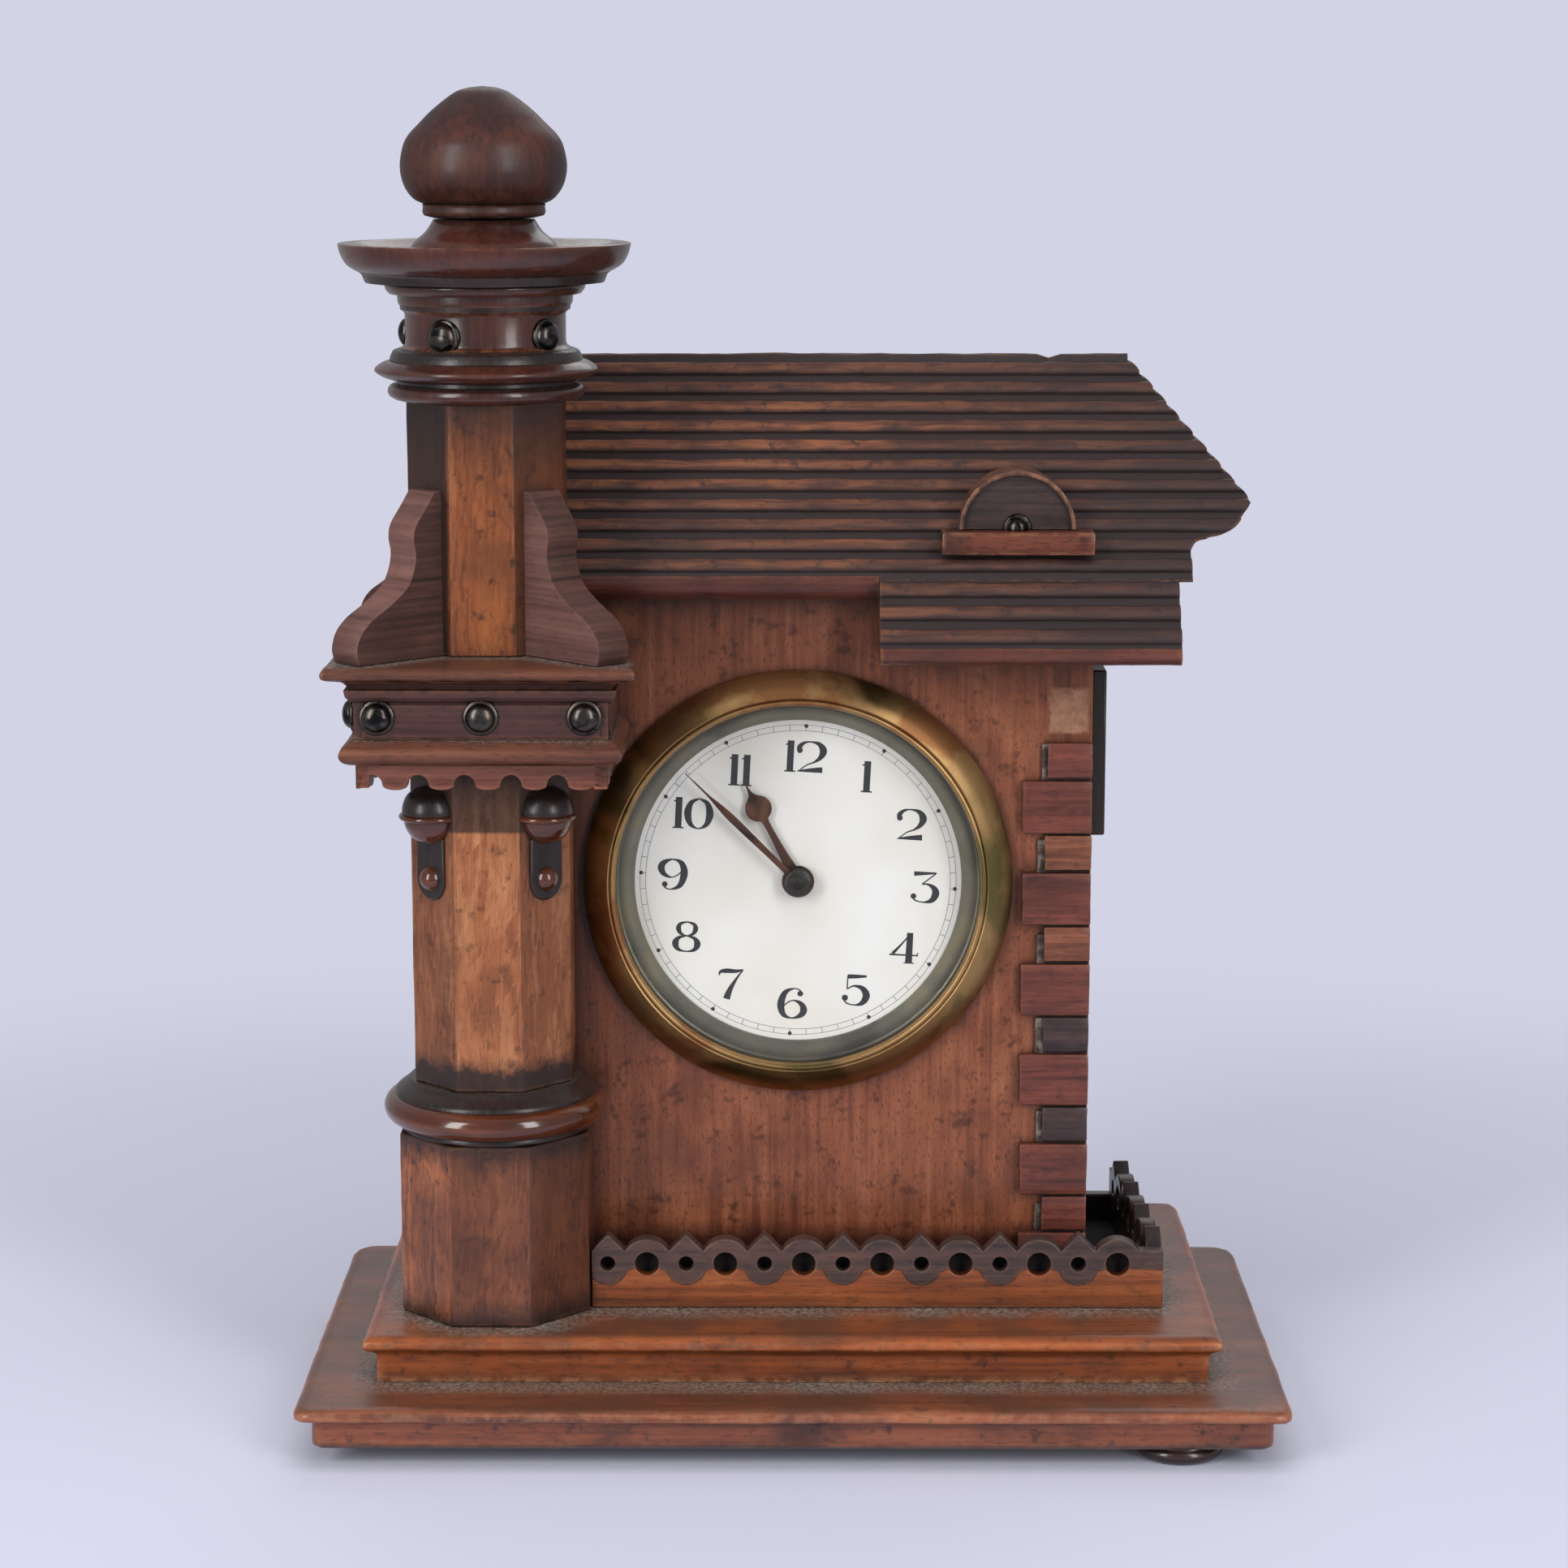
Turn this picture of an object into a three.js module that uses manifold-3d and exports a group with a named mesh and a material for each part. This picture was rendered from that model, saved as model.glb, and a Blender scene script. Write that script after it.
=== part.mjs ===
// A carved mantel clock in the form of a house with an octagonal corner turret.
// Millimetres, +Z up, front towards -Y. The origin is the middle of the footprint, on the table.

import * as THREE from 'three';
import { mergeVertices } from 'three/addons/utils/BufferGeometryUtils.js';
import Module from 'manifold-3d';

const wasm = await Module();
wasm.setup();

// Clearances
const SEAT = 0.1; // between stacked faces
const GAP = 0.3; // round a piece that is cut to fit its neighbour
const RUN = 0.1; // round a turning arbor

// Base: two stepped boards on low feet
const FOOT_HEIGHT = 4.0;
const FOOT_RADIUS = 9.2;
const FOOT_SIDES = 20;
const FOOT_SIDE_INSET = 12.5;
const FOOT_END_INSET = 4.8;
const FOOT_SETBACK = 9.0; // the front left foot stands further in
const LOWER_WIDTH = 202.0;
const LOWER_DEPTH = 110.0;
const LOWER_BODY = 6.6;
const LOWER_LIP = 3.0;
const LOWER_OVERHANG = 3.4;
const UPPER_WIDTH = 176.4;
const UPPER_STEP = 14.6; // front edge of the upper board behind the lower one
const UPPER_BODY = 7.5;
const UPPER_LIP = 2.8;
const UPPER_OVERHANG = 2.7;
const BOARD_ROUND = 1.1;

// House: four walls
const HOUSE_RIGHT = 62.2;
const HOUSE_BACK_INSET = 6.5; // back panel in from the back edge of the base
const HOUSE_DEPTH = 54.0;
const HOUSE_HEIGHT = 148.0;
const PANEL_THICK = 4.0;
const WALL_THICK = 4.0;
const WALL_TUCK = 1.7; // how far the house reaches behind the turret's shaft
const BACK_OPENING_RADIUS = 37.0;

// Quoins on the front right corner
const QUOIN_LONG = 14.5;
const QUOIN_SHORT = 9.6;
const QUOIN_LONG_HEIGHT = 10.9;
const QUOIN_SHORT_HEIGHT = 7.2;
const QUOIN_JOINT = 0.7;
const QUOIN_THICK = 2.2;
const QUOIN_BACKING = 0.7;
const QUOIN_PAIRS = 6;

// Shallow bay on the right wall
const BAY_HEIGHT = 35.0;
const BAY_DEPTH = 30.0;
const BAY_THICK = 3.0;
const BAY_FRAME = 3.0;
const BAY_PANE_RECESS = 1.2;
const BAY_DROP = 15.9; // top of the bay below the wall top
const BAY_FRONT_INSET = 4.0;

// Roof: ribbed slopes to the front, the back and the right
const RIDGE_HEIGHT = 47.2; // ridge above the wall top
const RIDGE_RIGHT = 70.4;
const RIDGE_FLAT = 3.0;
const EAVE_OVERHANG = 7.5;
const EAVE_THICK = 5.2;
const HIP_TIP = 94.2;
const HIP_TIP_RISE = 18.2; // hip eave above the wall top
const ROOF_BODY_RIGHT = 81.6;
const HIP_COVE_RISE = 12.0;
const ROOF_SHELL = 5.0;
const ROOF_TUCK = 5.8; // how far the roof reaches behind the upper shaft
const ROOF_RIBS = 11;
const HIP_RIBS = 9;
const RIB_HEIGHT = 1.25;
const HIP_RIB_HEIGHT = 0.5;
const RIB_SHARE = 0.62;

// Ribbed lower roof over the right of the front
const PENT_LEFT = 17.6;
const PENT_RIGHT = 78.6;
const PENT_DROP = 17.0;
const PENT_RIBS = 3;
const PENT_NOSE = 3.6;

// Arched dormer
const DORMER_X = 45.9;
const DORMER_RADIUS = 12.0;
const DORMER_RIM = 1.3;
const DORMER_RECESS = 1.1;
const DORMER_RISE = 14.3; // sill top above the wall top
const DORMER_PROUD = 2.2;
const DORMER_BOSS = 3.3;
const SILL_LENGTH = 31.4;
const SILL_HEIGHT = 4.7;
const SILL_PROUD = 2.6;

// Turret on the left
const TURRET_X = -62.0;
const TURRET_Y = -14.5;
const PLINTH_FLATS = 39.2;
const PLINTH_HEIGHT = 38.4;
const RING_RADIUS = 23.4;
const RING_HEIGHT = 10.5;
const SHAFT_FLATS = 32.6;
const SHAFT_HEIGHT = 67.0;
const CAPITAL_HALF = 25.8; // half side of the frieze
const CAPITAL_OVOLO = 2.5;
const CAPITAL_OVOLO_HEIGHT = 5.0;
const CAPITAL_SKIRT_INSET = 0.7;
const CAPITAL_SKIRT_HEIGHT = 5.2;
const CAPITAL_SKIRT_BAND = 2.6;
const CAPITAL_SKIRT_THICK = 3.0;
const CAPITAL_ARCHES = 5;
const CAPITAL_ARCH_RADIUS = 2.7;
const CAPITAL_FRIEZE_HEIGHT = 10.1;
const CAPITAL_BOARD_OVERHANG = 5.4;
const CAPITAL_COVE_HEIGHT = 2.1;
const CAPITAL_BOARD_HEIGHT = 2.8;
const STUD_RADIUS = 3.5;
const STUD_RISE = 2.0;
const STUD_SPACING = 20.6;
const UPPER_FLATS = 31.4;
const UPPER_HEIGHT = 50.5;
const BRACKET_HEIGHT = 34.2;
const BRACKET_REACH = 37.6;
const BRACKET_THICK = 7.0;
const CROWN_RADIUS = 29.4;
const CROWN_HEIGHT = 31.2;
const CROWN_DRUM = 16.2;
const CROWN_DISH = 1.3;
const CROWN_STUDS = 5;
const CROWN_STUD_TURN = -26;
const CROWN_STUD_STEP = 78;
const FINIAL_RADIUS = 16.7;
const FINIAL_HEIGHT = 32.0;
const FINIAL_FOOT = 14.6;
const PENDANT_RADIUS = 5.7;
const PENDANT_HEIGHT = 23.4;
const PENDANT_TOP_DROP = 1.7; // below the skirt's lowest point

// Pierced gallery round the terrace
const GALLERY_FRONT = -20.9;
const GALLERY_RIGHT = 77.4;
const GALLERY_BACK_INSET = 6.7; // end of the side board in front of the house's back
const GALLERY_THICK = 3.4;
const GALLERY_SPLAY = 2.8; // the side board runs in towards the house at the back
const GALLERY_HEIGHT = 15.8;
const GALLERY_NOTCH = 3.4;
const GALLERY_PITCH = 16.4;
const GALLERY_POINT_SHARE = 0.41;
const GALLERY_ROUND_DROP = 0.9;
const GALLERY_HOLE_HEIGHT = 9.6;
const GALLERY_SMALL_HOLE = 1.6;
const GALLERY_BIG_HOLE = 2.5;
const RAIL_HEIGHT = 6.0;
const RAIL_THICK = 3.0;

// Clock: centre on the front panel and depths measured back from the panel's face
const CLOCK_X = 1.0;
const CLOCK_RISE = 88.2; // dial centre above the upper board
const BEZEL_RADIUS = 44.8;
const BEZEL_PROUD = 6.3;
const BEZEL_SIGHT = 38.0;
const GLASS_THICK = 1.4;
const GLASS_SEAT = 0.7;
const GLASS_DEPTH = -4.0;
const CAN_RADIUS = 37.8;
const CAN_WALL = 1.2;
const CAN_LENGTH = 30.0;
const SIGHT_LIP = 2.1; // sight ring over the dial's edge
const DIAL_DEPTH = 2.4;
const DIAL_THICK = 0.8;
const HOUR_HAND_LENGTH = 24.3;
const HOUR_HAND_ANGLE = -28.0;
const MINUTE_HAND_LENGTH = 33.0;
const MINUTE_HAND_ANGLE = -45.4;
const HAND_THICK = 0.6;
const MINUTE_HAND_DEPTH = -0.6;
const HOUR_HAND_DEPTH = 0.9;
const FRONT_PLATE_DEPTH = 7.6;
const PLATE_THICK = 1.5;
const PLATE_SPACE = 14.3;
const PILLAR_RADIUS = 2.0;
const PILLAR_CIRCLE = 32.0;
const ARBOR_RADIUS = 1.2;
const PIVOT_RADIUS = 0.45;
const PIVOT_HOLE = 0.6;
const THIN_ARBOR = 0.8;
const SET_KNOB_RADIUS = 5.0;
const SET_KNOB_DEPTH = 34.0;
const SET_KNOB_LENGTH = 4.5;
const KEY_CLEARANCE = 1.0; // between the ratchet wheel and the key
const KEY_SHANK = 8.0;
const KEY_WING = 9.0;
const WHEEL_THICK = 1.1;

// Gear train: teeth and modules
const BARREL_TEETH = 48;
const CENTRE_LEAVES = 8;
const BARREL_MODULE = 0.6;
const CENTRE_TEETH = 48;
const THIRD_LEAVES = 6;
const CENTRE_MODULE = 0.5;
const THIRD_TEETH = 45;
const FOURTH_LEAVES = 6;
const THIRD_MODULE = 0.45;
const FOURTH_TEETH = 48;
const ESCAPE_LEAVES = 6;
const FOURTH_MODULE = 0.4;
const ESCAPE_TEETH = 15;
const ESCAPE_RADIUS = 5.5;
const CANNON_LEAVES = 12;
const MINUTE_TEETH = 36;
const CANNON_MODULE = 0.5;
const MINUTE_LEAVES = 12;
const HOUR_TEETH = 48;
const HOUR_MODULE = 0.4;
const RATCHET_TEETH = 20;
const RATCHET_RADIUS = 6.5;
const WHEEL_ADDENDUM = 0.75;
const LEAF_ADDENDUM = 0.45;
const DEDENDUM = 1.15;
const LEAF_SHARE = 0.34;
const BALANCE_RADIUS = 8.0;

// Levels and places worked out from the sizes above
const LOWER_TOP = FOOT_HEIGHT + LOWER_BODY + LOWER_LIP;
const DECK = LOWER_TOP + SEAT + UPPER_BODY + UPPER_LIP;
const FRONT_EDGE = -LOWER_DEPTH / 2;
const BACK_EDGE = LOWER_DEPTH / 2;
const UPPER_FRONT = FRONT_EDGE + UPPER_STEP;
const WALL_BASE = DECK + SEAT;
const WALL_TOP = WALL_BASE + HOUSE_HEIGHT;
const HOUSE_BACK = BACK_EDGE - HOUSE_BACK_INSET;
const PANEL_FRONT = HOUSE_BACK - HOUSE_DEPTH;
const GALLERY_BACK = HOUSE_BACK - GALLERY_BACK_INSET;
const SIGHT_INNER = CAN_RADIUS - CAN_WALL - GAP - SIGHT_LIP;
const ROOF_BASE = WALL_TOP + SEAT;
const RIDGE_TOP = WALL_TOP + RIDGE_HEIGHT;
const HOUSE_LEFT = TURRET_X + SHAFT_FLATS / 2 - WALL_TUCK;
const ROOF_LEFT = TURRET_X + UPPER_FLATS / 2 - ROOF_TUCK;
const RIDGE_Y = PANEL_FRONT + HOUSE_DEPTH / 2;
const EAVE_FRONT = PANEL_FRONT - EAVE_OVERHANG;
const EAVE_BACK = Math.min(HOUSE_BACK + EAVE_OVERHANG, BACK_EDGE);
const EAVE_TOP = ROOF_BASE + EAVE_THICK;
const PLINTH_BASE = DECK + SEAT;
const RING_BASE = PLINTH_BASE + PLINTH_HEIGHT + SEAT;
const SHAFT_BASE = RING_BASE + RING_HEIGHT + SEAT;
const SKIRT_BASE = SHAFT_BASE + SHAFT_HEIGHT + SEAT - CAPITAL_SKIRT_BAND;
const FRIEZE_BASE = SKIRT_BASE + CAPITAL_SKIRT_HEIGHT + CAPITAL_OVOLO_HEIGHT + SEAT;
const BOARD_BASE = FRIEZE_BASE + CAPITAL_FRIEZE_HEIGHT + SEAT;
const UPPER_BASE = BOARD_BASE + CAPITAL_COVE_HEIGHT + CAPITAL_BOARD_HEIGHT + SEAT;
const CROWN_BASE = UPPER_BASE + UPPER_HEIGHT + SEAT;
const FINIAL_BASE = CROWN_BASE + CROWN_HEIGHT - CROWN_DISH + SEAT;
const BACK_PLATE_DEPTH = FRONT_PLATE_DEPTH + PLATE_THICK + PLATE_SPACE;
const TRAIN_START = FRONT_PLATE_DEPTH + PLATE_THICK;

// Finishes
const finish = (color, roughness, metalness = 0) => new THREE.MeshStandardMaterial({ color, roughness, metalness });
const WALNUT = finish(0x6a4029, 0.55);
const DARK_WALNUT = finish(0x4a3029, 0.6);
const EBONISED = finish(0x2b2422, 0.55);
const BRASS = finish(0xa8843f, 0.35, 1.0);
const STEEL = finish(0x8b8d90, 0.35, 1.0);
const BLUED_STEEL = finish(0x3a2c28, 0.4, 1.0);
const PAPER = finish(0xe9e6df, 0.85);
const GLASS = new THREE.MeshStandardMaterial({ color: 0xf2f5f4, roughness: 0.05, transparent: true, opacity: 0.25 });

// Closed geometry with shared corners, no empty triangles and its faces outwards
function closed(geometry) {
  const bare = geometry.clone();
  bare.deleteAttribute('normal');
  bare.deleteAttribute('uv');
  const merged = mergeVertices(bare, 1e-4);
  const at = merged.attributes.position;
  const kept = [];
  let volume = 0;
  for (let i = 0; i < merged.index.count; i += 3) {
    const [a, b, c] = [0, 1, 2].map((k) => merged.index.getX(i + k));
    if (a === b || b === c || c === a) continue;
    kept.push(a, b, c);
    const [p, q, r] = [a, b, c].map((k) => new THREE.Vector3().fromBufferAttribute(at, k));
    volume += p.dot(q.cross(r));
  }
  if (volume < 0) kept.reverse();
  merged.setIndex(kept);
  return merged;
}

function solid(geometry) {
  const shell = closed(geometry);
  const mesh = new wasm.Mesh({
    numProp: 3,
    vertProperties: new Float32Array(shell.attributes.position.array),
    triVerts: new Uint32Array(shell.index.array),
  });
  return new wasm.Manifold(mesh);
}

function geometryOf(body) {
  const mesh = body.getMesh();
  const geometry = new THREE.BufferGeometry();
  geometry.setAttribute('position', new THREE.BufferAttribute(mesh.vertProperties, 3));
  geometry.setIndex(new THREE.BufferAttribute(mesh.triVerts, 1));
  return geometry;
}

const join = (...geometries) => geometryOf(geometries.map(solid).reduce((all, one) => all.add(one)));
const cut = (first, ...tools) => geometryOf(tools.map(solid).reduce((all, one) => all.subtract(one), solid(first)));
const common = (first, second) => geometryOf(solid(first).intersect(solid(second)));

// Flat outlines
const vector = ([x, y]) => new THREE.Vector2(x, y);
const rectangle = (x0, x1, y0, y1) => [[x0, y0], [x1, y0], [x1, y1], [x0, y1]];
const polar = (radius, angle, x = 0, y = 0) => [x + radius * Math.cos(angle), y + radius * Math.sin(angle)];
const degrees = (angle) => (angle * Math.PI) / 180;

function circle(radius, sides = 24, x = 0, y = 0) {
  return Array.from({ length: sides }, (_, i) => polar(radius, (2 * Math.PI * i) / sides, x, y));
}

function arc(radius, from, to, steps, x = 0, y = 0) {
  return Array.from({ length: steps + 1 }, (_, i) => polar(radius, from + ((to - from) * i) / steps, x, y));
}

const octagon = (flats) => Array.from({ length: 8 }, (_, i) =>
  polar(flats / 2 / Math.cos(Math.PI / 8), Math.PI / 8 + (Math.PI / 4) * i));

// Prisms along each axis, and turned forms
function prism(points, length, holes = []) {
  const shape = new THREE.Shape(points.map(vector));
  shape.holes = holes.map((hole) => new THREE.Path(hole.map(vector)));
  return new THREE.ExtrudeGeometry(shape, { depth: length, bevelEnabled: false, steps: 1 });
}

const prismXY = (points, z0, z1, holes) => prism(points, z1 - z0, holes).translate(0, 0, z0);
const prismXZ = (points, y0, y1, holes) => prism(points, y1 - y0, holes).rotateX(Math.PI / 2).translate(0, y1, 0);

function prismYZ(points, x0, x1, holes) {
  const turn = new THREE.Matrix4().makeBasis(
    new THREE.Vector3(0, 1, 0), new THREE.Vector3(0, 0, 1), new THREE.Vector3(1, 0, 0));
  return prism(points, x1 - x0, holes).applyMatrix4(turn).translate(x0, 0, 0);
}

const box = (x0, x1, y0, y1, z0, z1) => prismXY(rectangle(x0, x1, y0, y1), z0, z1);
const turnedY = (profile, sides) => new THREE.LatheGeometry(profile.map(vector), sides);
const turnedZ = (profile, sides) => turnedY(profile, sides).rotateX(Math.PI / 2);
const ring = (profile) => [...profile, profile[0]];

// A board with rounded edges
function board(x0, x1, y0, y1, z0, z1, round) {
  const shape = new THREE.Shape(rectangle(x0 + round, x1 - round, y0 + round, y1 - round).map(vector));
  const rounded = { depth: z1 - z0 - 2 * round, bevelSize: round, bevelThickness: round, bevelSegments: 2 };
  return new THREE.ExtrudeGeometry(shape, rounded).translate(0, 0, z0 + round);
}

function mesh(parent, name, geometry, material) {
  const piece = new THREE.Mesh(closed(geometry), material);
  piece.name = name;
  parent.add(piece);
}

const clock = new THREE.Group();
const house = new THREE.Group();
const turret = new THREE.Group();
turret.position.set(TURRET_X, TURRET_Y, 0);
const movement = new THREE.Group();
movement.position.set(CLOCK_X, PANEL_FRONT, DECK + CLOCK_RISE);
clock.add(house, turret, movement);

// The space of the house as the turret sees it, for the pieces that are notched round its corner
function houseCorner() {
  const left = HOUSE_LEFT - GAP - TURRET_X;
  const front = PANEL_FRONT - GAP - TURRET_Y;
  return box(left, left + LOWER_WIDTH, front, front + LOWER_DEPTH, 0, WALL_TOP);
}

// Base boards and feet
function buildBase() {
  const boards = [
    ['base_lower', LOWER_WIDTH, FRONT_EDGE, FOOT_HEIGHT, LOWER_BODY, LOWER_LIP, LOWER_OVERHANG],
    ['base_upper', UPPER_WIDTH, UPPER_FRONT, LOWER_TOP + SEAT, UPPER_BODY, UPPER_LIP, UPPER_OVERHANG],
  ];
  for (const [name, width, front, bottom, body, lip, overhang] of boards) {
    const half = width / 2;
    const under = board(overhang - half, half - overhang, front + overhang, BACK_EDGE, bottom,
      bottom + body + lip / 2, BOARD_ROUND);
    const over = board(-half, half, front, BACK_EDGE, bottom + body, bottom + body + lip, BOARD_ROUND);
    mesh(house, name, join(under, over), DARK_WALNUT);
  }
  const footX = LOWER_WIDTH / 2 - FOOT_SIDE_INSET - FOOT_RADIUS;
  const footY = LOWER_DEPTH / 2 - FOOT_END_INSET - FOOT_RADIUS;
  const top = FOOT_HEIGHT - SEAT;
  const bun = [[0, 0], [FOOT_RADIUS - 0.8, 0], [FOOT_RADIUS, top / 2], [FOOT_RADIUS - 0.5, top], [0, top]];
  for (const [side, x] of [['left', -footX], ['right', footX]]) {
    const setback = side === 'left' ? FOOT_SETBACK : 0;
    for (const [end, y] of [['front', setback - footY], ['back', footY]]) {
      mesh(house, `foot_${end}_${side}`, turnedZ(bun, FOOT_SIDES).translate(x, y, 0), EBONISED);
    }
  }
}

// Walls, quoins and the bay
function buildWalls() {
  const clockZ = DECK + CLOCK_RISE;
  const outline = rectangle(HOUSE_LEFT, HOUSE_RIGHT, WALL_BASE, WALL_TOP);
  const movementHole = circle((CAN_RADIUS + GAP) / Math.cos(Math.PI / 36), 36, CLOCK_X, clockZ);
  mesh(house, 'front_panel', prismXZ(outline, PANEL_FRONT, PANEL_FRONT + PANEL_THICK, [movementHole]), WALNUT);
  const opening = circle(BACK_OPENING_RADIUS, 36, CLOCK_X, clockZ);
  mesh(house, 'back_panel', prismXZ(outline, HOUSE_BACK - PANEL_THICK, HOUSE_BACK, [opening]), WALNUT);
  const inner = [PANEL_FRONT + PANEL_THICK + SEAT, HOUSE_BACK - PANEL_THICK - SEAT, WALL_BASE, WALL_TOP];
  mesh(house, 'left_wall', box(HOUSE_LEFT, HOUSE_LEFT + WALL_THICK, ...inner), WALNUT);
  mesh(house, 'right_wall', box(HOUSE_RIGHT - WALL_THICK, HOUSE_RIGHT, ...inner), WALNUT);

  const face = PANEL_FRONT - SEAT;
  const period = QUOIN_LONG_HEIGHT + QUOIN_SHORT_HEIGHT + 2 * QUOIN_JOINT;
  const top = WALL_BASE + QUOIN_PAIRS * period - QUOIN_JOINT;
  const blocks = [box(HOUSE_RIGHT - QUOIN_SHORT, HOUSE_RIGHT, face - QUOIN_BACKING, face, WALL_BASE, top)];
  for (let i = 0; i < QUOIN_PAIRS; i += 1) {
    const foot = WALL_BASE + i * period;
    const middle = foot + QUOIN_LONG_HEIGHT + QUOIN_JOINT;
    blocks.push(box(HOUSE_RIGHT - QUOIN_LONG, HOUSE_RIGHT, face - QUOIN_THICK, face, foot, foot + QUOIN_LONG_HEIGHT));
    blocks.push(box(HOUSE_RIGHT - QUOIN_SHORT, HOUSE_RIGHT, face - QUOIN_THICK, face,
      middle, middle + QUOIN_SHORT_HEIGHT));
  }
  mesh(house, 'quoin_strip', join(...blocks), DARK_WALNUT);

  const bayFront = PANEL_FRONT + BAY_FRONT_INSET;
  const bayTop = WALL_TOP - BAY_DROP;
  const bayX = HOUSE_RIGHT + SEAT;
  const slab = box(bayX, bayX + BAY_THICK, bayFront, bayFront + BAY_DEPTH, bayTop - BAY_HEIGHT, bayTop);
  const pane = box(bayX + BAY_THICK - BAY_PANE_RECESS, bayX + 2 * BAY_THICK, bayFront + BAY_FRAME,
    bayFront + BAY_DEPTH - BAY_FRAME, bayTop - BAY_HEIGHT + BAY_FRAME, bayTop - BAY_FRAME);
  mesh(house, 'side_bay', cut(slab, pane), EBONISED);
}

// Rounded ribs along a straight slope from one point to another
function ribbedLine([x0, y0], [x1, y1], count, height = RIB_HEIGHT) {
  const length = Math.hypot(x1 - x0, y1 - y0);
  const along = [(x1 - x0) / length, (y1 - y0) / length];
  const out = [-along[1], along[0]];
  const pitch = length / count;
  const points = [];
  for (let i = 0; i < count; i += 1) {
    const half = (pitch * RIB_SHARE) / 2;
    for (const turn of [180, 120, 60, 0]) {
      const s = (i + 0.5) * pitch + half * Math.cos(degrees(turn));
      const lift = height * Math.sin(degrees(turn));
      points.push([x0 + along[0] * s + out[0] * lift, y0 + along[1] * s + out[1] * lift]);
    }
  }
  return points;
}

const roofSlope = () => (RIDGE_TOP - RIB_HEIGHT - EAVE_TOP) / (RIDGE_Y - RIDGE_FLAT / 2 - EAVE_FRONT);

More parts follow.
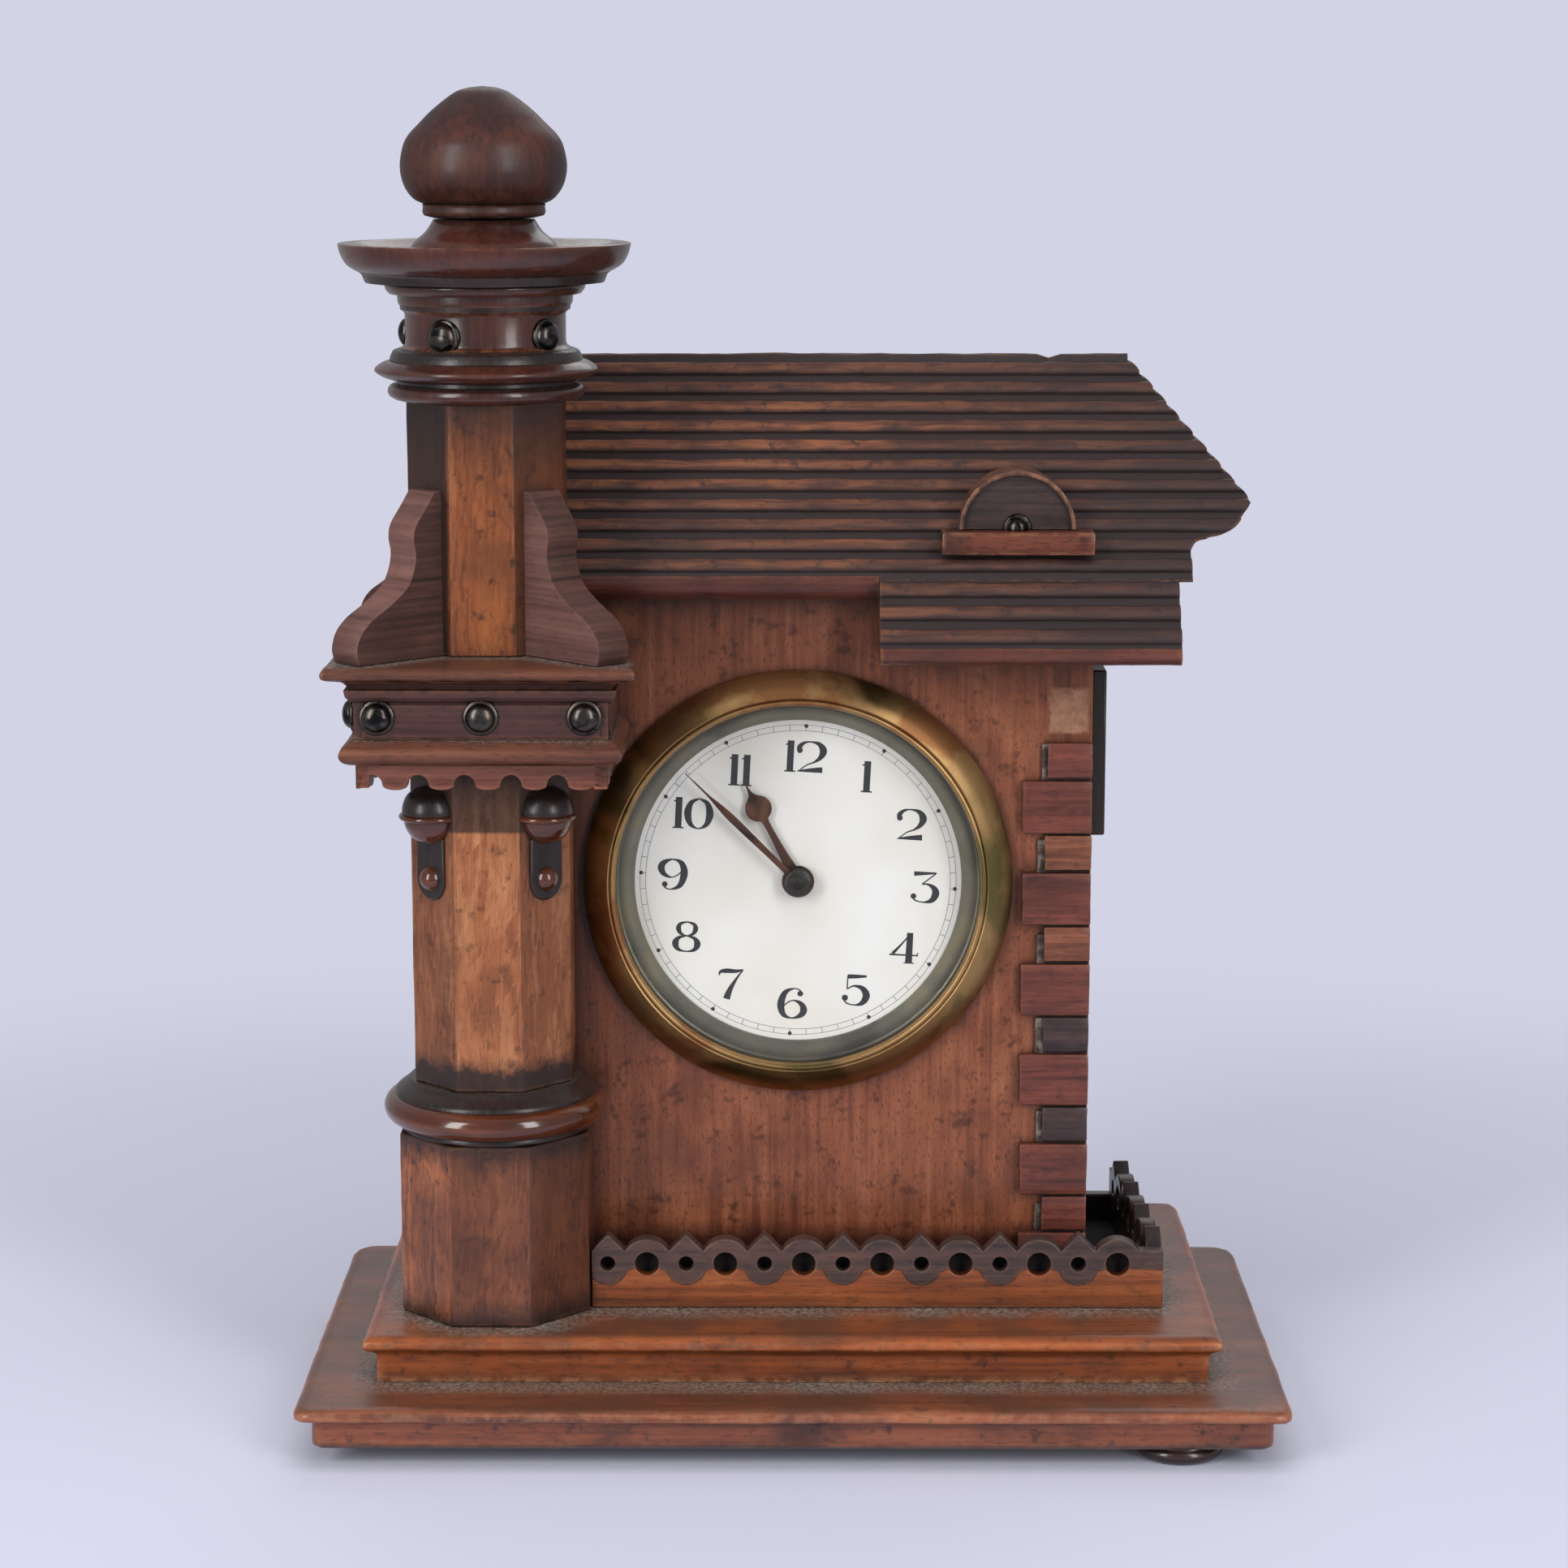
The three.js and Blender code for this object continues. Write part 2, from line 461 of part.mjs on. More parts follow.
function buildRoof() {
  const ridgeZ = RIDGE_TOP - RIB_HEIGHT;
  const front = [EAVE_FRONT, EAVE_TOP];
  const back = [EAVE_BACK, EAVE_TOP];
  const ridgeFront = [RIDGE_Y - RIDGE_FLAT / 2, ridgeZ];
  const ridgeBack = [RIDGE_Y + RIDGE_FLAT / 2, ridgeZ];
  const section = [
    [EAVE_FRONT + 1, ROOF_BASE], [EAVE_FRONT, ROOF_BASE + 1], front,
    ...ribbedLine(front, ridgeFront, ROOF_RIBS), ridgeFront,
    [RIDGE_Y - RIDGE_FLAT / 2, RIDGE_TOP], [RIDGE_Y + RIDGE_FLAT / 2, RIDGE_TOP], ridgeBack,
    ...ribbedLine(ridgeBack, back, ROOF_RIBS), back, [EAVE_BACK, ROOF_BASE],
  ];
  const tip = [HIP_TIP, WALL_TOP + HIP_TIP_RISE];
  const hipTop = [RIDGE_RIGHT, ridgeZ];
  const cove = WALL_TOP + HIP_COVE_RISE;
  const end = [
    [ROOF_LEFT, ROOF_BASE], [ROOF_LEFT, RIDGE_TOP], [RIDGE_RIGHT, RIDGE_TOP], hipTop,
    ...ribbedLine(hipTop, tip, HIP_RIBS, HIP_RIB_HEIGHT), tip,
    [HIP_TIP - 1.5, cove + 2.9], [HIP_TIP - 5.4, cove + 0.6], [ROOF_BODY_RIGHT + 1.1, cove],
    [ROOF_BODY_RIGHT - 0.3, cove - 2.5],
    [ROOF_BODY_RIGHT, EAVE_TOP - 1.2], [PENT_RIGHT, EAVE_TOP - 1.2], [PENT_RIGHT, ROOF_BASE],
  ];
  const outer = common(prismYZ(section, ROOF_LEFT, HIP_TIP + 2 * RIB_HEIGHT), prismXZ(end, EAVE_FRONT - 2, EAVE_BACK + 2));
  const innerFront = PANEL_FRONT + PANEL_THICK;
  const innerBack = HOUSE_BACK - PANEL_THICK;
  const lift = (RIDGE_Y - innerFront) * roofSlope() * 0.8;
  const hollow = [[innerFront, ROOF_BASE - 1], [innerBack, ROOF_BASE - 1], [innerBack, ROOF_BASE + ROOF_SHELL],
    [RIDGE_Y, ROOF_BASE + ROOF_SHELL + lift], [innerFront, ROOF_BASE + ROOF_SHELL]];
  const inside = prismYZ(hollow, HOUSE_LEFT + WALL_THICK, HOUSE_RIGHT - WALL_THICK);
  const shaft = prismXY(octagon(UPPER_FLATS + 2 * SEAT), ROOF_BASE - 1, RIDGE_TOP + 1).translate(TURRET_X, TURRET_Y, 0);
  mesh(house, 'roof_main', cut(cut(outer, inside), shaft), WALNUT);

  // The lower roof carries the front slope on, down to its rounded nose
  const slope = roofSlope();
  const pentTop = ROOF_BASE - SEAT;
  const pentBack = PANEL_FRONT - SEAT;
  const pentHead = EAVE_FRONT - GAP;
  const noseTop = EAVE_TOP - PENT_DROP + PENT_NOSE;
  const upperEnd = [pentHead - 0.5 / slope, EAVE_TOP - 0.5];
  const lowerEnd = [pentHead - (EAVE_TOP - noseTop) / slope, noseTop];
  const pent = [
    [pentBack, pentTop], [pentBack, noseTop - PENT_NOSE], [lowerEnd[0] + 0.8, noseTop - PENT_NOSE],
    [lowerEnd[0] - 0.6, noseTop - PENT_NOSE * 0.6], lowerEnd, ...ribbedLine(lowerEnd, upperEnd, PENT_RIBS), upperEnd,
    [pentHead, EAVE_TOP - 0.5], [pentHead, pentTop],
  ];
  mesh(house, 'pent_roof', prismYZ(pent, PENT_LEFT, PENT_RIGHT), WALNUT);

  // Dormer: an arched block and its sill, both cut to sit on the rib crests
  const sillTop = WALL_TOP + DORMER_RISE;
  const crest = RIB_HEIGHT * Math.hypot(1, slope) + GAP;
  const slopeY = (z) => EAVE_FRONT + (z - EAVE_TOP - crest) / slope;
  const reach = DORMER_RADIUS * 2;
  const low = sillTop - 2 * reach;
  const high = sillTop + 2 * reach;
  const under = prismYZ([[slopeY(low), low], [slopeY(high), high], [slopeY(high), low]],
    DORMER_X - SILL_LENGTH, DORMER_X + SILL_LENGTH);
  const dormerFront = slopeY(sillTop) - DORMER_PROUD;
  const archBase = sillTop + SEAT;
  const arch = (radius, y0, y1) =>
    prismXZ(arc(radius, 0, Math.PI, 16, DORMER_X, archBase), y0, y1);
  const boss = new THREE.SphereGeometry(DORMER_BOSS, 12, 8).translate(DORMER_X, dormerFront + DORMER_RECESS, archBase);
  const bossHalf = common(boss, box(DORMER_X - DORMER_RADIUS, DORMER_X + DORMER_RADIUS, dormerFront - reach,
    dormerFront + DORMER_RECESS + 1, archBase, archBase + reach));
  const block = cut(arch(DORMER_RADIUS, dormerFront, dormerFront + reach),
    arch(DORMER_RADIUS - DORMER_RIM, dormerFront - 1, dormerFront + DORMER_RECESS));
  mesh(house, 'dormer_arch', cut(join(block, bossHalf), under), DARK_WALNUT);
  const sillFront = slopeY(sillTop - SILL_HEIGHT) - SILL_PROUD;
  const sill = box(DORMER_X - SILL_LENGTH / 2, DORMER_X + SILL_LENGTH / 2, sillFront, sillFront + reach,
    sillTop - SILL_HEIGHT, sillTop);
  mesh(house, 'dormer_sill', cut(sill, under), DARK_WALNUT);
}

// Domed studs set round a block, each as a flattened ball
function stud(x, y, z) {
  return new THREE.SphereGeometry(STUD_RADIUS, 8, 6).translate(x, y, z);
}

function buildTurret() {
  const corner = houseCorner();
  const shaftAt = (flats, z0, z1) => prismXY(octagon(flats), z0, z1);
  mesh(turret, 'turret_base', cut(shaftAt(PLINTH_FLATS, PLINTH_BASE, PLINTH_BASE + PLINTH_HEIGHT), corner), WALNUT);

  const r = RING_RADIUS;
  const neck = SHAFT_FLATS / 2 + 1.4;
  const ringProfile = [[0, 0], [r - 3.6, 0], [r - 1.7, 0.5], [r - 0.3, 2.0], [r, 3.8], [r - 0.7, 5.9],
    [r - 2.4, 7.2], [r - 3.2, 8.4], [neck + 0.9, RING_HEIGHT - 1.2], [neck, RING_HEIGHT], [0, RING_HEIGHT]];
  mesh(turret, 'turret_ring', cut(turnedZ(ringProfile, 22).translate(0, 0, RING_BASE), corner), EBONISED);
  mesh(turret, 'turret_shaft', shaftAt(SHAFT_FLATS, SHAFT_BASE, SHAFT_BASE + SHAFT_HEIGHT), WALNUT);

  // Capital: scalloped skirt under an ovolo, then the studded frieze, then the coved top board
  const skirt = CAPITAL_HALF - CAPITAL_SKIRT_INSET;
  const skirtTop = SKIRT_BASE + CAPITAL_SKIRT_HEIGHT;
  const archPitch = (2 * skirt) / CAPITAL_ARCHES;
  const arches = [];
  for (let i = 0; i < CAPITAL_ARCHES; i += 1) {
    const at = (i + 0.5) * archPitch - skirt;
    arches.push(prismXZ(circle(CAPITAL_ARCH_RADIUS, 8, at, SKIRT_BASE), -2 * skirt, 2 * skirt));
    arches.push(prismYZ(circle(CAPITAL_ARCH_RADIUS, 8, at, SKIRT_BASE), -2 * skirt, 2 * skirt));
  }
  const well = skirt - CAPITAL_SKIRT_THICK;
  const skirtBox = cut(box(-skirt, skirt, -skirt, skirt, SKIRT_BASE, skirtTop),
    box(-well, well, -well, well, SKIRT_BASE - 1, SKIRT_BASE + CAPITAL_SKIRT_BAND), ...arches);
  const full = CAPITAL_HALF + CAPITAL_OVOLO;
  const ovolo = board(-full, full, -full, full, skirtTop, skirtTop + CAPITAL_OVOLO_HEIGHT, CAPITAL_OVOLO_HEIGHT * 0.4);
  const skirtAndOvolo = join(skirtBox, ovolo, box(-skirt, skirt, -skirt, skirt, skirtTop - 1, skirtTop + 1));
  mesh(turret, 'capital_lower', cut(skirtAndOvolo, corner), DARK_WALNUT);

  const half = CAPITAL_HALF;
  const studZ = FRIEZE_BASE + CAPITAL_FRIEZE_HEIGHT * 0.45;
  const sink = STUD_RADIUS - STUD_RISE;
  const friezeParts = [box(-half, half, -half, half, FRIEZE_BASE, FRIEZE_BASE + CAPITAL_FRIEZE_HEIGHT)];
  for (const step of [-1, 0, 1]) {
    const at = step * STUD_SPACING;
    friezeParts.push(stud(at, sink - half, studZ));
    friezeParts.push(stud(sink - half, at, studZ));
    if (step < 1) friezeParts.push(stud(at, half - sink, studZ));
    if (step < 1) friezeParts.push(stud(half - sink, at, studZ));
  }
  mesh(turret, 'capital_frieze', cut(join(...friezeParts), corner), EBONISED);

  const boardHalf = CAPITAL_HALF + CAPITAL_BOARD_OVERHANG;
  const boardFoot = BOARD_BASE + CAPITAL_COVE_HEIGHT;
  const slab = board(-boardHalf, boardHalf, -boardHalf, boardHalf, boardFoot, boardFoot + CAPITAL_BOARD_HEIGHT, 0.9);
  const coveSide = CAPITAL_HALF * Math.SQRT2;
  const cove = new THREE.CylinderGeometry(boardHalf * Math.SQRT2 - 2, coveSide, CAPITAL_COVE_HEIGHT + 0.5, 4, 1)
    .rotateY(Math.PI / 4).rotateX(Math.PI / 2).translate(0, 0, BOARD_BASE + (CAPITAL_COVE_HEIGHT + 0.5) / 2);
  mesh(turret, 'capital_top', cut(join(slab, cove), corner), DARK_WALNUT);

  mesh(turret, 'turret_upper_shaft', shaftAt(UPPER_FLATS, UPPER_BASE, UPPER_BASE + UPPER_HEIGHT), WALNUT);
  buildBrackets();
  buildCrown();
  buildPendants();
}

// Scrolled brackets on the diagonal faces of the upper shaft
function buildBrackets() {
  const inner = UPPER_FLATS / 2 + GAP;
  const reach = BRACKET_REACH;
  const tall = BRACKET_HEIGHT;
  const side = [[inner, 0], [reach - 1, 0], [reach - 0.2, 1.6], [reach, 3.6], [reach - 0.6, 6.1],
    [reach - 2.8, 9.3], [reach - 6.1, 12], [reach - 9, 13.8], [reach - 11.6, 16.8], [reach - 12.8, 20],
    [reach - 13.3, 23], [reach - 13.6, 26.8], [reach - 15.1, 29.2], [reach - 18.1, tall - 1.6], [inner, tall]];
  for (const [name, turn] of [['front_left', 225], ['front_right', 315], ['back_left', 135]]) {
    const plank = prismXZ(side, -BRACKET_THICK / 2, BRACKET_THICK / 2)
      .rotateZ(degrees(turn)).translate(0, 0, UPPER_BASE);
    mesh(turret, `bracket_${name}`, plank, WALNUT);
  }
}

// The turned crown with its studded drum and dished top, and the onion finial
function buildCrown() {
  const drum = CROWN_DRUM;
  const tall = CROWN_HEIGHT;
  const wide = CROWN_RADIUS;
  const dish = tall - CROWN_DISH;
  const profile = [[0, 0], [drum + 2.8, 0], [drum + 3, 1.4], [drum + 4, 2.6], [drum + 6.2, 5], [drum + 5.6, 6.4],
    [drum + 3.2, 7.4], [drum + 3, 8.6], [drum, 9.4], [drum, 17], [drum + 1.2, 17.8], [drum + 2.3, 19.8],
    [drum + 4.2, tall - 8.3], [wide - 5.2, tall - 7.3], [wide - 5, tall - 6.1], [wide - 3.5, tall - 5.5],
    [wide - 1, tall - 2.2], [wide, tall - 0.2], [wide - 1, tall], [wide - 4.5, dish], [0, dish]];
  const parts = [turnedZ(profile, 22).translate(0, 0, CROWN_BASE)];
  const sink = STUD_RADIUS - STUD_RISE;
  for (let i = 0; i < CROWN_STUDS; i += 1) {
    const turn = degrees(CROWN_STUD_TURN - 90 + CROWN_STUD_STEP * (i - 1));
    const [x, y] = polar(drum - sink, turn);
    parts.push(stud(x, y, CROWN_BASE + 13));
  }
  mesh(turret, 'crown', join(...parts), EBONISED);

  const foot = FINIAL_FOOT;
  const onion = FINIAL_RADIUS;
  const top = FINIAL_HEIGHT;
  const finial = [[0, 0], [foot, 0], [foot - 0.8, 1.4], [foot - 3, 3.4], [foot - 4.7, 5.8], [foot - 4.6, 6.1],
    [foot - 2.4, 6.6], [foot - 2.2, 7.6], [foot - 2.6, 8.4], [onion - 2.5, 9.8], [onion - 0.7, 12.5],
    [onion, 16.2], [onion - 0.6, 20], [onion - 1.8, 22.4], [onion - 4.1, 24.8], [onion - 6.5, 27.2],
    [onion - 9.8, top - 2.4], [onion - 11.8, top - 1], [onion - 14.1, top - 0.2], [0, top]];
  mesh(turret, 'finial', turnedZ(finial, 20).translate(0, 0, FINIAL_BASE), DARK_WALNUT);
}

// Half-round acorn drops on the two front diagonal faces under the capital
function buildPendants() {
  const r = PENDANT_RADIUS;
  const h = PENDANT_HEIGHT;
  const profile = [[0, 0], [1.5, 0.5], [2.6, 2.2], [2.9, 5], [2.4, 7.2], [1.6, 8.6], [1.6, h - 11.4],
    [r - 2.6, h - 10.2], [r - 1, h - 8], [r - 0.4, h - 6.2], [r, h - 5.6], [r, h - 4.6], [r - 0.4, h - 4.2],
    [r - 0.3, h - 2.4], [r - 1.6, h - 0.8], [0, h]];
  const base = SKIRT_BASE - PENDANT_TOP_DROP - h;
  const face = SHAFT_FLATS / 2;
  const core = prismXY(octagon(SHAFT_FLATS + 2 * GAP), base - 1, base + h + 1);
  for (const [name, turn] of [['left', 225], ['right', 315]]) {
    const [x, y] = polar(face, degrees(turn));
    const drop = turnedZ(profile, 14).translate(x, y, base);
    mesh(turret, `pendant_${name}`, cut(drop, core), DARK_WALNUT);
  }
}

// The outline of a gallery board: pointed merlons over small holes and round ones over big holes
function galleryBoard(start, finish) {
  const low = DECK + SEAT;
  const top = low + GALLERY_HEIGHT;
  const notch = top - GALLERY_NOTCH;
  const pointed = GALLERY_PITCH * GALLERY_POINT_SHARE;
  const rounded = GALLERY_PITCH - pointed;
  const holeZ = low + GALLERY_HOLE_HEIGHT;
  const points = [[start, low], [finish, low]];
  const upper = [];
  const holes = [];
  let at = start;
  for (let i = 0; at + pointed <= finish; i += 1) {
    const width = i % 2 === 0 ? pointed : rounded;
    const middle = at + width / 2;
    if (at + width > finish) break;
    upper.push([at, notch]);
    if (i % 2 === 0) {
      upper.push([middle - width * 0.3, top - 1.6], [middle, top], [middle + width * 0.3, top - 1.6]);
    } else {
      const crown = top - GALLERY_ROUND_DROP;
      upper.push([middle - width * 0.36, crown - 1], [middle, crown], [middle + width * 0.36, crown - 1]);
    }
    holes.push(circle(i % 2 === 0 ? GALLERY_SMALL_HOLE : GALLERY_BIG_HOLE, 8, middle, holeZ));
    at += width;
  }
  upper.push([at, notch]);
  if (finish - at > 0.05) upper.push([finish, notch]);
  return [[...points, ...upper.reverse()], holes];
}

function buildGallery() {
  const plinthSide = TURRET_X + PLINTH_FLATS / 2 + GAP;
  const [front, frontHoles] = galleryBoard(plinthSide, GALLERY_RIGHT);
  mesh(house, 'gallery_front', prismXZ(front, GALLERY_FRONT, GALLERY_FRONT + GALLERY_THICK, frontHoles), WALNUT);
  const sideStart = GALLERY_FRONT + GALLERY_THICK + GAP;
  const [side, sideHoles] = galleryBoard(sideStart, GALLERY_BACK);
  const sideBoard = prismYZ(side, -GALLERY_THICK, 0, sideHoles).translate(0, -sideStart, 0)
    .rotateZ(degrees(GALLERY_SPLAY)).translate(GALLERY_RIGHT, sideStart, 0);
  mesh(house, 'gallery_side', sideBoard, WALNUT);
  const railEnd = GALLERY_RIGHT - (GALLERY_BACK - sideStart) * Math.tan(degrees(GALLERY_SPLAY));
  const rail = box(HOUSE_RIGHT + SEAT, railEnd, GALLERY_BACK + SEAT, GALLERY_BACK + SEAT + RAIL_THICK,
    DECK + SEAT, DECK + SEAT + RAIL_HEIGHT);
  mesh(house, 'gallery_rail', rail, EBONISED);
}

// Gear outlines: pointed wheel teeth, and thin straight-flanked leaves on the pinions
function toothRadii(teeth, module, addendum) {
  const pitch = (module * teeth) / 2;
  return [pitch - DEDENDUM * module, pitch + addendum * module, (2 * Math.PI) / teeth];
}

function wheelTeeth(teeth, module, phase) {
  const [root, tip, step] = toothRadii(teeth, module, WHEEL_ADDENDUM);
  return Array.from({ length: teeth }, (_, i) => i)
    .flatMap((i) => [polar(tip, phase + i * step), polar(root, phase + (i + 0.5) * step)]);
}

function leaves(count, module, phase) {
  const [root, tip, step] = toothRadii(count, module, LEAF_ADDENDUM);
  const base = LEAF_SHARE * step * 0.72;
  const point = LEAF_SHARE * step * 0.2;
  return Array.from({ length: count }, (_, i) => phase + i * step)
    .flatMap((a) => [polar(root, a - base), polar(tip, a - point), polar(tip, a + point), polar(root, a + base)]);
}

// Openings between the spokes of a wheel
function crossings(hub, rim, spokes = 4) {
  return Array.from({ length: spokes }, (_, i) => {
    const from = ((i + 0.16) * 2 * Math.PI) / spokes;
    const to = ((i + 0.84) * 2 * Math.PI) / spokes;
    return [...arc(rim, from, to, 3), ...arc(hub, to, from, 1)];
  });
}

// Train places in the plane of the dial, from the centre arbor, right and up
const pairDistance = (module, wheel, pinion) => (module * (wheel + pinion)) / 2;
const BARREL_AT = [0, -pairDistance(BARREL_MODULE, BARREL_TEETH, CENTRE_LEAVES)];
const THIRD_AT = polar(pairDistance(CENTRE_MODULE, CENTRE_TEETH, THIRD_LEAVES), degrees(35));
const FOURTH_AT = polar(pairDistance(THIRD_MODULE, THIRD_TEETH, FOURTH_LEAVES), degrees(150), ...THIRD_AT);
const ESCAPE_AT = polar(pairDistance(FOURTH_MODULE, FOURTH_TEETH, ESCAPE_LEAVES), degrees(180), ...FOURTH_AT);
const MINUTE_AT = polar(pairDistance(CANNON_MODULE, CANNON_LEAVES, MINUTE_TEETH), degrees(-130));
const LEVER_AT = polar(ESCAPE_RADIUS + 1.6, degrees(225), ...ESCAPE_AT);
const BALANCE_AT = polar(9.2, degrees(250), ...LEVER_AT);

const bearing = ([x0, y0], [x1, y1]) => Math.atan2(y1 - y0, x1 - x0);
const meet = (from, to, teeth) => bearing(from, to) + Math.PI / teeth;

const disc = (radius, w0, w1, sides = 20) => prismXZ(circle(radius, sides), w0, w1);
const at = (geometry, [u, v]) => geometry.translate(u, 0, v);

// Depths inside the movement, back from the panel's face
const HOUR_LEVEL = DIAL_DEPTH + DIAL_THICK + 0.9;
const MINUTE_LEVEL = HOUR_LEVEL + WHEEL_THICK + 0.6;
const CENTRE_LEVEL = TRAIN_START + 1.1;
const BARREL_LEVEL = CENTRE_LEVEL + WHEEL_THICK + 1.2;
const BARREL_FLOOR = 1.4;
const BARREL_LENGTH = 7.6;
const ESCAPE_LEVEL = BARREL_LEVEL + 0.6;
const THIRD_LEVEL = ESCAPE_LEVEL + WHEEL_THICK + 1.1;
const BALANCE_LEVEL = THIRD_LEVEL + WHEEL_THICK + 0.9;
const FOURTH_LEVEL = BALANCE_LEVEL + 0.8;
const RATCHET_LEVEL = BACK_PLATE_DEPTH + PLATE_THICK + 0.4;
const KEY_DEPTH = RATCHET_LEVEL + WHEEL_THICK + KEY_CLEARANCE;

// A thin arbor with turned-down pivots that run in both plates
function arbor() {
  const body = [TRAIN_START + 0.4, BACK_PLATE_DEPTH - 0.4];
  const profile = [[0, FRONT_PLATE_DEPTH + 0.2], [PIVOT_RADIUS, FRONT_PLATE_DEPTH + 0.2], [PIVOT_RADIUS, body[0]],
    [THIN_ARBOR, body[0]], [THIN_ARBOR, body[1]], [PIVOT_RADIUS, body[1]],
    [PIVOT_RADIUS, BACK_PLATE_DEPTH + PLATE_THICK - 0.2], [0, BACK_PLATE_DEPTH + PLATE_THICK - 0.2]];
  return turnedY(profile, 6);
}

// Bezel, glass, sight ring, dial and the drum that holds the movement
function buildCase() {
  const r = BEZEL_RADIUS;
  const proud = -BEZEL_PROUD;
  const glassSeat = BEZEL_SIGHT + GLASS_SEAT;
  const glassFront = GLASS_DEPTH - SEAT;
  const bezel = ring([[r - 1, -SEAT], [r, -1.1], [r - 0.2, -2], [r - 1.4, -3.6], [r - 3.4, proud + 0.9],
    [r - 5.4, proud + 0.1], [BEZEL_SIGHT + 0.6, proud], [BEZEL_SIGHT, proud + 0.7], [BEZEL_SIGHT, glassFront],
    [glassSeat + GAP, glassFront], [glassSeat + GAP, -SEAT]]);
  mesh(movement, 'bezel', turnedY(bezel, 36), BRASS);
  mesh(movement, 'glass', disc(glassSeat, GLASS_DEPTH, GLASS_DEPTH + GLASS_THICK, 36), GLASS);

  const canInner = CAN_RADIUS - CAN_WALL;
  const lip = GLASS_DEPTH + GLASS_THICK + GAP;
  const foot = DIAL_DEPTH - SEAT;
  const seat = canInner - GAP;
  const sight = ring([[glassSeat, lip], [glassSeat, lip + 0.6], [seat, -GAP], [seat, foot], [SIGHT_INNER, foot],
    [SIGHT_INNER, foot - 0.6], [glassSeat - 0.9, lip]]);
  mesh(movement, 'sight_ring', turnedY(sight, 32), BRASS);
  const pipeHole = circle(3.0, 16);
  mesh(movement, 'dial', prismXZ(circle(seat, 36), DIAL_DEPTH, DIAL_DEPTH + DIAL_THICK, [pipeHole]), PAPER);
  const can = ring([[canInner, SEAT], [CAN_RADIUS, SEAT], [CAN_RADIUS, CAN_LENGTH], [canInner, CAN_LENGTH]]);
  mesh(movement, 'movement_can', turnedY(can, 36), BRASS);
}

// Plates, with the pillars and the minute wheel's post on the front one
function buildPlates() {
  const radius = CAN_RADIUS - CAN_WALL - GAP;
  const pivots = [THIRD_AT, FOURTH_AT, ESCAPE_AT, LEVER_AT, BALANCE_AT].map((p) => circle(PIVOT_HOLE, 8, ...p));
  const centreHole = circle((ARBOR_RADIUS + RUN) / Math.cos(Math.PI / 12), 12);
  const plateBack = FRONT_PLATE_DEPTH + PLATE_THICK;
  const frontPlate = prismXZ(circle(radius, 32), FRONT_PLATE_DEPTH, plateBack,
    [...pivots, centreHole, circle(1.0 + RUN, 16, ...BARREL_AT)]);
  const parts = [frontPlate, at(disc(0.8, HOUR_LEVEL - 0.3, plateBack - 0.2, 12), MINUTE_AT)];
  for (const turn of [20, 110, 200, 340]) {
    const pillar = disc(PILLAR_RADIUS, plateBack - 0.5, BACK_PLATE_DEPTH - SEAT, 8);
    parts.push(at(pillar, polar(PILLAR_CIRCLE, degrees(turn))));
  }
  mesh(movement, 'front_plate', join(...parts), BRASS);

  const backFace = BACK_PLATE_DEPTH + PLATE_THICK;
  const backPlate = prismXZ(circle(radius, 32), BACK_PLATE_DEPTH, backFace,
    [...pivots, centreHole, circle(1.5 + RUN, 16, ...BARREL_AT)]);
  const clickPost = at(disc(0.7, backFace - 0.5, RATCHET_LEVEL + WHEEL_THICK, 12), CLICK_AT);
  mesh(movement, 'back_plate', join(backPlate, clickPost), BRASS);
}

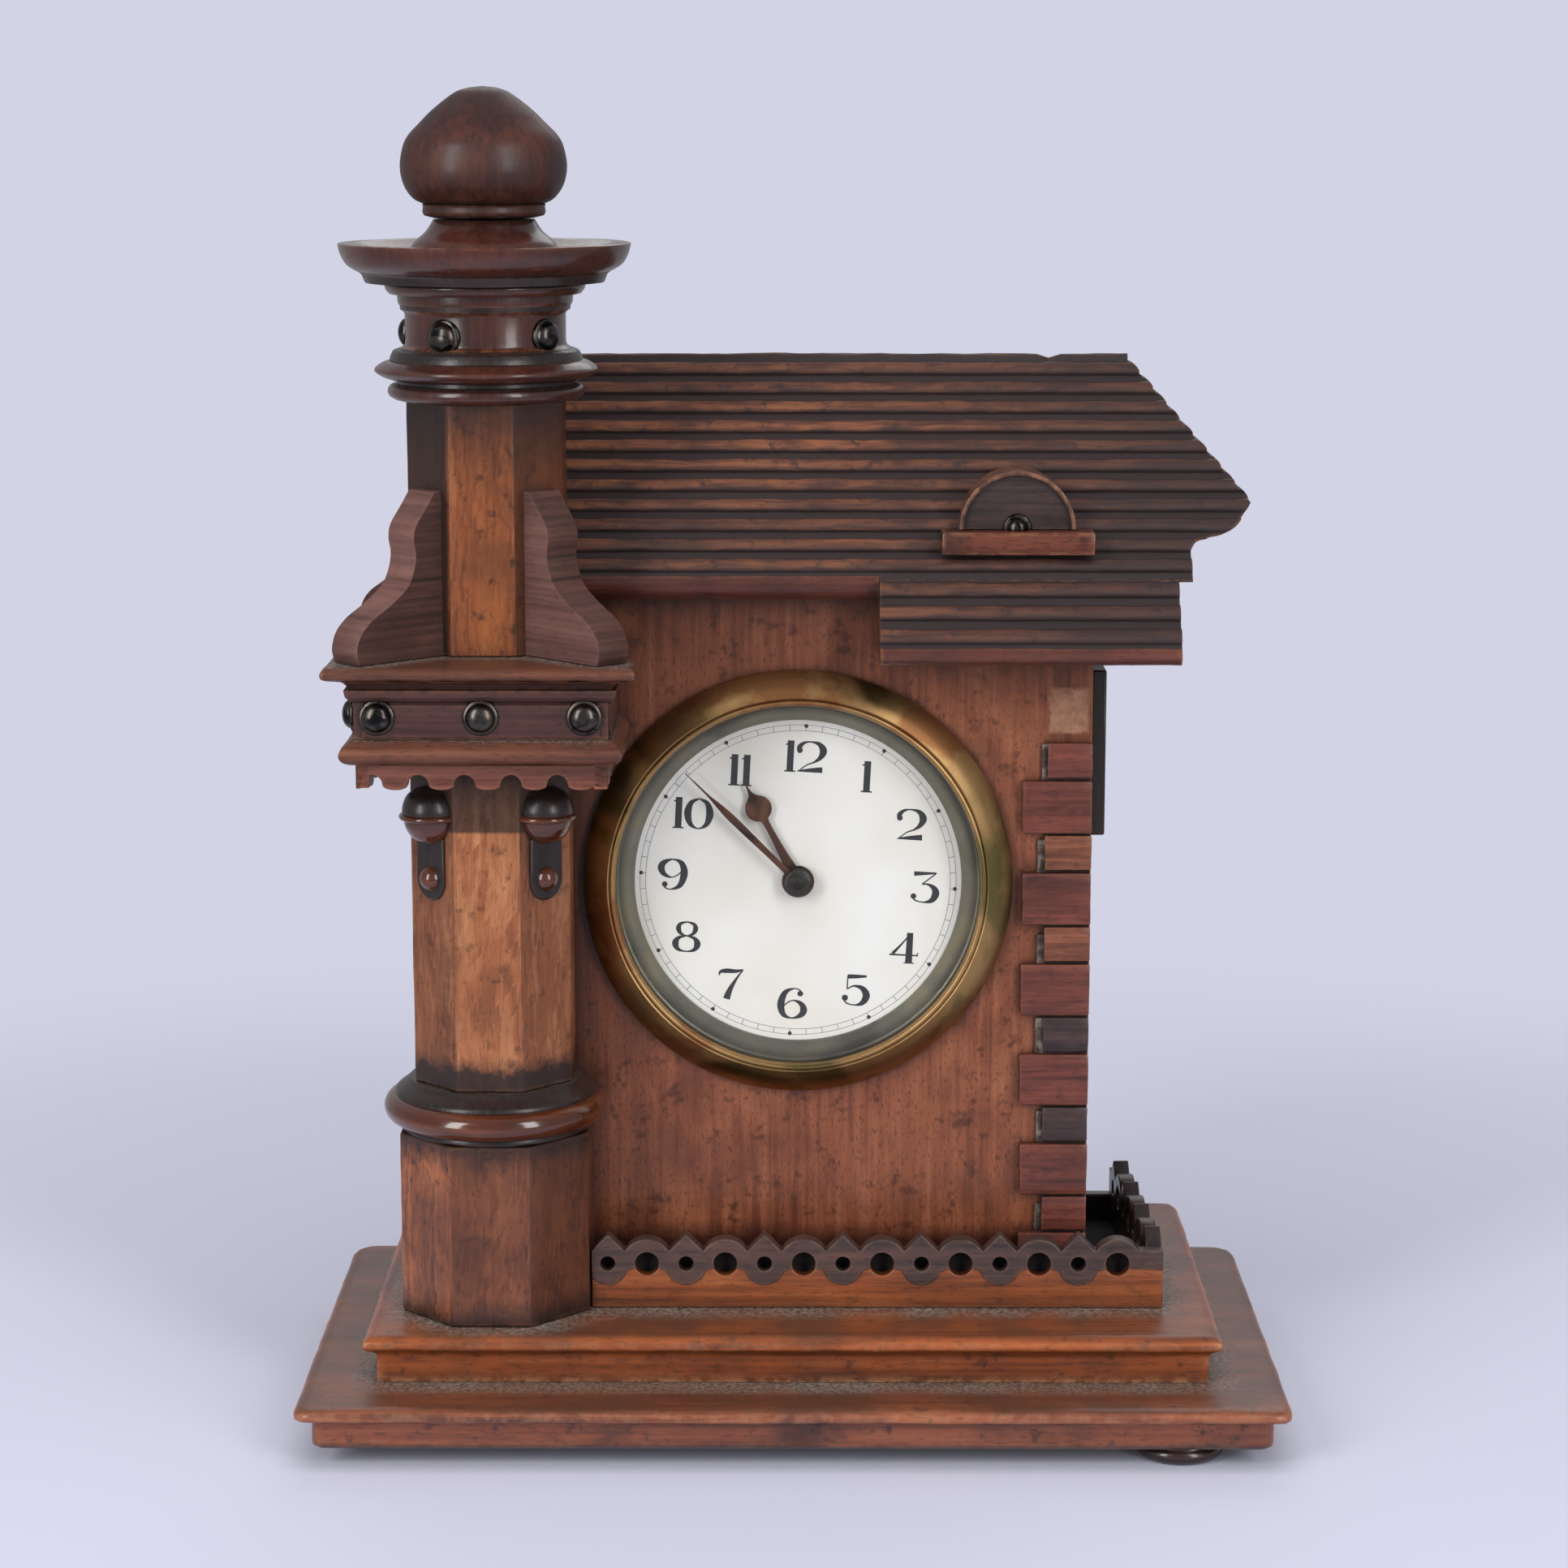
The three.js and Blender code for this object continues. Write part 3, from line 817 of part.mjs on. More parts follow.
// Hands, the wheels behind the dial and the centre arbor with its setting knob
function buildMotionWork() {
  const turned = (points, clockwise) => points.map(([x, y]) => {
    const a = degrees(clockwise);
    return [x * Math.cos(a) + y * Math.sin(a), y * Math.cos(a) - x * Math.sin(a)];
  });
  const pipe = ARBOR_RADIUS + 1.1;
  const hour = HOUR_HAND_LENGTH;
  const eye = hour * 0.74;
  const eyeRadius = 2.8;
  const hourOutline = [...arc(3.4, degrees(105), degrees(435), 18), [0.75, eye - eyeRadius * 0.95],
    ...arc(eyeRadius, degrees(-62), degrees(52), 6, 0, eye), [0.75, eye + eyeRadius * 1.15], [0, hour],
    [-0.75, eye + eyeRadius * 1.15], ...arc(eyeRadius, degrees(128), degrees(242), 6, 0, eye),
    [-0.75, eye - eyeRadius * 0.95]];
  mesh(movement, 'hour_hand', prismXZ(turned(hourOutline, HOUR_HAND_ANGLE), HOUR_HAND_DEPTH,
    HOUR_HAND_DEPTH + HAND_THICK, [circle(pipe + RUN, 16)]), BLUED_STEEL);
  const minute = MINUTE_HAND_LENGTH;
  const minuteOutline = [...arc(2.9, degrees(105), degrees(435), 16), [0.6, minute * 0.3], [0.8, minute * 0.6],
    [0.3, minute * 0.78], [0, minute], [-0.3, minute * 0.78], [-0.8, minute * 0.6], [-0.6, minute * 0.3]];
  mesh(movement, 'minute_hand', prismXZ(turned(minuteOutline, MINUTE_HAND_ANGLE), MINUTE_HAND_DEPTH,
    MINUTE_HAND_DEPTH + HAND_THICK, [circle((ARBOR_RADIUS + RUN) / Math.cos(Math.PI / 12), 12)]), BLUED_STEEL);

  const toMinute = bearing([0, 0], MINUTE_AT);
  const bore = [circle((ARBOR_RADIUS + RUN) / Math.cos(Math.PI / 12), 12)];
  const hourGear = prismXZ(wheelTeeth(HOUR_TEETH, HOUR_MODULE, toMinute), HOUR_LEVEL, HOUR_LEVEL + WHEEL_THICK, bore);
  const hourPipe = prismXZ(circle(pipe, 16), HOUR_HAND_DEPTH, HOUR_LEVEL + 0.5, bore);
  mesh(movement, 'hour_wheel', join(hourGear, hourPipe), BRASS);
  const minuteBore = [circle(0.8 + RUN, 12)];
  const minuteGear = prismXZ(wheelTeeth(MINUTE_TEETH, CANNON_MODULE, bearing(MINUTE_AT, [0, 0])),
    MINUTE_LEVEL, MINUTE_LEVEL + WHEEL_THICK, [...minuteBore, ...crossings(3.4, 7, 4)]);
  const minutePinion = prismXZ(leaves(MINUTE_LEAVES, HOUR_MODULE, meet(MINUTE_AT, [0, 0], MINUTE_LEAVES)),
    HOUR_LEVEL, MINUTE_LEVEL + 0.5, minuteBore);
  mesh(movement, 'minute_wheel', at(join(minuteGear, minutePinion), MINUTE_AT), BRASS);

  const knobEnd = SET_KNOB_DEPTH + SET_KNOB_LENGTH;
  const cannon = prismXZ(leaves(CANNON_LEAVES, CANNON_MODULE, meet([0, 0], MINUTE_AT, CANNON_LEAVES)),
    MINUTE_LEVEL, MINUTE_LEVEL + WHEEL_THICK);
  const stem = disc(ARBOR_RADIUS, MINUTE_HAND_DEPTH - 0.5, knobEnd - 0.6, 12);
  mesh(movement, 'centre_arbor', join(stem, cannon), STEEL);
  const flutes = Array.from({ length: 40 }, (_, i) =>
    polar(SET_KNOB_RADIUS - 0.5 * (i % 2), (2 * Math.PI * i) / 40));
  mesh(movement, 'set_knob', prismXZ(flutes, SET_KNOB_DEPTH, knobEnd, [circle((ARBOR_RADIUS + RUN) / Math.cos(Math.PI / 12), 12)]), BRASS);
}

// The going train from the centre wheel to the escape wheel
function buildTrain() {
  const t = WHEEL_THICK;
  const sleeve = [circle((ARBOR_RADIUS + RUN) / Math.cos(Math.PI / 12), 12)];
  const centreGear = prismXZ(wheelTeeth(CENTRE_TEETH, CENTRE_MODULE, bearing([0, 0], THIRD_AT)),
    CENTRE_LEVEL, CENTRE_LEVEL + t, [...sleeve, ...crossings(3.2, 9.6)]);
  const centrePinion = prismXZ(leaves(CENTRE_LEAVES, BARREL_MODULE, meet([0, 0], BARREL_AT, CENTRE_LEAVES)),
    CENTRE_LEVEL + t - 0.3, BARREL_LEVEL + BARREL_FLOOR + 0.6, sleeve);
  const centreHub = prismXZ(circle(2.4, 16), TRAIN_START + 0.3, CENTRE_LEVEL + 0.4, sleeve);
  mesh(movement, 'centre_wheel', join(centreGear, centrePinion, centreHub), BRASS);

  const thirdGear = prismXZ(wheelTeeth(THIRD_TEETH, THIRD_MODULE, bearing(THIRD_AT, FOURTH_AT)),
    THIRD_LEVEL, THIRD_LEVEL + t, crossings(2.2, 8));
  const thirdPinion = prismXZ(leaves(THIRD_LEAVES, CENTRE_MODULE, meet(THIRD_AT, [0, 0], THIRD_LEAVES)),
    CENTRE_LEVEL - 0.3, CENTRE_LEVEL + t + 0.3);
  mesh(movement, 'third_wheel', at(join(arbor(), thirdGear, thirdPinion), THIRD_AT), BRASS);

  const fourthGear = prismXZ(wheelTeeth(FOURTH_TEETH, FOURTH_MODULE, bearing(FOURTH_AT, ESCAPE_AT)),
    FOURTH_LEVEL, FOURTH_LEVEL + t, crossings(2.2, 7.6));
  const fourthPinion = prismXZ(leaves(FOURTH_LEAVES, THIRD_MODULE, meet(FOURTH_AT, THIRD_AT, FOURTH_LEAVES)),
    THIRD_LEVEL - 0.3, THIRD_LEVEL + t + 0.3);
  mesh(movement, 'fourth_wheel', at(join(arbor(), fourthGear, fourthPinion), FOURTH_AT), BRASS);

  const step = (2 * Math.PI) / ESCAPE_TEETH;
  const clubs = [];
  for (let i = 0; i < ESCAPE_TEETH; i += 1) {
    clubs.push(polar(ESCAPE_RADIUS * 0.74, i * step), polar(ESCAPE_RADIUS, (i + 0.28) * step),
      polar(ESCAPE_RADIUS, (i + 0.42) * step));
  }
  const escapeGear = prismXZ(clubs, ESCAPE_LEVEL, ESCAPE_LEVEL + t, crossings(1.7, 3.2, 3));
  const escapePinion = prismXZ(leaves(ESCAPE_LEAVES, FOURTH_MODULE, meet(ESCAPE_AT, FOURTH_AT, ESCAPE_LEAVES)),
    FOURTH_LEVEL - 0.3, FOURTH_LEVEL + t + 0.3);
  mesh(movement, 'escape_wheel', at(join(arbor(), escapeGear, escapePinion), ESCAPE_AT), BRASS);
}

// A flat spiral strip
function spiral(inner, outer, turns, thick, w0, w1) {
  const steps = Math.round(turns * 10);
  const edge = (offset) => Array.from({ length: steps + 1 }, (_, i) =>
    polar(inner + ((outer - inner) * i) / steps + offset, (2 * Math.PI * turns * i) / steps));
  return prismXZ([...edge(-thick / 2), ...edge(thick / 2).reverse()], w0, w1);
}

const BARREL_DRUM = (BARREL_MODULE * BARREL_TEETH) / 2 - 1.4;
const CLICK_AT = polar(RATCHET_RADIUS + 3.6, degrees(200), ...BARREL_AT);

// Mainspring barrel, its winding arbor, ratchet, click and key
function buildPower() {
  const end = BARREL_LEVEL + BARREL_LENGTH;
  const floor = BARREL_LEVEL + BARREL_FLOOR;
  const boreRadius = 1.5 + RUN;
  const toCentre = bearing(BARREL_AT, [0, 0]);
  const toothed = prismXZ(wheelTeeth(BARREL_TEETH, BARREL_MODULE, toCentre), BARREL_LEVEL, floor,
    [circle(boreRadius, 16)]);
  const wall = prismXZ(circle(BARREL_DRUM, 30), floor - 0.4, end, [circle(BARREL_DRUM - 1, 30)]);
  mesh(movement, 'barrel', at(join(toothed, wall), BARREL_AT), BRASS);
  mesh(movement, 'mainspring', at(spiral(4.4, BARREL_DRUM - 1.7, 4, 0.45, floor + 0.4, end - 0.5), BARREL_AT), STEEL);

  const shaftProfile = [[0, FRONT_PLATE_DEPTH + 0.2], [1, FRONT_PLATE_DEPTH + 0.2], [1, TRAIN_START + 0.3],
    [1.5, TRAIN_START + 0.3], [1.5, floor + 0.3], [3.6, floor + 0.3], [3.6, end - 0.5], [1.5, end - 0.5],
    [1.5, KEY_DEPTH + 3], [0, KEY_DEPTH + 3]];
  mesh(movement, 'winding_arbor', at(turnedY(shaftProfile, 12), BARREL_AT), STEEL);
  const step = (2 * Math.PI) / RATCHET_TEETH;
  const saw = [];
  for (let i = 0; i < RATCHET_TEETH; i += 1) {
    saw.push(polar(RATCHET_RADIUS * 0.87, i * step), polar(RATCHET_RADIUS, (i + 0.86) * step));
  }
  const arborHole = [circle(boreRadius, 16)];
  mesh(movement, 'ratchet_wheel', at(prismXZ(saw, RATCHET_LEVEL, RATCHET_LEVEL + WHEEL_THICK, arborHole), BARREL_AT),
    STEEL);
  const toRatchet = bearing(CLICK_AT, BARREL_AT);
  const nose = 3.6 - 0.25;
  const beak = [...arc(1.7, toRatchet + degrees(75), toRatchet + degrees(285), 8), polar(nose, toRatchet - degrees(20)),
    polar(nose, toRatchet - degrees(4))];
  mesh(movement, 'click', at(prismXZ(beak, RATCHET_LEVEL, RATCHET_LEVEL + WHEEL_THICK, [circle(0.7 + RUN, 12)]),
    CLICK_AT), STEEL);

  const shank = prismXZ(circle(2.9, 16), KEY_DEPTH, KEY_DEPTH + KEY_SHANK);
  const socket = disc(boreRadius, KEY_DEPTH - 1, KEY_DEPTH + 3.2, 16);
  const wing = (side) => prismXZ([[0, -0.9], [0, 0.9], [side * KEY_WING, 0.9], [side * KEY_WING, -0.9]],
    KEY_DEPTH + KEY_SHANK - 5.5, KEY_DEPTH + KEY_SHANK + 3.5);
  const eye = (side) => prismXY(circle(1.7, 12, side * (KEY_WING - 3.4), KEY_DEPTH + KEY_SHANK - 1), -2, 2);
  mesh(movement, 'winding_key', at(cut(join(shank, wing(1), wing(-1)), socket, eye(1), eye(-1)), BARREL_AT),
    BRASS);
}

// Balance, hairspring, pallet lever and regulator
function buildEscapement() {
  const t = WHEEL_THICK;
  const rim = prismXZ(circle(BALANCE_RADIUS, 24), BALANCE_LEVEL, BALANCE_LEVEL + t, [circle(BALANCE_RADIUS - 1.1, 24)]);
  const arm = BALANCE_RADIUS - 0.5;
  const arms = prismXZ(rectangle(-arm, arm, -0.7, 0.7), BALANCE_LEVEL + 0.2, BALANCE_LEVEL + t - 0.2);
  const roller = disc(1.8, ESCAPE_LEVEL + t + 0.2, ESCAPE_LEVEL + t + 0.9, 14);
  const pin = at(disc(0.3, ESCAPE_LEVEL, ESCAPE_LEVEL + t + 0.5, 8), polar(1.4, bearing(BALANCE_AT, LEVER_AT)));
  const hub = disc(1.3, BALANCE_LEVEL, BALANCE_LEVEL + t, 14);
  mesh(movement, 'balance_wheel', at(join(arbor(), rim, arms, hub, roller, pin), BALANCE_AT), BRASS);
  const coilLevel = BALANCE_LEVEL + t + 0.7;
  mesh(movement, 'hairspring', at(spiral(THIN_ARBOR + 0.35, 5, 4, 0.25, coilLevel, coilLevel + 0.5), BALANCE_AT),
    BLUED_STEEL);

  const toEscape = bearing(LEVER_AT, ESCAPE_AT);
  const toBalance = bearing(LEVER_AT, BALANCE_AT);
  const anchor = prismXZ([polar(1.2, toEscape), polar(5, toEscape + degrees(82)), polar(5.2, toEscape + degrees(94)),
    polar(1.2, toEscape + degrees(150)), polar(1.2, toEscape - degrees(150)), polar(5.2, toEscape - degrees(94)),
    polar(5, toEscape - degrees(82))], ESCAPE_LEVEL, ESCAPE_LEVEL + t);
  const fork = prismXZ([polar(0.8, toBalance + degrees(90)), polar(0.8, toBalance - degrees(90)),
    polar(6, toBalance - degrees(6)), polar(6, toBalance + degrees(6))], ESCAPE_LEVEL, ESCAPE_LEVEL + t);
  mesh(movement, 'pallet_lever', at(join(arbor(), anchor, fork), LEVER_AT), STEEL);

  const index = BACK_PLATE_DEPTH + PLATE_THICK + SEAT;
  const pointer = [...arc(2.6, degrees(105), degrees(435), 14), [0.4, 9.5], [-0.4, 9.5]];
  mesh(movement, 'regulator', at(prismXZ(pointer, index, index + 0.7, [circle(1.3, 12)]), BALANCE_AT), STEEL);
}

buildBase();
buildWalls();
buildRoof();
buildTurret();
buildGallery();
buildCase();
buildPlates();
buildMotionWork();
buildTrain();
buildPower();
buildEscapement();

export default clock;
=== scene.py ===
"""Carved mantel clock with a corner turret: the visual model, built round its CAD frame."""

from __future__ import annotations

import logging
import math
from dataclasses import dataclass, field
from enum import Enum
from functools import partial
from typing import Callable, Iterator, Sequence

import bmesh
import bpy
from mathutils import Matrix, Vector, noise

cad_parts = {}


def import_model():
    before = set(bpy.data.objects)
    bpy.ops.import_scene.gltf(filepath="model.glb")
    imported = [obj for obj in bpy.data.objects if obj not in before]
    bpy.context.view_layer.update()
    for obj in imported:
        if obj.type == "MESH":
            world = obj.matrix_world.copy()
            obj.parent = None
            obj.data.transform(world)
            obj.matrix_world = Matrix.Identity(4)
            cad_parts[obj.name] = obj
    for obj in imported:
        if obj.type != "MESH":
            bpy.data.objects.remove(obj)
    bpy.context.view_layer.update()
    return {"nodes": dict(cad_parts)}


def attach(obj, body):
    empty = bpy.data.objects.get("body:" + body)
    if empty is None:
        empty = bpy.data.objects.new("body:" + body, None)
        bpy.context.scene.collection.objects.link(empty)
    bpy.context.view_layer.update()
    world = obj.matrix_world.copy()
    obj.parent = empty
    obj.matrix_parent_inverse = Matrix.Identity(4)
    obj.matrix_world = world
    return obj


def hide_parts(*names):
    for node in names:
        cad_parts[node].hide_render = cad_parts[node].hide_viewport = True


LOG = logging.getLogger("mantel_clock")
CASE = "clock_case"
MM = 0.001
BROAD = 30.0  # faces over this many square millimetres are shaded flat
WELD = 1e-6  # corners closer than this, in metres, are one
THIN = 0.01  # the radius that a turned form keeps at its axis, in millimetres
SLICE = 2.5  # how far apart a long mesh is cut across, in millimetres
THOUSAND = 1000.0  # what the figures' strokes are measured in
LEAF_JUMP = (37.0, 0.0, 59.0)  # how far off in the plank the second leaf of veneer was cut, in millimetres
FACET_JUMP = 61.0  # how far off in the plank each planed face was cut, in millimetres

Flat = tuple[float, float]
Spot = tuple[float, float, float]
Colour = tuple[float, float, float, float]
Mesh, Object, Material = bpy.types.Mesh, bpy.types.Object, bpy.types.Material
Tree, Node, Socket = bpy.types.NodeTree, bpy.types.Node, bpy.types.NodeSocket
Adder = Callable[..., Socket]

NOISE, MAPPING, RANGE = "ShaderNodeTexNoise", "ShaderNodeMapping", "ShaderNodeMapRange"
MATH, VECTOR, SPLIT = "ShaderNodeMath", "ShaderNodeVectorMath", "ShaderNodeSeparateXYZ"
MIX, RAMP, BUMP = "ShaderNodeMix", "ShaderNodeValToRGB", "ShaderNodeBump"
OCCLUSION, GEOMETRY, RAYS = "ShaderNodeAmbientOcclusion", "ShaderNodeNewGeometry", "ShaderNodeLightPath"
BLEND, CLEAR, GLOW = "ShaderNodeMixShader", "ShaderNodeBsdfTransparent", "ShaderNodeBackground"


class Axis(Enum):
    """The way a board's grain runs, or a dark band fades."""

    X = 0
    Y = 1
    Z = 2


class Way(Enum):
    """The two ways across a turned form and the way along its axis."""

    UPRIGHT = ((1.0, 0.0, 0.0), (0.0, 1.0, 0.0), (0.0, 0.0, 1.0))
    FRONT = ((1.0, 0.0, 0.0), (0.0, 0.0, 1.0), (0.0, 1.0, 0.0))


class Crease(Enum):
    """The angle in degrees over which an edge stays sharp."""

    PLANED = 20.0
    TURNED = 30.0
    ONION = 32.0
    USUAL = 34.0
    BLOCK = 40.0
    MOULDED = 50.0
    STUD = 60.0


class Edge(Enum):
    """Where a pattern starts to show, and where it is full."""

    PORE = (0.56, 0.68)
    BLOTCH = (0.5, 0.72)
    SPOT = (0.57, 0.68)
    GROOVE = (0.74, 0.44)
    DIRT = (0.86, 0.3)
    RUB = (0.8, 0.42)
    BREAK = (0.43, 0.58)
    LEVEL = (0.7, 0.97)
    SETTLED = (0.3, 0.62)
    NOOK = (0.985, 0.7)
    FIBRE = (0.3, 0.7)
    TARNISH = (0.35, 0.65)
    JOINT = (0.8, 0.25)
    SMEAR = (0.4, 0.7)


class Slot(Enum):
    """The record's material slots."""

    WALNUT = "stained_walnut"
    DARK = "dark_walnut"
    EBONISED = "ebonised_wood"
    BRASS = "aged_brass"
    BLUED = "blued_steel"
    PAPER = "dial_paper"
    GLASS = "glass"


def linear(code: str) -> Colour:
    """Turns an sRGB hex colour to linear.

    Args:
        code: a colour such as #7a4528.

    Returns:
        Linear red, green, blue and full alpha.
    """
    channels = [int(code[i : i + 2], 16) / 255 for i in (1, 3, 5)]
    red, green, blue = (c / 12.92 if c <= 0.04045 else ((c + 0.055) / 1.055) ** 2.4 for c in channels)
    return red, green, blue, 1.0


def feed(tree: Tree, node: Node, inputs: dict | Sequence) -> None:
    """Sets or links a node's inputs.

    Args:
        tree: the node's tree.
        node: the node.
        inputs: a value, or the output that feeds it, for each socket by name or number, or in order.
    """
    for key, value in inputs.items() if isinstance(inputs, dict) else enumerate(inputs):
        if isinstance(value, Socket):
            tree.links.new(value, node.inputs[key])
        else:
            node.inputs[key].default_value = value


def add_node(
    tree: Tree,
    kind: str,
    inputs: dict | Sequence = (),
    stops: Sequence[tuple[float, str]] = (),
    out: int | str = 0,
    **settings: object,
) -> Socket:
    """Adds one shader node with its settings, values and links.

    Args:
        tree: the material's or world's node tree.
        kind: the node's type.
        inputs: what feed() takes.
        stops: places and hex colours of a colour ramp.
        out: the output that is wanted.
        settings: properties of the node itself.

    Returns:
        That output of the new node.
    """
    node = tree.nodes.new(kind)
    for key, value in settings.items():
        setattr(node, key, value)
    if stops:
        ramp = node.color_ramp.elements
        for element, (at, code) in ((ramp[0], stops[0]), (ramp[1], stops[-1])):
            element.position, element.color = at, linear(code)
        for at, code in stops[1:-1]:
            ramp.new(at).color = linear(code)
    feed(tree, node, inputs)
    return node.outputs[out]


@dataclass(frozen=True)
class Finish:
    """A surface finish, named for the real material and how it was made."""

    name: str

    def material(self) -> Material:
        """Makes the Blender material.

        Returns:
            A material whose shader the finish has dressed.
        """
        made = bpy.data.materials.new(self.name)
        made.use_nodes = True
        tree = made.node_tree
        shader = tree.nodes["Principled BSDF"]
        add = partial(add_node, tree)
        place = add("ShaderNodeTexCoord", out="Object")
        mm = add(VECTOR, {0: place, "Scale": 1 / MM}, operation="SCALE")
        feed(tree, shader, self.shade(add, mm))
        opening = self.opening(add, mm)
        if opening is not None:
            both = add(BLEND, (opening, shader.outputs[0], add(CLEAR)))
            feed(tree, tree.nodes["Material Output"], {"Surface": both})
        return made

    def shade(self, add: Adder, mm: Socket) -> dict:
        """What feeds each socket of the shader, from a node adder and the place in millimetres."""
        raise NotImplementedError

    def opening(self, add: Adder, mm: Socket) -> Socket | None:
        """How far the finish lets light straight through, if it does."""
        return None


@dataclass(frozen=True)
class Stain:
    """A darkening that fades along one axis, with a ragged edge, in millimetres: some are stained patches and
    some are painted shade.
    """

    axis: Axis
    dark_at: float
    clear_at: float
    strength: float
    ragged: float = 4.0


@dataclass(frozen=True)
class StainedWood(Finish):
    """Stained and waxed walnut: fibres, broad figure, short dark pores, worn edges, corners darkened as soiling
    and painted shade, and dust.
    """

    base: str
    light: str
    dark: str
    soot: str = "#1c1413"
    worn: str = "#a2683c"
    grain: Axis = Axis.Z
    fibre: Flat = (46.0, 1.1)
    figure: Flat = (70.0, 8.5)
    pore: Flat = (3.2, 0.55)
    pores: float = 0.5
    blotch: float = 0.4
    wear: float = 0.5
    wear_width: float = 1.1
    grime: float = 0.8
    grime_reach: float = 5.0
    dust: float = 0.0
    roughness: float = 0.4
    coat: float = 0.25
    leaf: float | None = None
    bare: tuple[float, float, float, float] | None = None
    gloss: float = 0.2
    spots: float = 0.3
    facets: Spot | None = None
    relief: bool = False
    level: bool = False
    stains: tuple[Stain, ...] = ()

    def stretch(self, size: Flat) -> Spot:
        """Scales a pattern to the grain.

        Args:
            size: how long it is along the grain and how wide across it, in millimetres.

        Returns:
            The scale along each axis.
        """
        scales = [1 / size[1]] * 3
        for axis in (Axis.X, Axis.Y) if self.level else (self.grain,):
            scales[axis.value] = 1 / size[0]
        return scales[0], scales[1], scales[2]

    def cut(self, add: Adder, mm: Socket) -> Socket:
        """Works out where in the plank each spot was cut.

        Args:
            add: adds a node to the material.
            mm: the place in millimetres.

        Returns:
            The place that the grain is read from.
        """
        jumps = []
        if self.leaf is not None:
            # Two leaves of veneer meet on a line, each with a figure of its own.
            side = add(MATH, (add(SPLIT, (mm,)), self.leaf), operation="GREATER_THAN")
            jumps.append({0: LEAF_JUMP, "Scale": side})
        if self.facets is not None:
            # Each flat face shows a figure of its own.
            jumps.append({0: add(GEOMETRY, out="True Normal"), "Scale": FACET_JUMP})
        for jump in jumps:
            mm = add(VECTOR, (mm, add(VECTOR, jump, operation="SCALE")), operation="ADD")
        return mm

    def shade(self, add: Adder, mm: Socket) -> dict:
        """Lays grain, dark bands, wear, soiling, painted shade and dust over each other.

        Args:
            add: adds a node to the material.
            mm: the place in millimetres.

        Returns:
            What feeds each socket of the shader.
        """
        parts = add(SPLIT, (mm,)).node.outputs
        cut = self.cut(add, mm)
        fibre, figure, pore = (
            add(NOISE, {"Vector": add(MAPPING, {0: cut, "Scale": self.stretch(size)}), "Scale": 1.0,
                        "Detail": detail, "Distortion": bend})
            for size, detail, bend in ((self.fibre, 5.0, 0.3), (self.figure, 3.0, 0.9), (self.pore, 2.0, 0.2))
        )
        cloud, fleck, speck = (
            add(NOISE, {"Vector": mm, "Scale": 1 / size, "Detail": detail, "Roughness": broken})
            for size, detail, broken in ((16.0, 5.0, 0.5), (3.4, 4.0, 0.65), (0.9, 3.0, 0.7))
        )
        dark, soot = linear(self.dark), linear(self.soot)
        tone = add(MIX, {0: 0.45, 2: figure, 3: fibre})
        colour = add(RAMP, (tone,), stops=((0.32, self.dark), (0.5, self.base), (0.68, self.light)))
        pitted = add(RANGE, (pore, *Edge.PORE.value, 0.0, self.pores))
        layers: list[tuple[Socket, Socket | Colour]] = [
            (pitted, dark),
            (add(RANGE, (cloud, *Edge.BLOTCH.value, 0.0, self.blotch)), dark),
            (add(RANGE, (fleck, *Edge.SPOT.value, 0.0, self.spots)), soot),
        ]
        # Painted shade: faces turned left, to the front and to the right are darkened by the given amounts.
        if self.facets is not None:
            across = add(SPLIT, (add(GEOMETRY, out="True Normal"),))
            away = add(MATH, (across,), operation="ABSOLUTE")
            left, front, right = self.facets
            rows = ((across, -0.44, -0.5, left), (away, 0.36, 0.3, front), (across, 0.44, 0.5, right))
            for turned, clear, full, depth in rows:
                layers.append((add(RANGE, (turned, clear, full, 0.0, depth)), dark))
        if self.relief:
            # Rubbed rib crests stay brown and the grooves between them are darkened nearly black, as soiling
            # and painted shade.
            crest = add("ShaderNodeAttribute", out="Fac", attribute_name="crest")
            groove = add(MIX, {0: 0.5, 2: crest, 3: figure})
            layers.append((add(RANGE, (groove, *Edge.GROOVE.value, 0.0, 0.95)), soot))
        if self.bare is not None:
            # A patch where a block came off: raw wood with a torn edge.
            x0, x1, z0, z1 = self.bare
            ragged, soft = 3.0, 0.8
            mask: Socket | float = 1.0
            for part, edge, step in ((0, x0, soft), (0, x1, -soft), (2, z0, soft), (2, z1, -soft)):
                jagged = add(MATH, (fleck, ragged, parts[part]), operation="MULTIPLY_ADD")
                shown = add(RANGE, (jagged, edge + ragged / 2, edge + ragged / 2 + step))
                mask = add(MATH, (mask, shown), operation="MULTIPLY")
            layers.append((mask, add(RAMP, (fleck,), stops=((0.35, "#754a33"), (0.62, "#a0735a")))))
        torn = add(MATH, (add(MIX, {0: 0.6, 2: cloud, 3: fleck}), 0.5), operation="SUBTRACT")
        # Each band darkens towards the darkest colour; the veneer's bands and the turned parts' band are
        # painted shade, the others stained patches.
        for band in self.stains:
            moved = add(MATH, (torn, 3 * band.ragged, parts[band.axis.value]), operation="MULTIPLY_ADD")
            layers.append((add(RANGE, (moved, band.clear_at, band.dark_at, 0.0, band.strength)), soot))
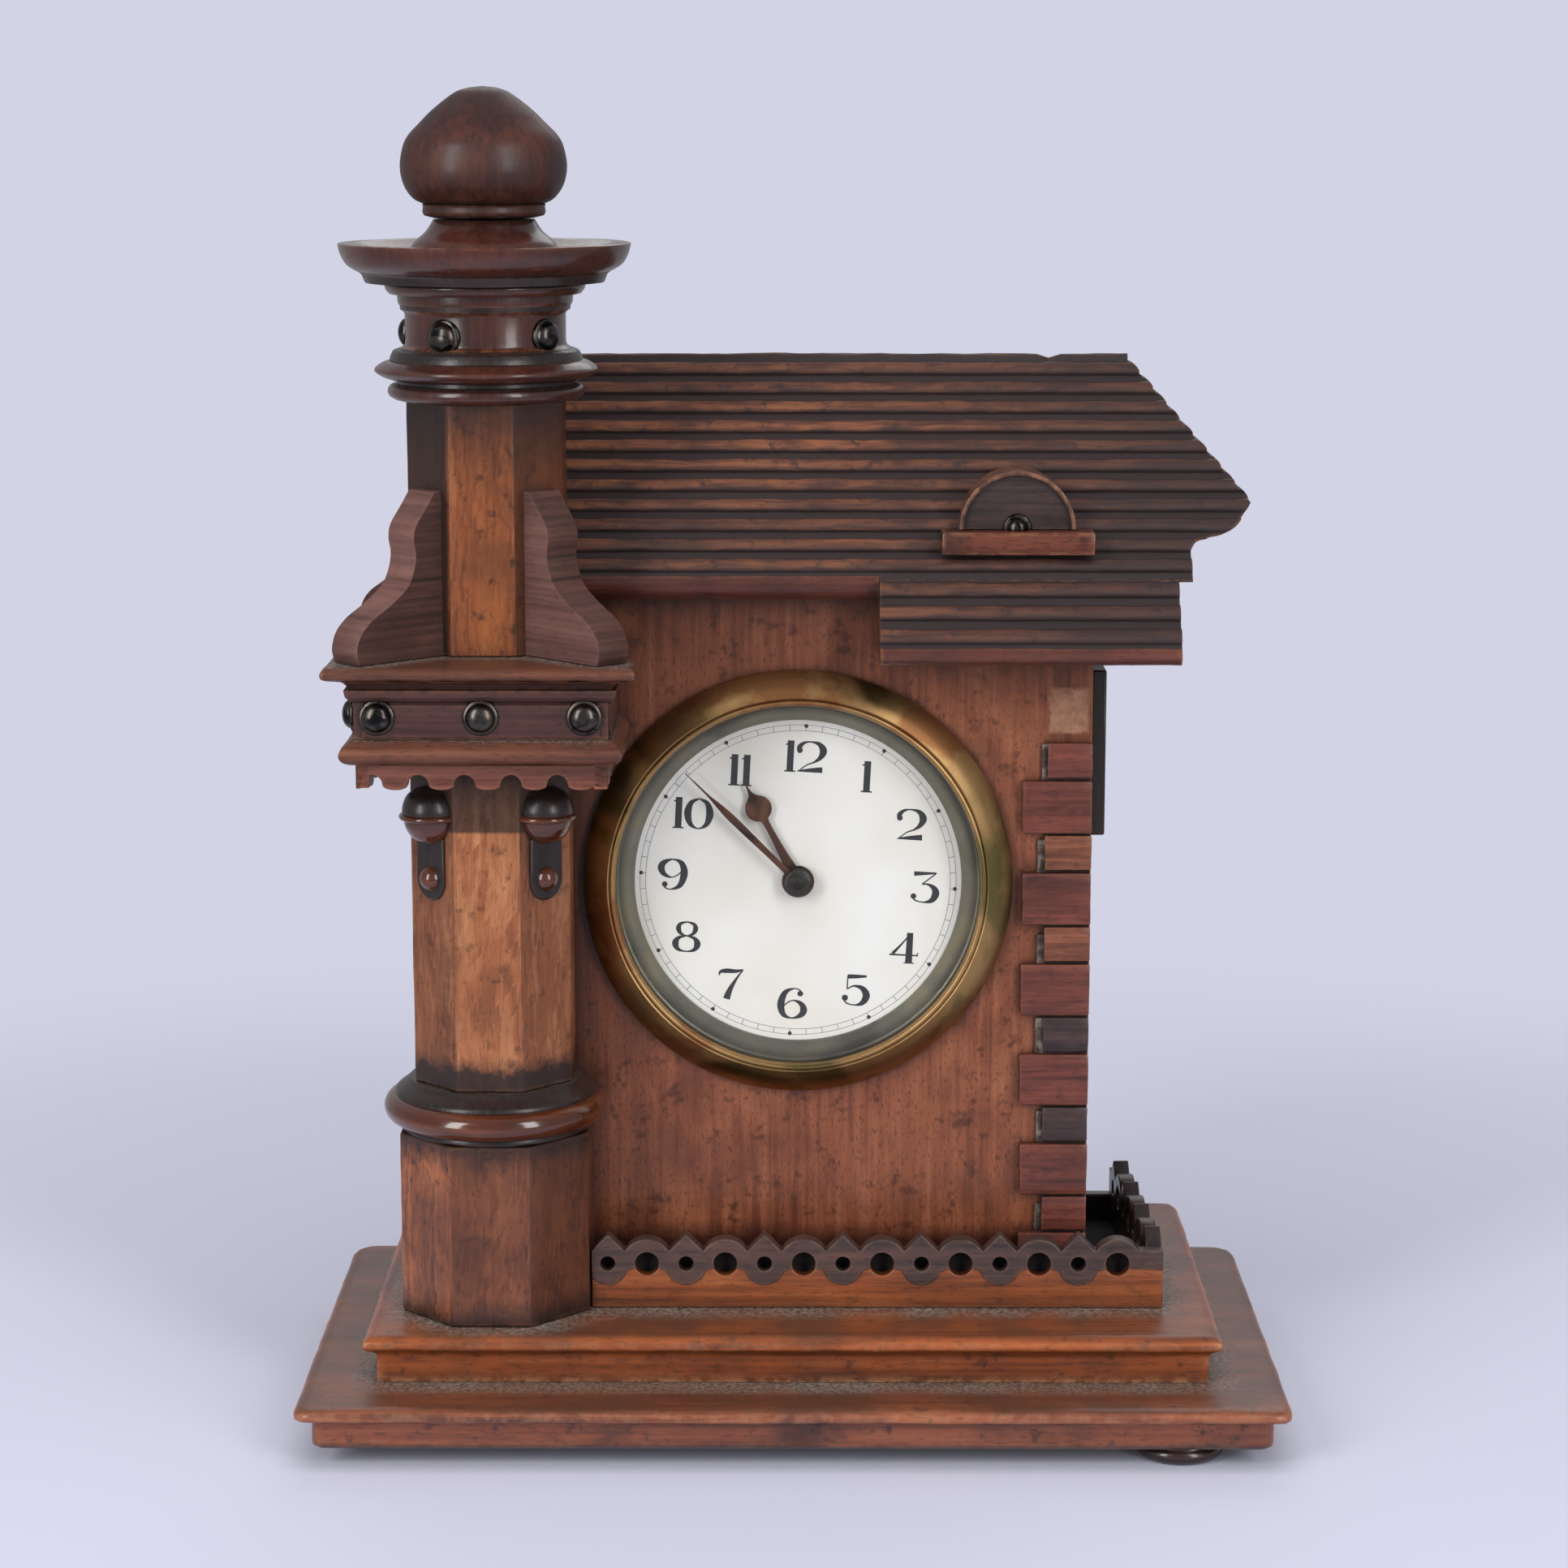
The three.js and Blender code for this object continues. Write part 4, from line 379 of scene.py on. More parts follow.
        # Hollows and corners are darkened towards the darkest colour: soiling and painted shade.
        hidden = add(OCCLUSION, {"Distance": self.grime_reach * MM}, out="AO", samples=3)
        layers.append((add(RANGE, (hidden, *Edge.DIRT.value, 0.0, self.grime)), soot))
        inward = {"Distance": self.wear_width * MM}
        sharp = add(OCCLUSION, inward, out="AO", samples=3, inside=True, only_local=True)
        rubbed = add(RANGE, (sharp, *Edge.RUB.value))
        least_wear, least_dust, dusty_rough = 0.12 * self.wear, 0.4 * self.dust, 0.85
        broken = add(RANGE, (fleck, *Edge.BREAK.value, least_wear, self.wear))
        layers.append((add(MATH, (rubbed, broken), operation="MULTIPLY"), linear(self.worn)))
        rough = add(RANGE, (fibre, *Edge.FIBRE.value, self.roughness - 0.05, self.roughness + 0.1))
        if self.dust:
            up = add(SPLIT, (add(GEOMETRY, out="Normal"),), out=2)
            level = add(RANGE, (up, *Edge.LEVEL.value))
            settled = add(RANGE, (cloud, *Edge.SETTLED.value, least_dust, self.dust))
            film = add(MATH, (level, settled), operation="MULTIPLY")
            # Pale dust lies where a wall rises and dark handled dirt lies in the open.
            nook = add(RANGE, (hidden, *Edge.NOOK.value))
            grit = add(RAMP, (speck,), stops=((0.4, "#4f443c"), (0.62, "#948a7f")))
            soil = {0: nook, 6: linear("#553628"), 7: grit}
            layers.append((film, add(MIX, soil, out=2, data_type="RGBA")))
            dry = add(MATH, (film, nook), operation="MULTIPLY")
            rough = add(MIX, {0: dry, 2: rough, 3: dusty_rough})
        for mask, over in layers:
            colour = add(MIX, {0: mask, 6: colour, 7: over}, out=2, data_type="RGBA")
        raised = add(MATH, (pitted, -0.9, fibre), operation="MULTIPLY_ADD")
        return {
            "Base Color": colour,
            "Roughness": rough,
            "Normal": add(BUMP, {"Strength": 0.35, "Distance": 0.12 * MM, "Height": raised}),
            "Coat Weight": self.coat,
            "Coat Roughness": self.gloss,
            "Specular IOR Level": 0.35,
        }


@dataclass(frozen=True)
class AgedMetal(Finish):
    """Metal that was turned or filed and has dulled: clouds of tarnish, joints darkened by soiling and painted
    shade, and fine tool marks.
    """

    bright: str
    dull: str
    ruddy: str
    roughness: float = 0.3
    cloud: float = 13.0
    grime: float = 0.7
    centre: Flat | None = None

    def shade(self, add: Adder, mm: Socket) -> dict:
        """Lays tarnish, joints darkened by soiling and painted shade, and tool marks over each other.

        Args:
            add: adds a node to the material.
            mm: the place in millimetres.

        Returns:
            What feeds each socket of the shader.
        """
        cloud = add(NOISE, {"Vector": mm, "Scale": 1 / self.cloud, "Detail": 2.0, "Distortion": 0.8})
        speck = add(NOISE, {"Vector": mm, "Scale": 1 / 1.6, "Detail": 4.0})
        tone = add(MIX, {0: 0.1, 2: cloud, 3: speck})
        stops = ((0.4, self.dull), (0.48, self.bright), (0.54, self.bright), (0.6, self.ruddy))
        colour = add(RAMP, (tone,), stops=stops)
        # Joints and hollows are darkened: soiling and painted shade.
        hidden = add(OCCLUSION, {"Distance": 2.5 * MM}, out="AO", samples=3)
        dirt_and_shade = add(RANGE, (hidden, *Edge.JOINT.value, 0.0, self.grime))
        marks = mm
        if self.centre is not None:
            # Turning marks run round the middle, about 0.3 mm apart, drawn at 0.5 mm so that they show.
            x, z = self.centre
            offset = add(VECTOR, (mm, (x, 0.0, z)), operation="SUBTRACT")
            disc = add(VECTOR, (offset, (1.0, 0.0, 1.0)), operation="MULTIPLY")
            marks = add("ShaderNodeCombineXYZ", (add(VECTOR, (disc,), out="Value", operation="LENGTH"),))
        line = add(NOISE, {"Vector": marks, "Scale": 1 / 0.5, "Detail": 2.0})
        return {
            "Base Color": add(MIX, {0: dirt_and_shade, 6: colour, 7: linear("#2a2016")}, out=2, data_type="RGBA"),
            "Roughness": add(RANGE, (cloud, *Edge.TARNISH.value, self.roughness - 0.06, self.roughness + 0.12)),
            "Normal": add(BUMP, {"Strength": 0.12, "Distance": 0.05 * MM, "Height": line}),
            "Metallic": 1.0,
        }


@dataclass(frozen=True)
class PrintedCard(Finish):
    """Matt coated card, slightly yellowed in soft patches, or the ink on it."""

    pale: str
    aged: str
    roughness: float = 0.5

    def shade(self, add: Adder, mm: Socket) -> dict:
        """Gives soft ageing and a faint paper tooth.

        Args:
            add: adds a node to the material.
            mm: the place in millimetres.

        Returns:
            What feeds each socket of the shader.
        """
        cloud = add(NOISE, {"Vector": mm, "Scale": 1 / 24, "Detail": 4.0})
        tooth = add(NOISE, {"Vector": mm, "Scale": 1 / 0.5, "Detail": 3.0})
        return {
            "Base Color": add(RAMP, (cloud,), stops=((0.36, self.pale), (0.66, self.aged))),
            "Normal": add(BUMP, {"Strength": 0.1, "Distance": 0.03 * MM, "Height": tooth}),
            "Roughness": self.roughness,
        }


@dataclass(frozen=True)
class ClearGlass(Finish):
    """Flat polished glass that lets the light through to the dial behind it."""

    tint: str = "#f6faf8"

    def shade(self, add: Adder, mm: Socket) -> dict:
        """Gives clear glass with faint smears.

        Args:
            add: adds a node to the material.
            mm: the place in millimetres.

        Returns:
            The shader's inputs.
        """
        smear = add(NOISE, {"Vector": mm, "Scale": 1 / 30, "Detail": 3.0})
        rough = add(RANGE, (smear, *Edge.SMEAR.value, 0.0, 0.05))
        return {"Base Color": linear(self.tint), "Transmission Weight": 1.0, "IOR": 1.5, "Roughness": rough}

    def opening(self, add: Adder, mm: Socket) -> Socket:
        """Lets the light that reaches the dial pass.

        Args:
            add: adds a node to the material.
            mm: the place in millimetres.

        Returns:
            How open the glass is to each ray.
        """
        rays = add(RAYS).node.outputs
        lit = add(MATH, (rays["Is Diffuse Ray"], rays["Is Glossy Ray"]), operation="MAXIMUM")
        return add(MATH, (lit, rays["Is Shadow Ray"]), operation="MAXIMUM")


@dataclass(frozen=True)
class PaperFloor(Finish):
    """Pale matt paper that fades out towards its edge, at those distances in millimetres."""

    pale: str
    fade: Flat = (200.0, 460.0)

    def shade(self, add: Adder, mm: Socket) -> dict:
        """Gives an even colour with a faint grain."""
        grain = add(NOISE, {"Vector": mm, "Scale": 1 / 4, "Detail": 3.0})
        return {"Base Color": linear(self.pale), "Roughness": add(RANGE, (grain, *Edge.FIBRE.value, 0.8, 0.95))}

    def opening(self, add: Adder, mm: Socket) -> Socket:
        """Fades the floor into the background."""
        out = add(VECTOR, (mm,), out="Value", operation="LENGTH")
        return add(RANGE, (out, *self.fade), interpolation_type="SMOOTHSTEP")


LOOKS: dict[str, Finish] = {
    # Veneer on the front: warm brown, mottled, with fine dark pores and a joint above the dial; darkened under
    # the eave, beside the turret and behind the fret as painted shade.
    "veneer": StainedWood(
        "waxed_walnut_veneer", "#7d452c", "#965b3d", "#4c2619", soot="#2c110a", fibre=(26.0, 1.3),
        figure=(34.0, 15.0), pore=(1.4, 0.5), pores=0.7, blotch=0.62, spots=0.62, wear=0.2, coat=0.12,
        leaf=4.7, bare=(53.0, 61.8, 143.4, 153.4), stains=(Stain(Axis.Z, 172.0, 146.0, 0.55, 4.0),
        Stain(Axis.X, -45.0, -38.0, 0.5, 4.0), Stain(Axis.Z, 34.0, 38.5, 0.9, 1.5)),
    ),
    # Solid sides and back: the same wood, duller and less rubbed.
    "panel": StainedWood(
        "stained_walnut_panel", "#5d3220", "#734229", "#371e15", wear=0.35, roughness=0.5, coat=0.08,
    ),
    # Base mouldings: darker, grain along the length, dusty on top and rubbed to bare wood on the lips.
    "base": StainedWood(
        "waxed_walnut_moulding", "#87472b", "#9d5a3a", "#3f2119", grain=Axis.X, wear=0.8, wear_width=2.3,
        dust=0.88, grime=0.9, grime_reach=9.0, blotch=0.9, spots=0.7, coat=0.45, gloss=0.3, worn="#b57f5a",
        stains=(Stain(Axis.Z, 3.5, 6.5, 0.5, 1.4),),
    ),
    "board": StainedWood(
        "waxed_walnut_board", "#974a1c", "#ad5c28", "#4a2513", grain=Axis.X, wear=0.8, wear_width=2.0,
        dust=0.88, grime=0.9, grime_reach=9.0, blotch=0.6, spots=0.6, coat=0.45, gloss=0.3, worn="#b57f58",
        stains=(Stain(Axis.Z, 13.4, 16.0, 0.5, 1.0),),
    ),
    # Roof: planed ribs with crests rubbed brown over grooves darkened as soiling and painted shade, darker to
    # the right.
    "roof": StainedWood(
        "ribbed_walnut", "#70432e", "#8b5537", "#3e261f", soot="#2a2122", grain=Axis.X, relief=True, wear=0.2,
        wear_width=0.7, grime=0.5, roughness=0.5, coat=0.08, figure=(13.0, 2.0), blotch=0.85, spots=0.75,
        stains=(Stain(Axis.X, 80.0, 14.0, 0.78, 9.0), Stain(Axis.Z, 219.0, 206.0, 0.35, 3.0),
        Stain(Axis.Z, 188.0, 201.0, 0.35, 3.0)),
    ),
    "eave": StainedWood(
        "smooth_walnut_eave", "#512820", "#653229", "#321815", grain=Axis.X, wear=0.4, wear_width=1.2,
        grime=0.9, blotch=0.7, spots=0.4, coat=0.2,
    ),
    # Turret faces: planed upright, the plinth of two boards that meet in the middle; each face is darkened by
    # which way it turns, as painted shade.
    "plinth": StainedWood(
        "planed_walnut_plinth", "#965636", "#ae6b44", "#3e2219", blotch=0.75, pores=0.45, spots=0.6,
        leaf=-62.0, wear=0.5, coat=0.12, facets=(0.0, 0.6, 0.76), figure=(30.0, 7.0),
        stains=(Stain(Axis.Z, 24.0, 30.0, 0.88, 4.0), Stain(Axis.Z, 62.0, 56.5, 0.85, 3.0)),
    ),
    "shaft": StainedWood(
        "planed_walnut_shaft", "#965a38", "#b87f56", "#57301f", blotch=0.6, pores=0.45, spots=0.5, wear=0.45,
        coat=0.1, figure=(28.0, 8.0), facets=(0.42, 0.0, 0.36), stains=(Stain(Axis.Z, 76.5, 80.5, 0.93, 5.0),
        Stain(Axis.Z, 127.6, 127.0, 0.8, 0.3)),
    ),
    "upper": StainedWood(
        "planed_walnut_upper", "#814524", "#9c5c30", "#472511", blotch=0.55, pores=0.45, spots=0.7, wear=0.35,
        coat=0.1, facets=(0.0, 0.0, 0.72), stains=(Stain(Axis.Z, 210.0, 199.0, 0.7, 3.0),
        Stain(Axis.X, -69.4, -68.4, 0.88, 0.2)),
    ),
    # Brackets: sawn planks left duller than the rest, with the grain level; a darker copy is painted shade and
    # a paler copy is painted light, given to each face by how it is turned.
    "bracket": StainedWood(
        "sawn_walnut_bracket", "#4a2e27", "#5e3d34", "#2c1b17", level=True, fibre=(40.0, 0.8),
        figure=(46.0, 1.6), wear=0.15, worn="#8a5a44", roughness=0.58, coat=0.0, grime=0.5, pores=0.3,
        spots=0.2,
    ),
    "dusty_bracket": StainedWood(
        "dusty_walnut_bracket", "#6a4842", "#7b564e", "#4a302b", level=True, fibre=(40.0, 0.9),
        figure=(46.0, 2.6), wear=0.15, worn="#93685a", roughness=0.62, coat=0.0, grime=0.5, pores=0.3,
        spots=0.2,
    ),
    # Turned parts: polished dark red-brown, black in the quirks, and darkened towards the right as painted
    # shade.
    "turned": StainedWood(
        "polished_turned_walnut", "#48231b", "#562b1f", "#321a15", soot="#120d0d", wear=0.35, wear_width=0.9,
        grime=1.0, grime_reach=5.5, roughness=0.28, coat=0.5, gloss=0.14, fibre=(30.0, 1.4),
        figure=(24.0, 14.0), blotch=0.75, pores=0.2, dust=0.2,
        stains=(Stain(Axis.X, -34.0, -54.0, 0.5, 5.0),),
    ),
    "finial": StainedWood(
        "waxed_turned_walnut", "#3f221b", "#582e20", "#2b1a18", soot="#171213", wear=0.2, grime=1.0,
        grime_reach=6.0, roughness=0.46, coat=0.08, fibre=(30.0, 1.4), figure=(20.0, 11.0), pores=0.3,
        blotch=0.8, dust=0.15, stains=(Stain(Axis.Z, 277.0, 264.0, 0.6, 3.0),),
    ),
    "bead": StainedWood(
        "polished_walnut_bead", "#4c2211", "#66341c", "#2f160d", wear=0.2, grime=0.9, grime_reach=3.0,
        roughness=0.18, coat=0.7, gloss=0.08, level=True, figure=(24.0, 9.0), pores=0.2,
    ),
    # Blackened parts: stain almost hides the wood and the wax gives a soft shine.
    "ebony": StainedWood(
        "ebonised_walnut", "#241918", "#31221f", "#151010", wear=0.3, worn="#5a3826", grime=0.6,
        roughness=0.34, coat=0.25, dust=0.3,
    ),
    "frieze": StainedWood(
        "dark_stained_walnut", "#4b2d2a", "#593631", "#2d1a18", grain=Axis.X, wear=0.35, grime=0.95,
        roughness=0.42, coat=0.15,
    ),
    "skirt": StainedWood(
        "stained_walnut_skirt", "#693b30", "#804d40", "#45261f", level=True, wear=0.45, grime=0.55,
        grime_reach=3.0,
    ),
    "moulding": StainedWood(
        "stained_walnut_moulding", "#603628", "#7a4a34", "#352019", level=True, wear=0.7, wear_width=1.0,
        grime=0.95, dust=0.8, blotch=0.55, coat=0.12, worn="#a87252",
    ),
    # Quoin blocks: three tones, since each block took the stain in its own way.
    "quoin": StainedWood(
        "stained_walnut_block", "#633229", "#7a4030", "#3a1f1b", grain=Axis.X, wear=0.55, wear_width=0.7,
        grime=0.9, figure=(18.0, 4.0), blotch=0.5, coat=0.12,
    ),
    "pale_quoin": StainedWood(
        "rubbed_walnut_block", "#7b4732", "#965f46", "#4a2a20", grain=Axis.X, wear=0.6, wear_width=0.8,
        grime=0.9, figure=(18.0, 3.0), blotch=0.6, coat=0.1,
    ),
    "black_quoin": StainedWood(
        "blackened_walnut_block", "#3a2a2a", "#49332f", "#211718", grain=Axis.X, wear=0.5, wear_width=0.7,
        worn="#75594d", grime=0.9, figure=(18.0, 3.0), coat=0.15,
    ),
    # Old glue beside the short blocks: dark, with pale broken edges.
    "glue": StainedWood(
        "dried_hide_glue", "#3c2f28", "#55463c", "#241b19", grain=Axis.X, wear=0.8, wear_width=0.7,
        worn="#8f8276", grime=0.6, roughness=0.35, figure=(3.0, 3.0), fibre=(2.0, 2.0), blotch=0.9, spots=0.8,
    ),
    # Black board on the terrace and behind the fret, without shine: painted shade, a dark sheet where the shade
    # lies deep.
    "shade": StainedWood(
        "soot_blackened_board", "#15100f", "#1d1615", "#0c0909", grain=Axis.X, wear=0.0, roughness=0.8,
        coat=0.0,
    ),
    "sill": StainedWood(
        "rubbed_walnut_sill", "#552718", "#6e3826", "#301712", grain=Axis.X, wear=0.85, wear_width=1.1,
        worn="#bd8660", grime=0.6, coat=0.1, spots=0.6, stains=(Stain(Axis.X, 32.6, 37.4, 0.6, 2.0),),
    ),
    "rim": StainedWood(
        "rubbed_walnut_rim", "#482b22", "#5e3929", "#2b1914", wear=0.75, worn="#a06d50", grime=0.6,
    ),
    "fret": StainedWood(
        "stained_fretwork", "#45342f", "#5c4038", "#2c2221", grain=Axis.X, wear=0.75, worn="#8a6a5c",
        wear_width=0.6, grime=0.5, roughness=0.45, coat=0.12,
    ),
    "strip": StainedWood(
        "waxed_walnut_strip", "#874622", "#9d5b2f", "#4d2917", grain=Axis.X, wear=0.35, grime=0.8,
        blotch=0.35,
    ),
    # Bezel brass: turned and lacquered, now olive in some parts and ruddy in others.
    "bezel": AgedMetal("aged_turned_brass", "#a9875a", "#7b6c44", "#8f6340", 0.36, 26.0, centre=(1.0, 112.2)),
    "sight": AgedMetal("dull_plated_ring", "#8c897b", "#7e7e71", "#969078", 0.36, 16.0, centre=(1.0, 112.2)),
    "brass": AgedMetal("rolled_clock_brass", "#b08e4a", "#a58746", "#ab8446", 0.32),
    "steel": AgedMetal("filed_clock_steel", "#8c8e91", "#6f7073", "#98948f", 0.34),
    # Hands: steel heated to brown, darker at the stem.
    "hand": AgedMetal("browned_steel", "#5d3f33", "#3f2d28", "#6d4a3a", 0.42, 6.0),
    "boss": AgedMetal("oxidised_steel", "#4a4a4b", "#343435", "#575350", 0.4, 3.0),
    # Studs: bronzed nail heads, dark with sharp highlights.
    "stud": AgedMetal("bronzed_nail_head", "#4b4846", "#2e2c2c", "#564d44", 0.24, 3.0, 0.8),
    "dial": PrintedCard("coated_dial_card", "#e6e4e0", "#dfd9ce", 0.45),
    "ink": PrintedCard("black_printing_ink", "#1b1d22", "#24262b", 0.5),
    "faint_ink": PrintedCard("thin_printing_ink", "#626165", "#7d7c7f", 0.5),
    # Glass: flat and polished, hardly seen but for faint smears.
    "glass": ClearGlass("flat_clear_glass"),
}


def closed(points: Sequence) -> Iterator[tuple]:
    """Each point with the one after it, and the last with the first."""
    return zip(points, [*points[1:], points[0]])


def around(count: int) -> list[float]:
    """The angles of so many even steps round a circle, in radians."""
    return [math.tau * i / count for i in range(count)]


def spaced(points: Sequence[Flat], step: float) -> list[Flat]:
    """Adds points along the long sides of a closed outline.

    Args:
        points: the outline's corners.
        step: the longest side to leave.

    Returns:
        The outline with points no further apart than step.
    """
    out: list[Flat] = []
    for (x0, y0), (x1, y1) in closed(points):
        count = max(1, math.ceil(math.hypot(x1 - x0, y1 - y0) / step))
        out += [(x0 + (x1 - x0) * i / count, y0 + (y1 - y0) * i / count) for i in range(count)]
    return out


def eased(points: Sequence[Flat], radius: float, steps: int = 3, looped: bool = False) -> list[Flat]:
    """Rounds the corners of a line or an outline.

    Args:
        points: its corners.
        radius: how far from a corner the round starts.
        steps: pieces in each round.
        looped: whether the last point joins the first.

    Returns:
        The rounded line.
    """
    out: list[Flat] = []
    count, most = len(points), 0.45
    for i, here in enumerate(points):
        if not looped and i in (0, count - 1):
            out.append(here)
            continue
        corner = Vector(here)
        before, after = Vector(points[i - 1]) - corner, Vector(points[(i + 1) % count]) - corner
        first = corner + before.normalized() * min(radius, before.length * most)
        last = corner + after.normalized() * min(radius, after.length * most)
        for k in range(steps + 1):
            t = k / steps
            spot = first * (1 - t) ** 2 + corner * 2 * t * (1 - t) + last * t * t
            out.append((spot.x, spot.y))
    return out


def flowing(points: Sequence[Sequence[float]], steps: int = 6) -> list[tuple[float, ...]]:
    """A smooth line through points of any number of values.

    Args:
        points: the points that it passes.
        steps: pieces between two of them.

    Returns:
        The points of the smooth line.
    """
    ends = [points[0], *points, points[-1]]
    out: list[tuple[float, ...]] = []
    for a, b, c, d in zip(ends, ends[1:], ends[2:], ends[3:]):
        for k in range(steps):
            t = k / steps
            weights = (-t + 2 * t**2 - t**3, 2 - 5 * t**2 + 3 * t**3, t + 4 * t**2 - 3 * t**3, t**3 - t**2)
            out.append(tuple(0.5 * sum(w * v for w, v in zip(weights, values)) for values in zip(a, b, c, d)))
    out.append(tuple(points[-1]))
    return out


def arc(radius: float, start: float, end: float, steps: int, x: float = 0.0, y: float = 0.0) -> list[Flat]:
    """Points on an arc, with its angles in degrees."""
    turns = (math.radians(start + (end - start) * i / steps) for i in range(steps + 1))
    return [(x + radius * math.cos(t), y + radius * math.sin(t)) for t in turns]


def rectangle(x0: float, x1: float, y0: float, y1: float) -> list[Flat]:
    """The four corners of a rectangle, anticlockwise."""
    return [(x0, y0), (x1, y0), (x1, y1), (x0, y1)]


def octagon(flats: float, x: float, y: float) -> list[Flat]:
    """Draws an octagon.

    Args:
        flats: its size across the flats.
        x: its middle in X.
        y: its middle in Y.

    Returns:
        Its corners, anticlockwise.
    """
    radius = flats / 2 / math.cos(math.pi / 8)
    turns = [math.pi / 8 * t for t in range(1, 16, 2)]
    return [(x + radius * math.cos(t), y + radius * math.sin(t)) for t in turns]


def drawn_in(outline: Sequence[Flat], inset: float) -> list[Flat]:
    """Moves an anticlockwise outline inwards.

    Args:
        outline: its points.
        inset: how far each side moves.

    Returns:
        The smaller outline, with as many points.
    """
    out: list[Flat] = []
    count, sharpest = len(outline), 0.4
    for i, here in enumerate(outline):
        before, after = outline[i - 1], outline[(i + 1) % count]
        sides = [Vector((b[0] - a[0], b[1] - a[1])) for a, b in ((before, here), (here, after))]
        ways = [Vector((-side.y, side.x)).normalized() for side in sides]
        middle = ways[0] + ways[1]
        reach = inset / max(sharpest, middle.normalized().dot(ways[0]))
        move = middle.normalized() * reach
        out.append((here[0] + move.x, here[1] + move.y))
    return out


def circle(radius: float, x: float, y: float) -> list[Flat]:
    """Twenty-four points round a circle."""
    return arc(radius, 0, 345, 23, x, y)


def mirrored(half: Sequence[Flat]) -> list[Flat]:
    """A line and then its mirror image, back to the start."""
    return [*half, *((-x, y) for x, y in reversed(half))]


def finish_mesh(mesh: Mesh, crease: Crease) -> None:
    """Joins doubled corners, turns faces outwards and shades smooth between creases. Broad faces stay flat.

    Args:
        mesh: a mesh in metres.
        crease: which edges stay sharp.
    """
    form = bmesh.new()
    form.from_mesh(mesh)
    bmesh.ops.remove_doubles(form, verts=form.verts, dist=WELD)
    bmesh.ops.recalc_face_normals(form, faces=form.faces)
    form.to_mesh(mesh)
    form.free()
    mesh.shade_smooth()
    mesh.set_sharp_from_angle(angle=math.radians(crease.value))
    for face in mesh.polygons:
        if face.area > BROAD * MM * MM:
            face.use_smooth = False


def placed(name: str, mesh: Mesh, *materials: Material) -> Object:
    """Puts a mesh in the scene with its materials.

    Args:
        name: the object's name.
        mesh: the mesh, in metres.
        materials: what its slots hold.

    Returns:
        The object.
    """
    mesh.materials.clear()
    for material in materials:
        mesh.materials.append(material)
    piece = bpy.data.objects.new(name, mesh)
    bpy.context.scene.collection.objects.link(piece)
    return piece


def as_seen(piece: Object) -> Mesh:
    """A mesh of an object with its modifiers or curve worked out."""
    return bpy.data.meshes.new_from_object(piece.evaluated_get(bpy.context.evaluated_depsgraph_get()))


def weathered(mesh: Mesh, depth: float, size: float) -> None:
    """Moves a mesh's corners in and out a little, as handling and old tools leave a surface.

    Args:
        mesh: a mesh in metres.
        depth: the most that a corner moves, in millimetres.
        size: how wide the waves are, in millimetres.
    """
    mesh.update()
    normals = [v.normal.copy() for v in mesh.vertices]
    held = {i for face in mesh.polygons if len(face.vertices) > 4 for i in face.vertices}
    broad, fine, finer, sunk = 0.8, 0.4, 2.7, 0.25
    for vertex, normal in zip(mesh.vertices, normals):
        if vertex.index in held:
            continue
        spot = vertex.co / (size * MM)
        wave = noise.noise(spot) * broad + noise.noise(spot * finer) * fine - sunk
        vertex.co += normal * (depth * MM * wave)


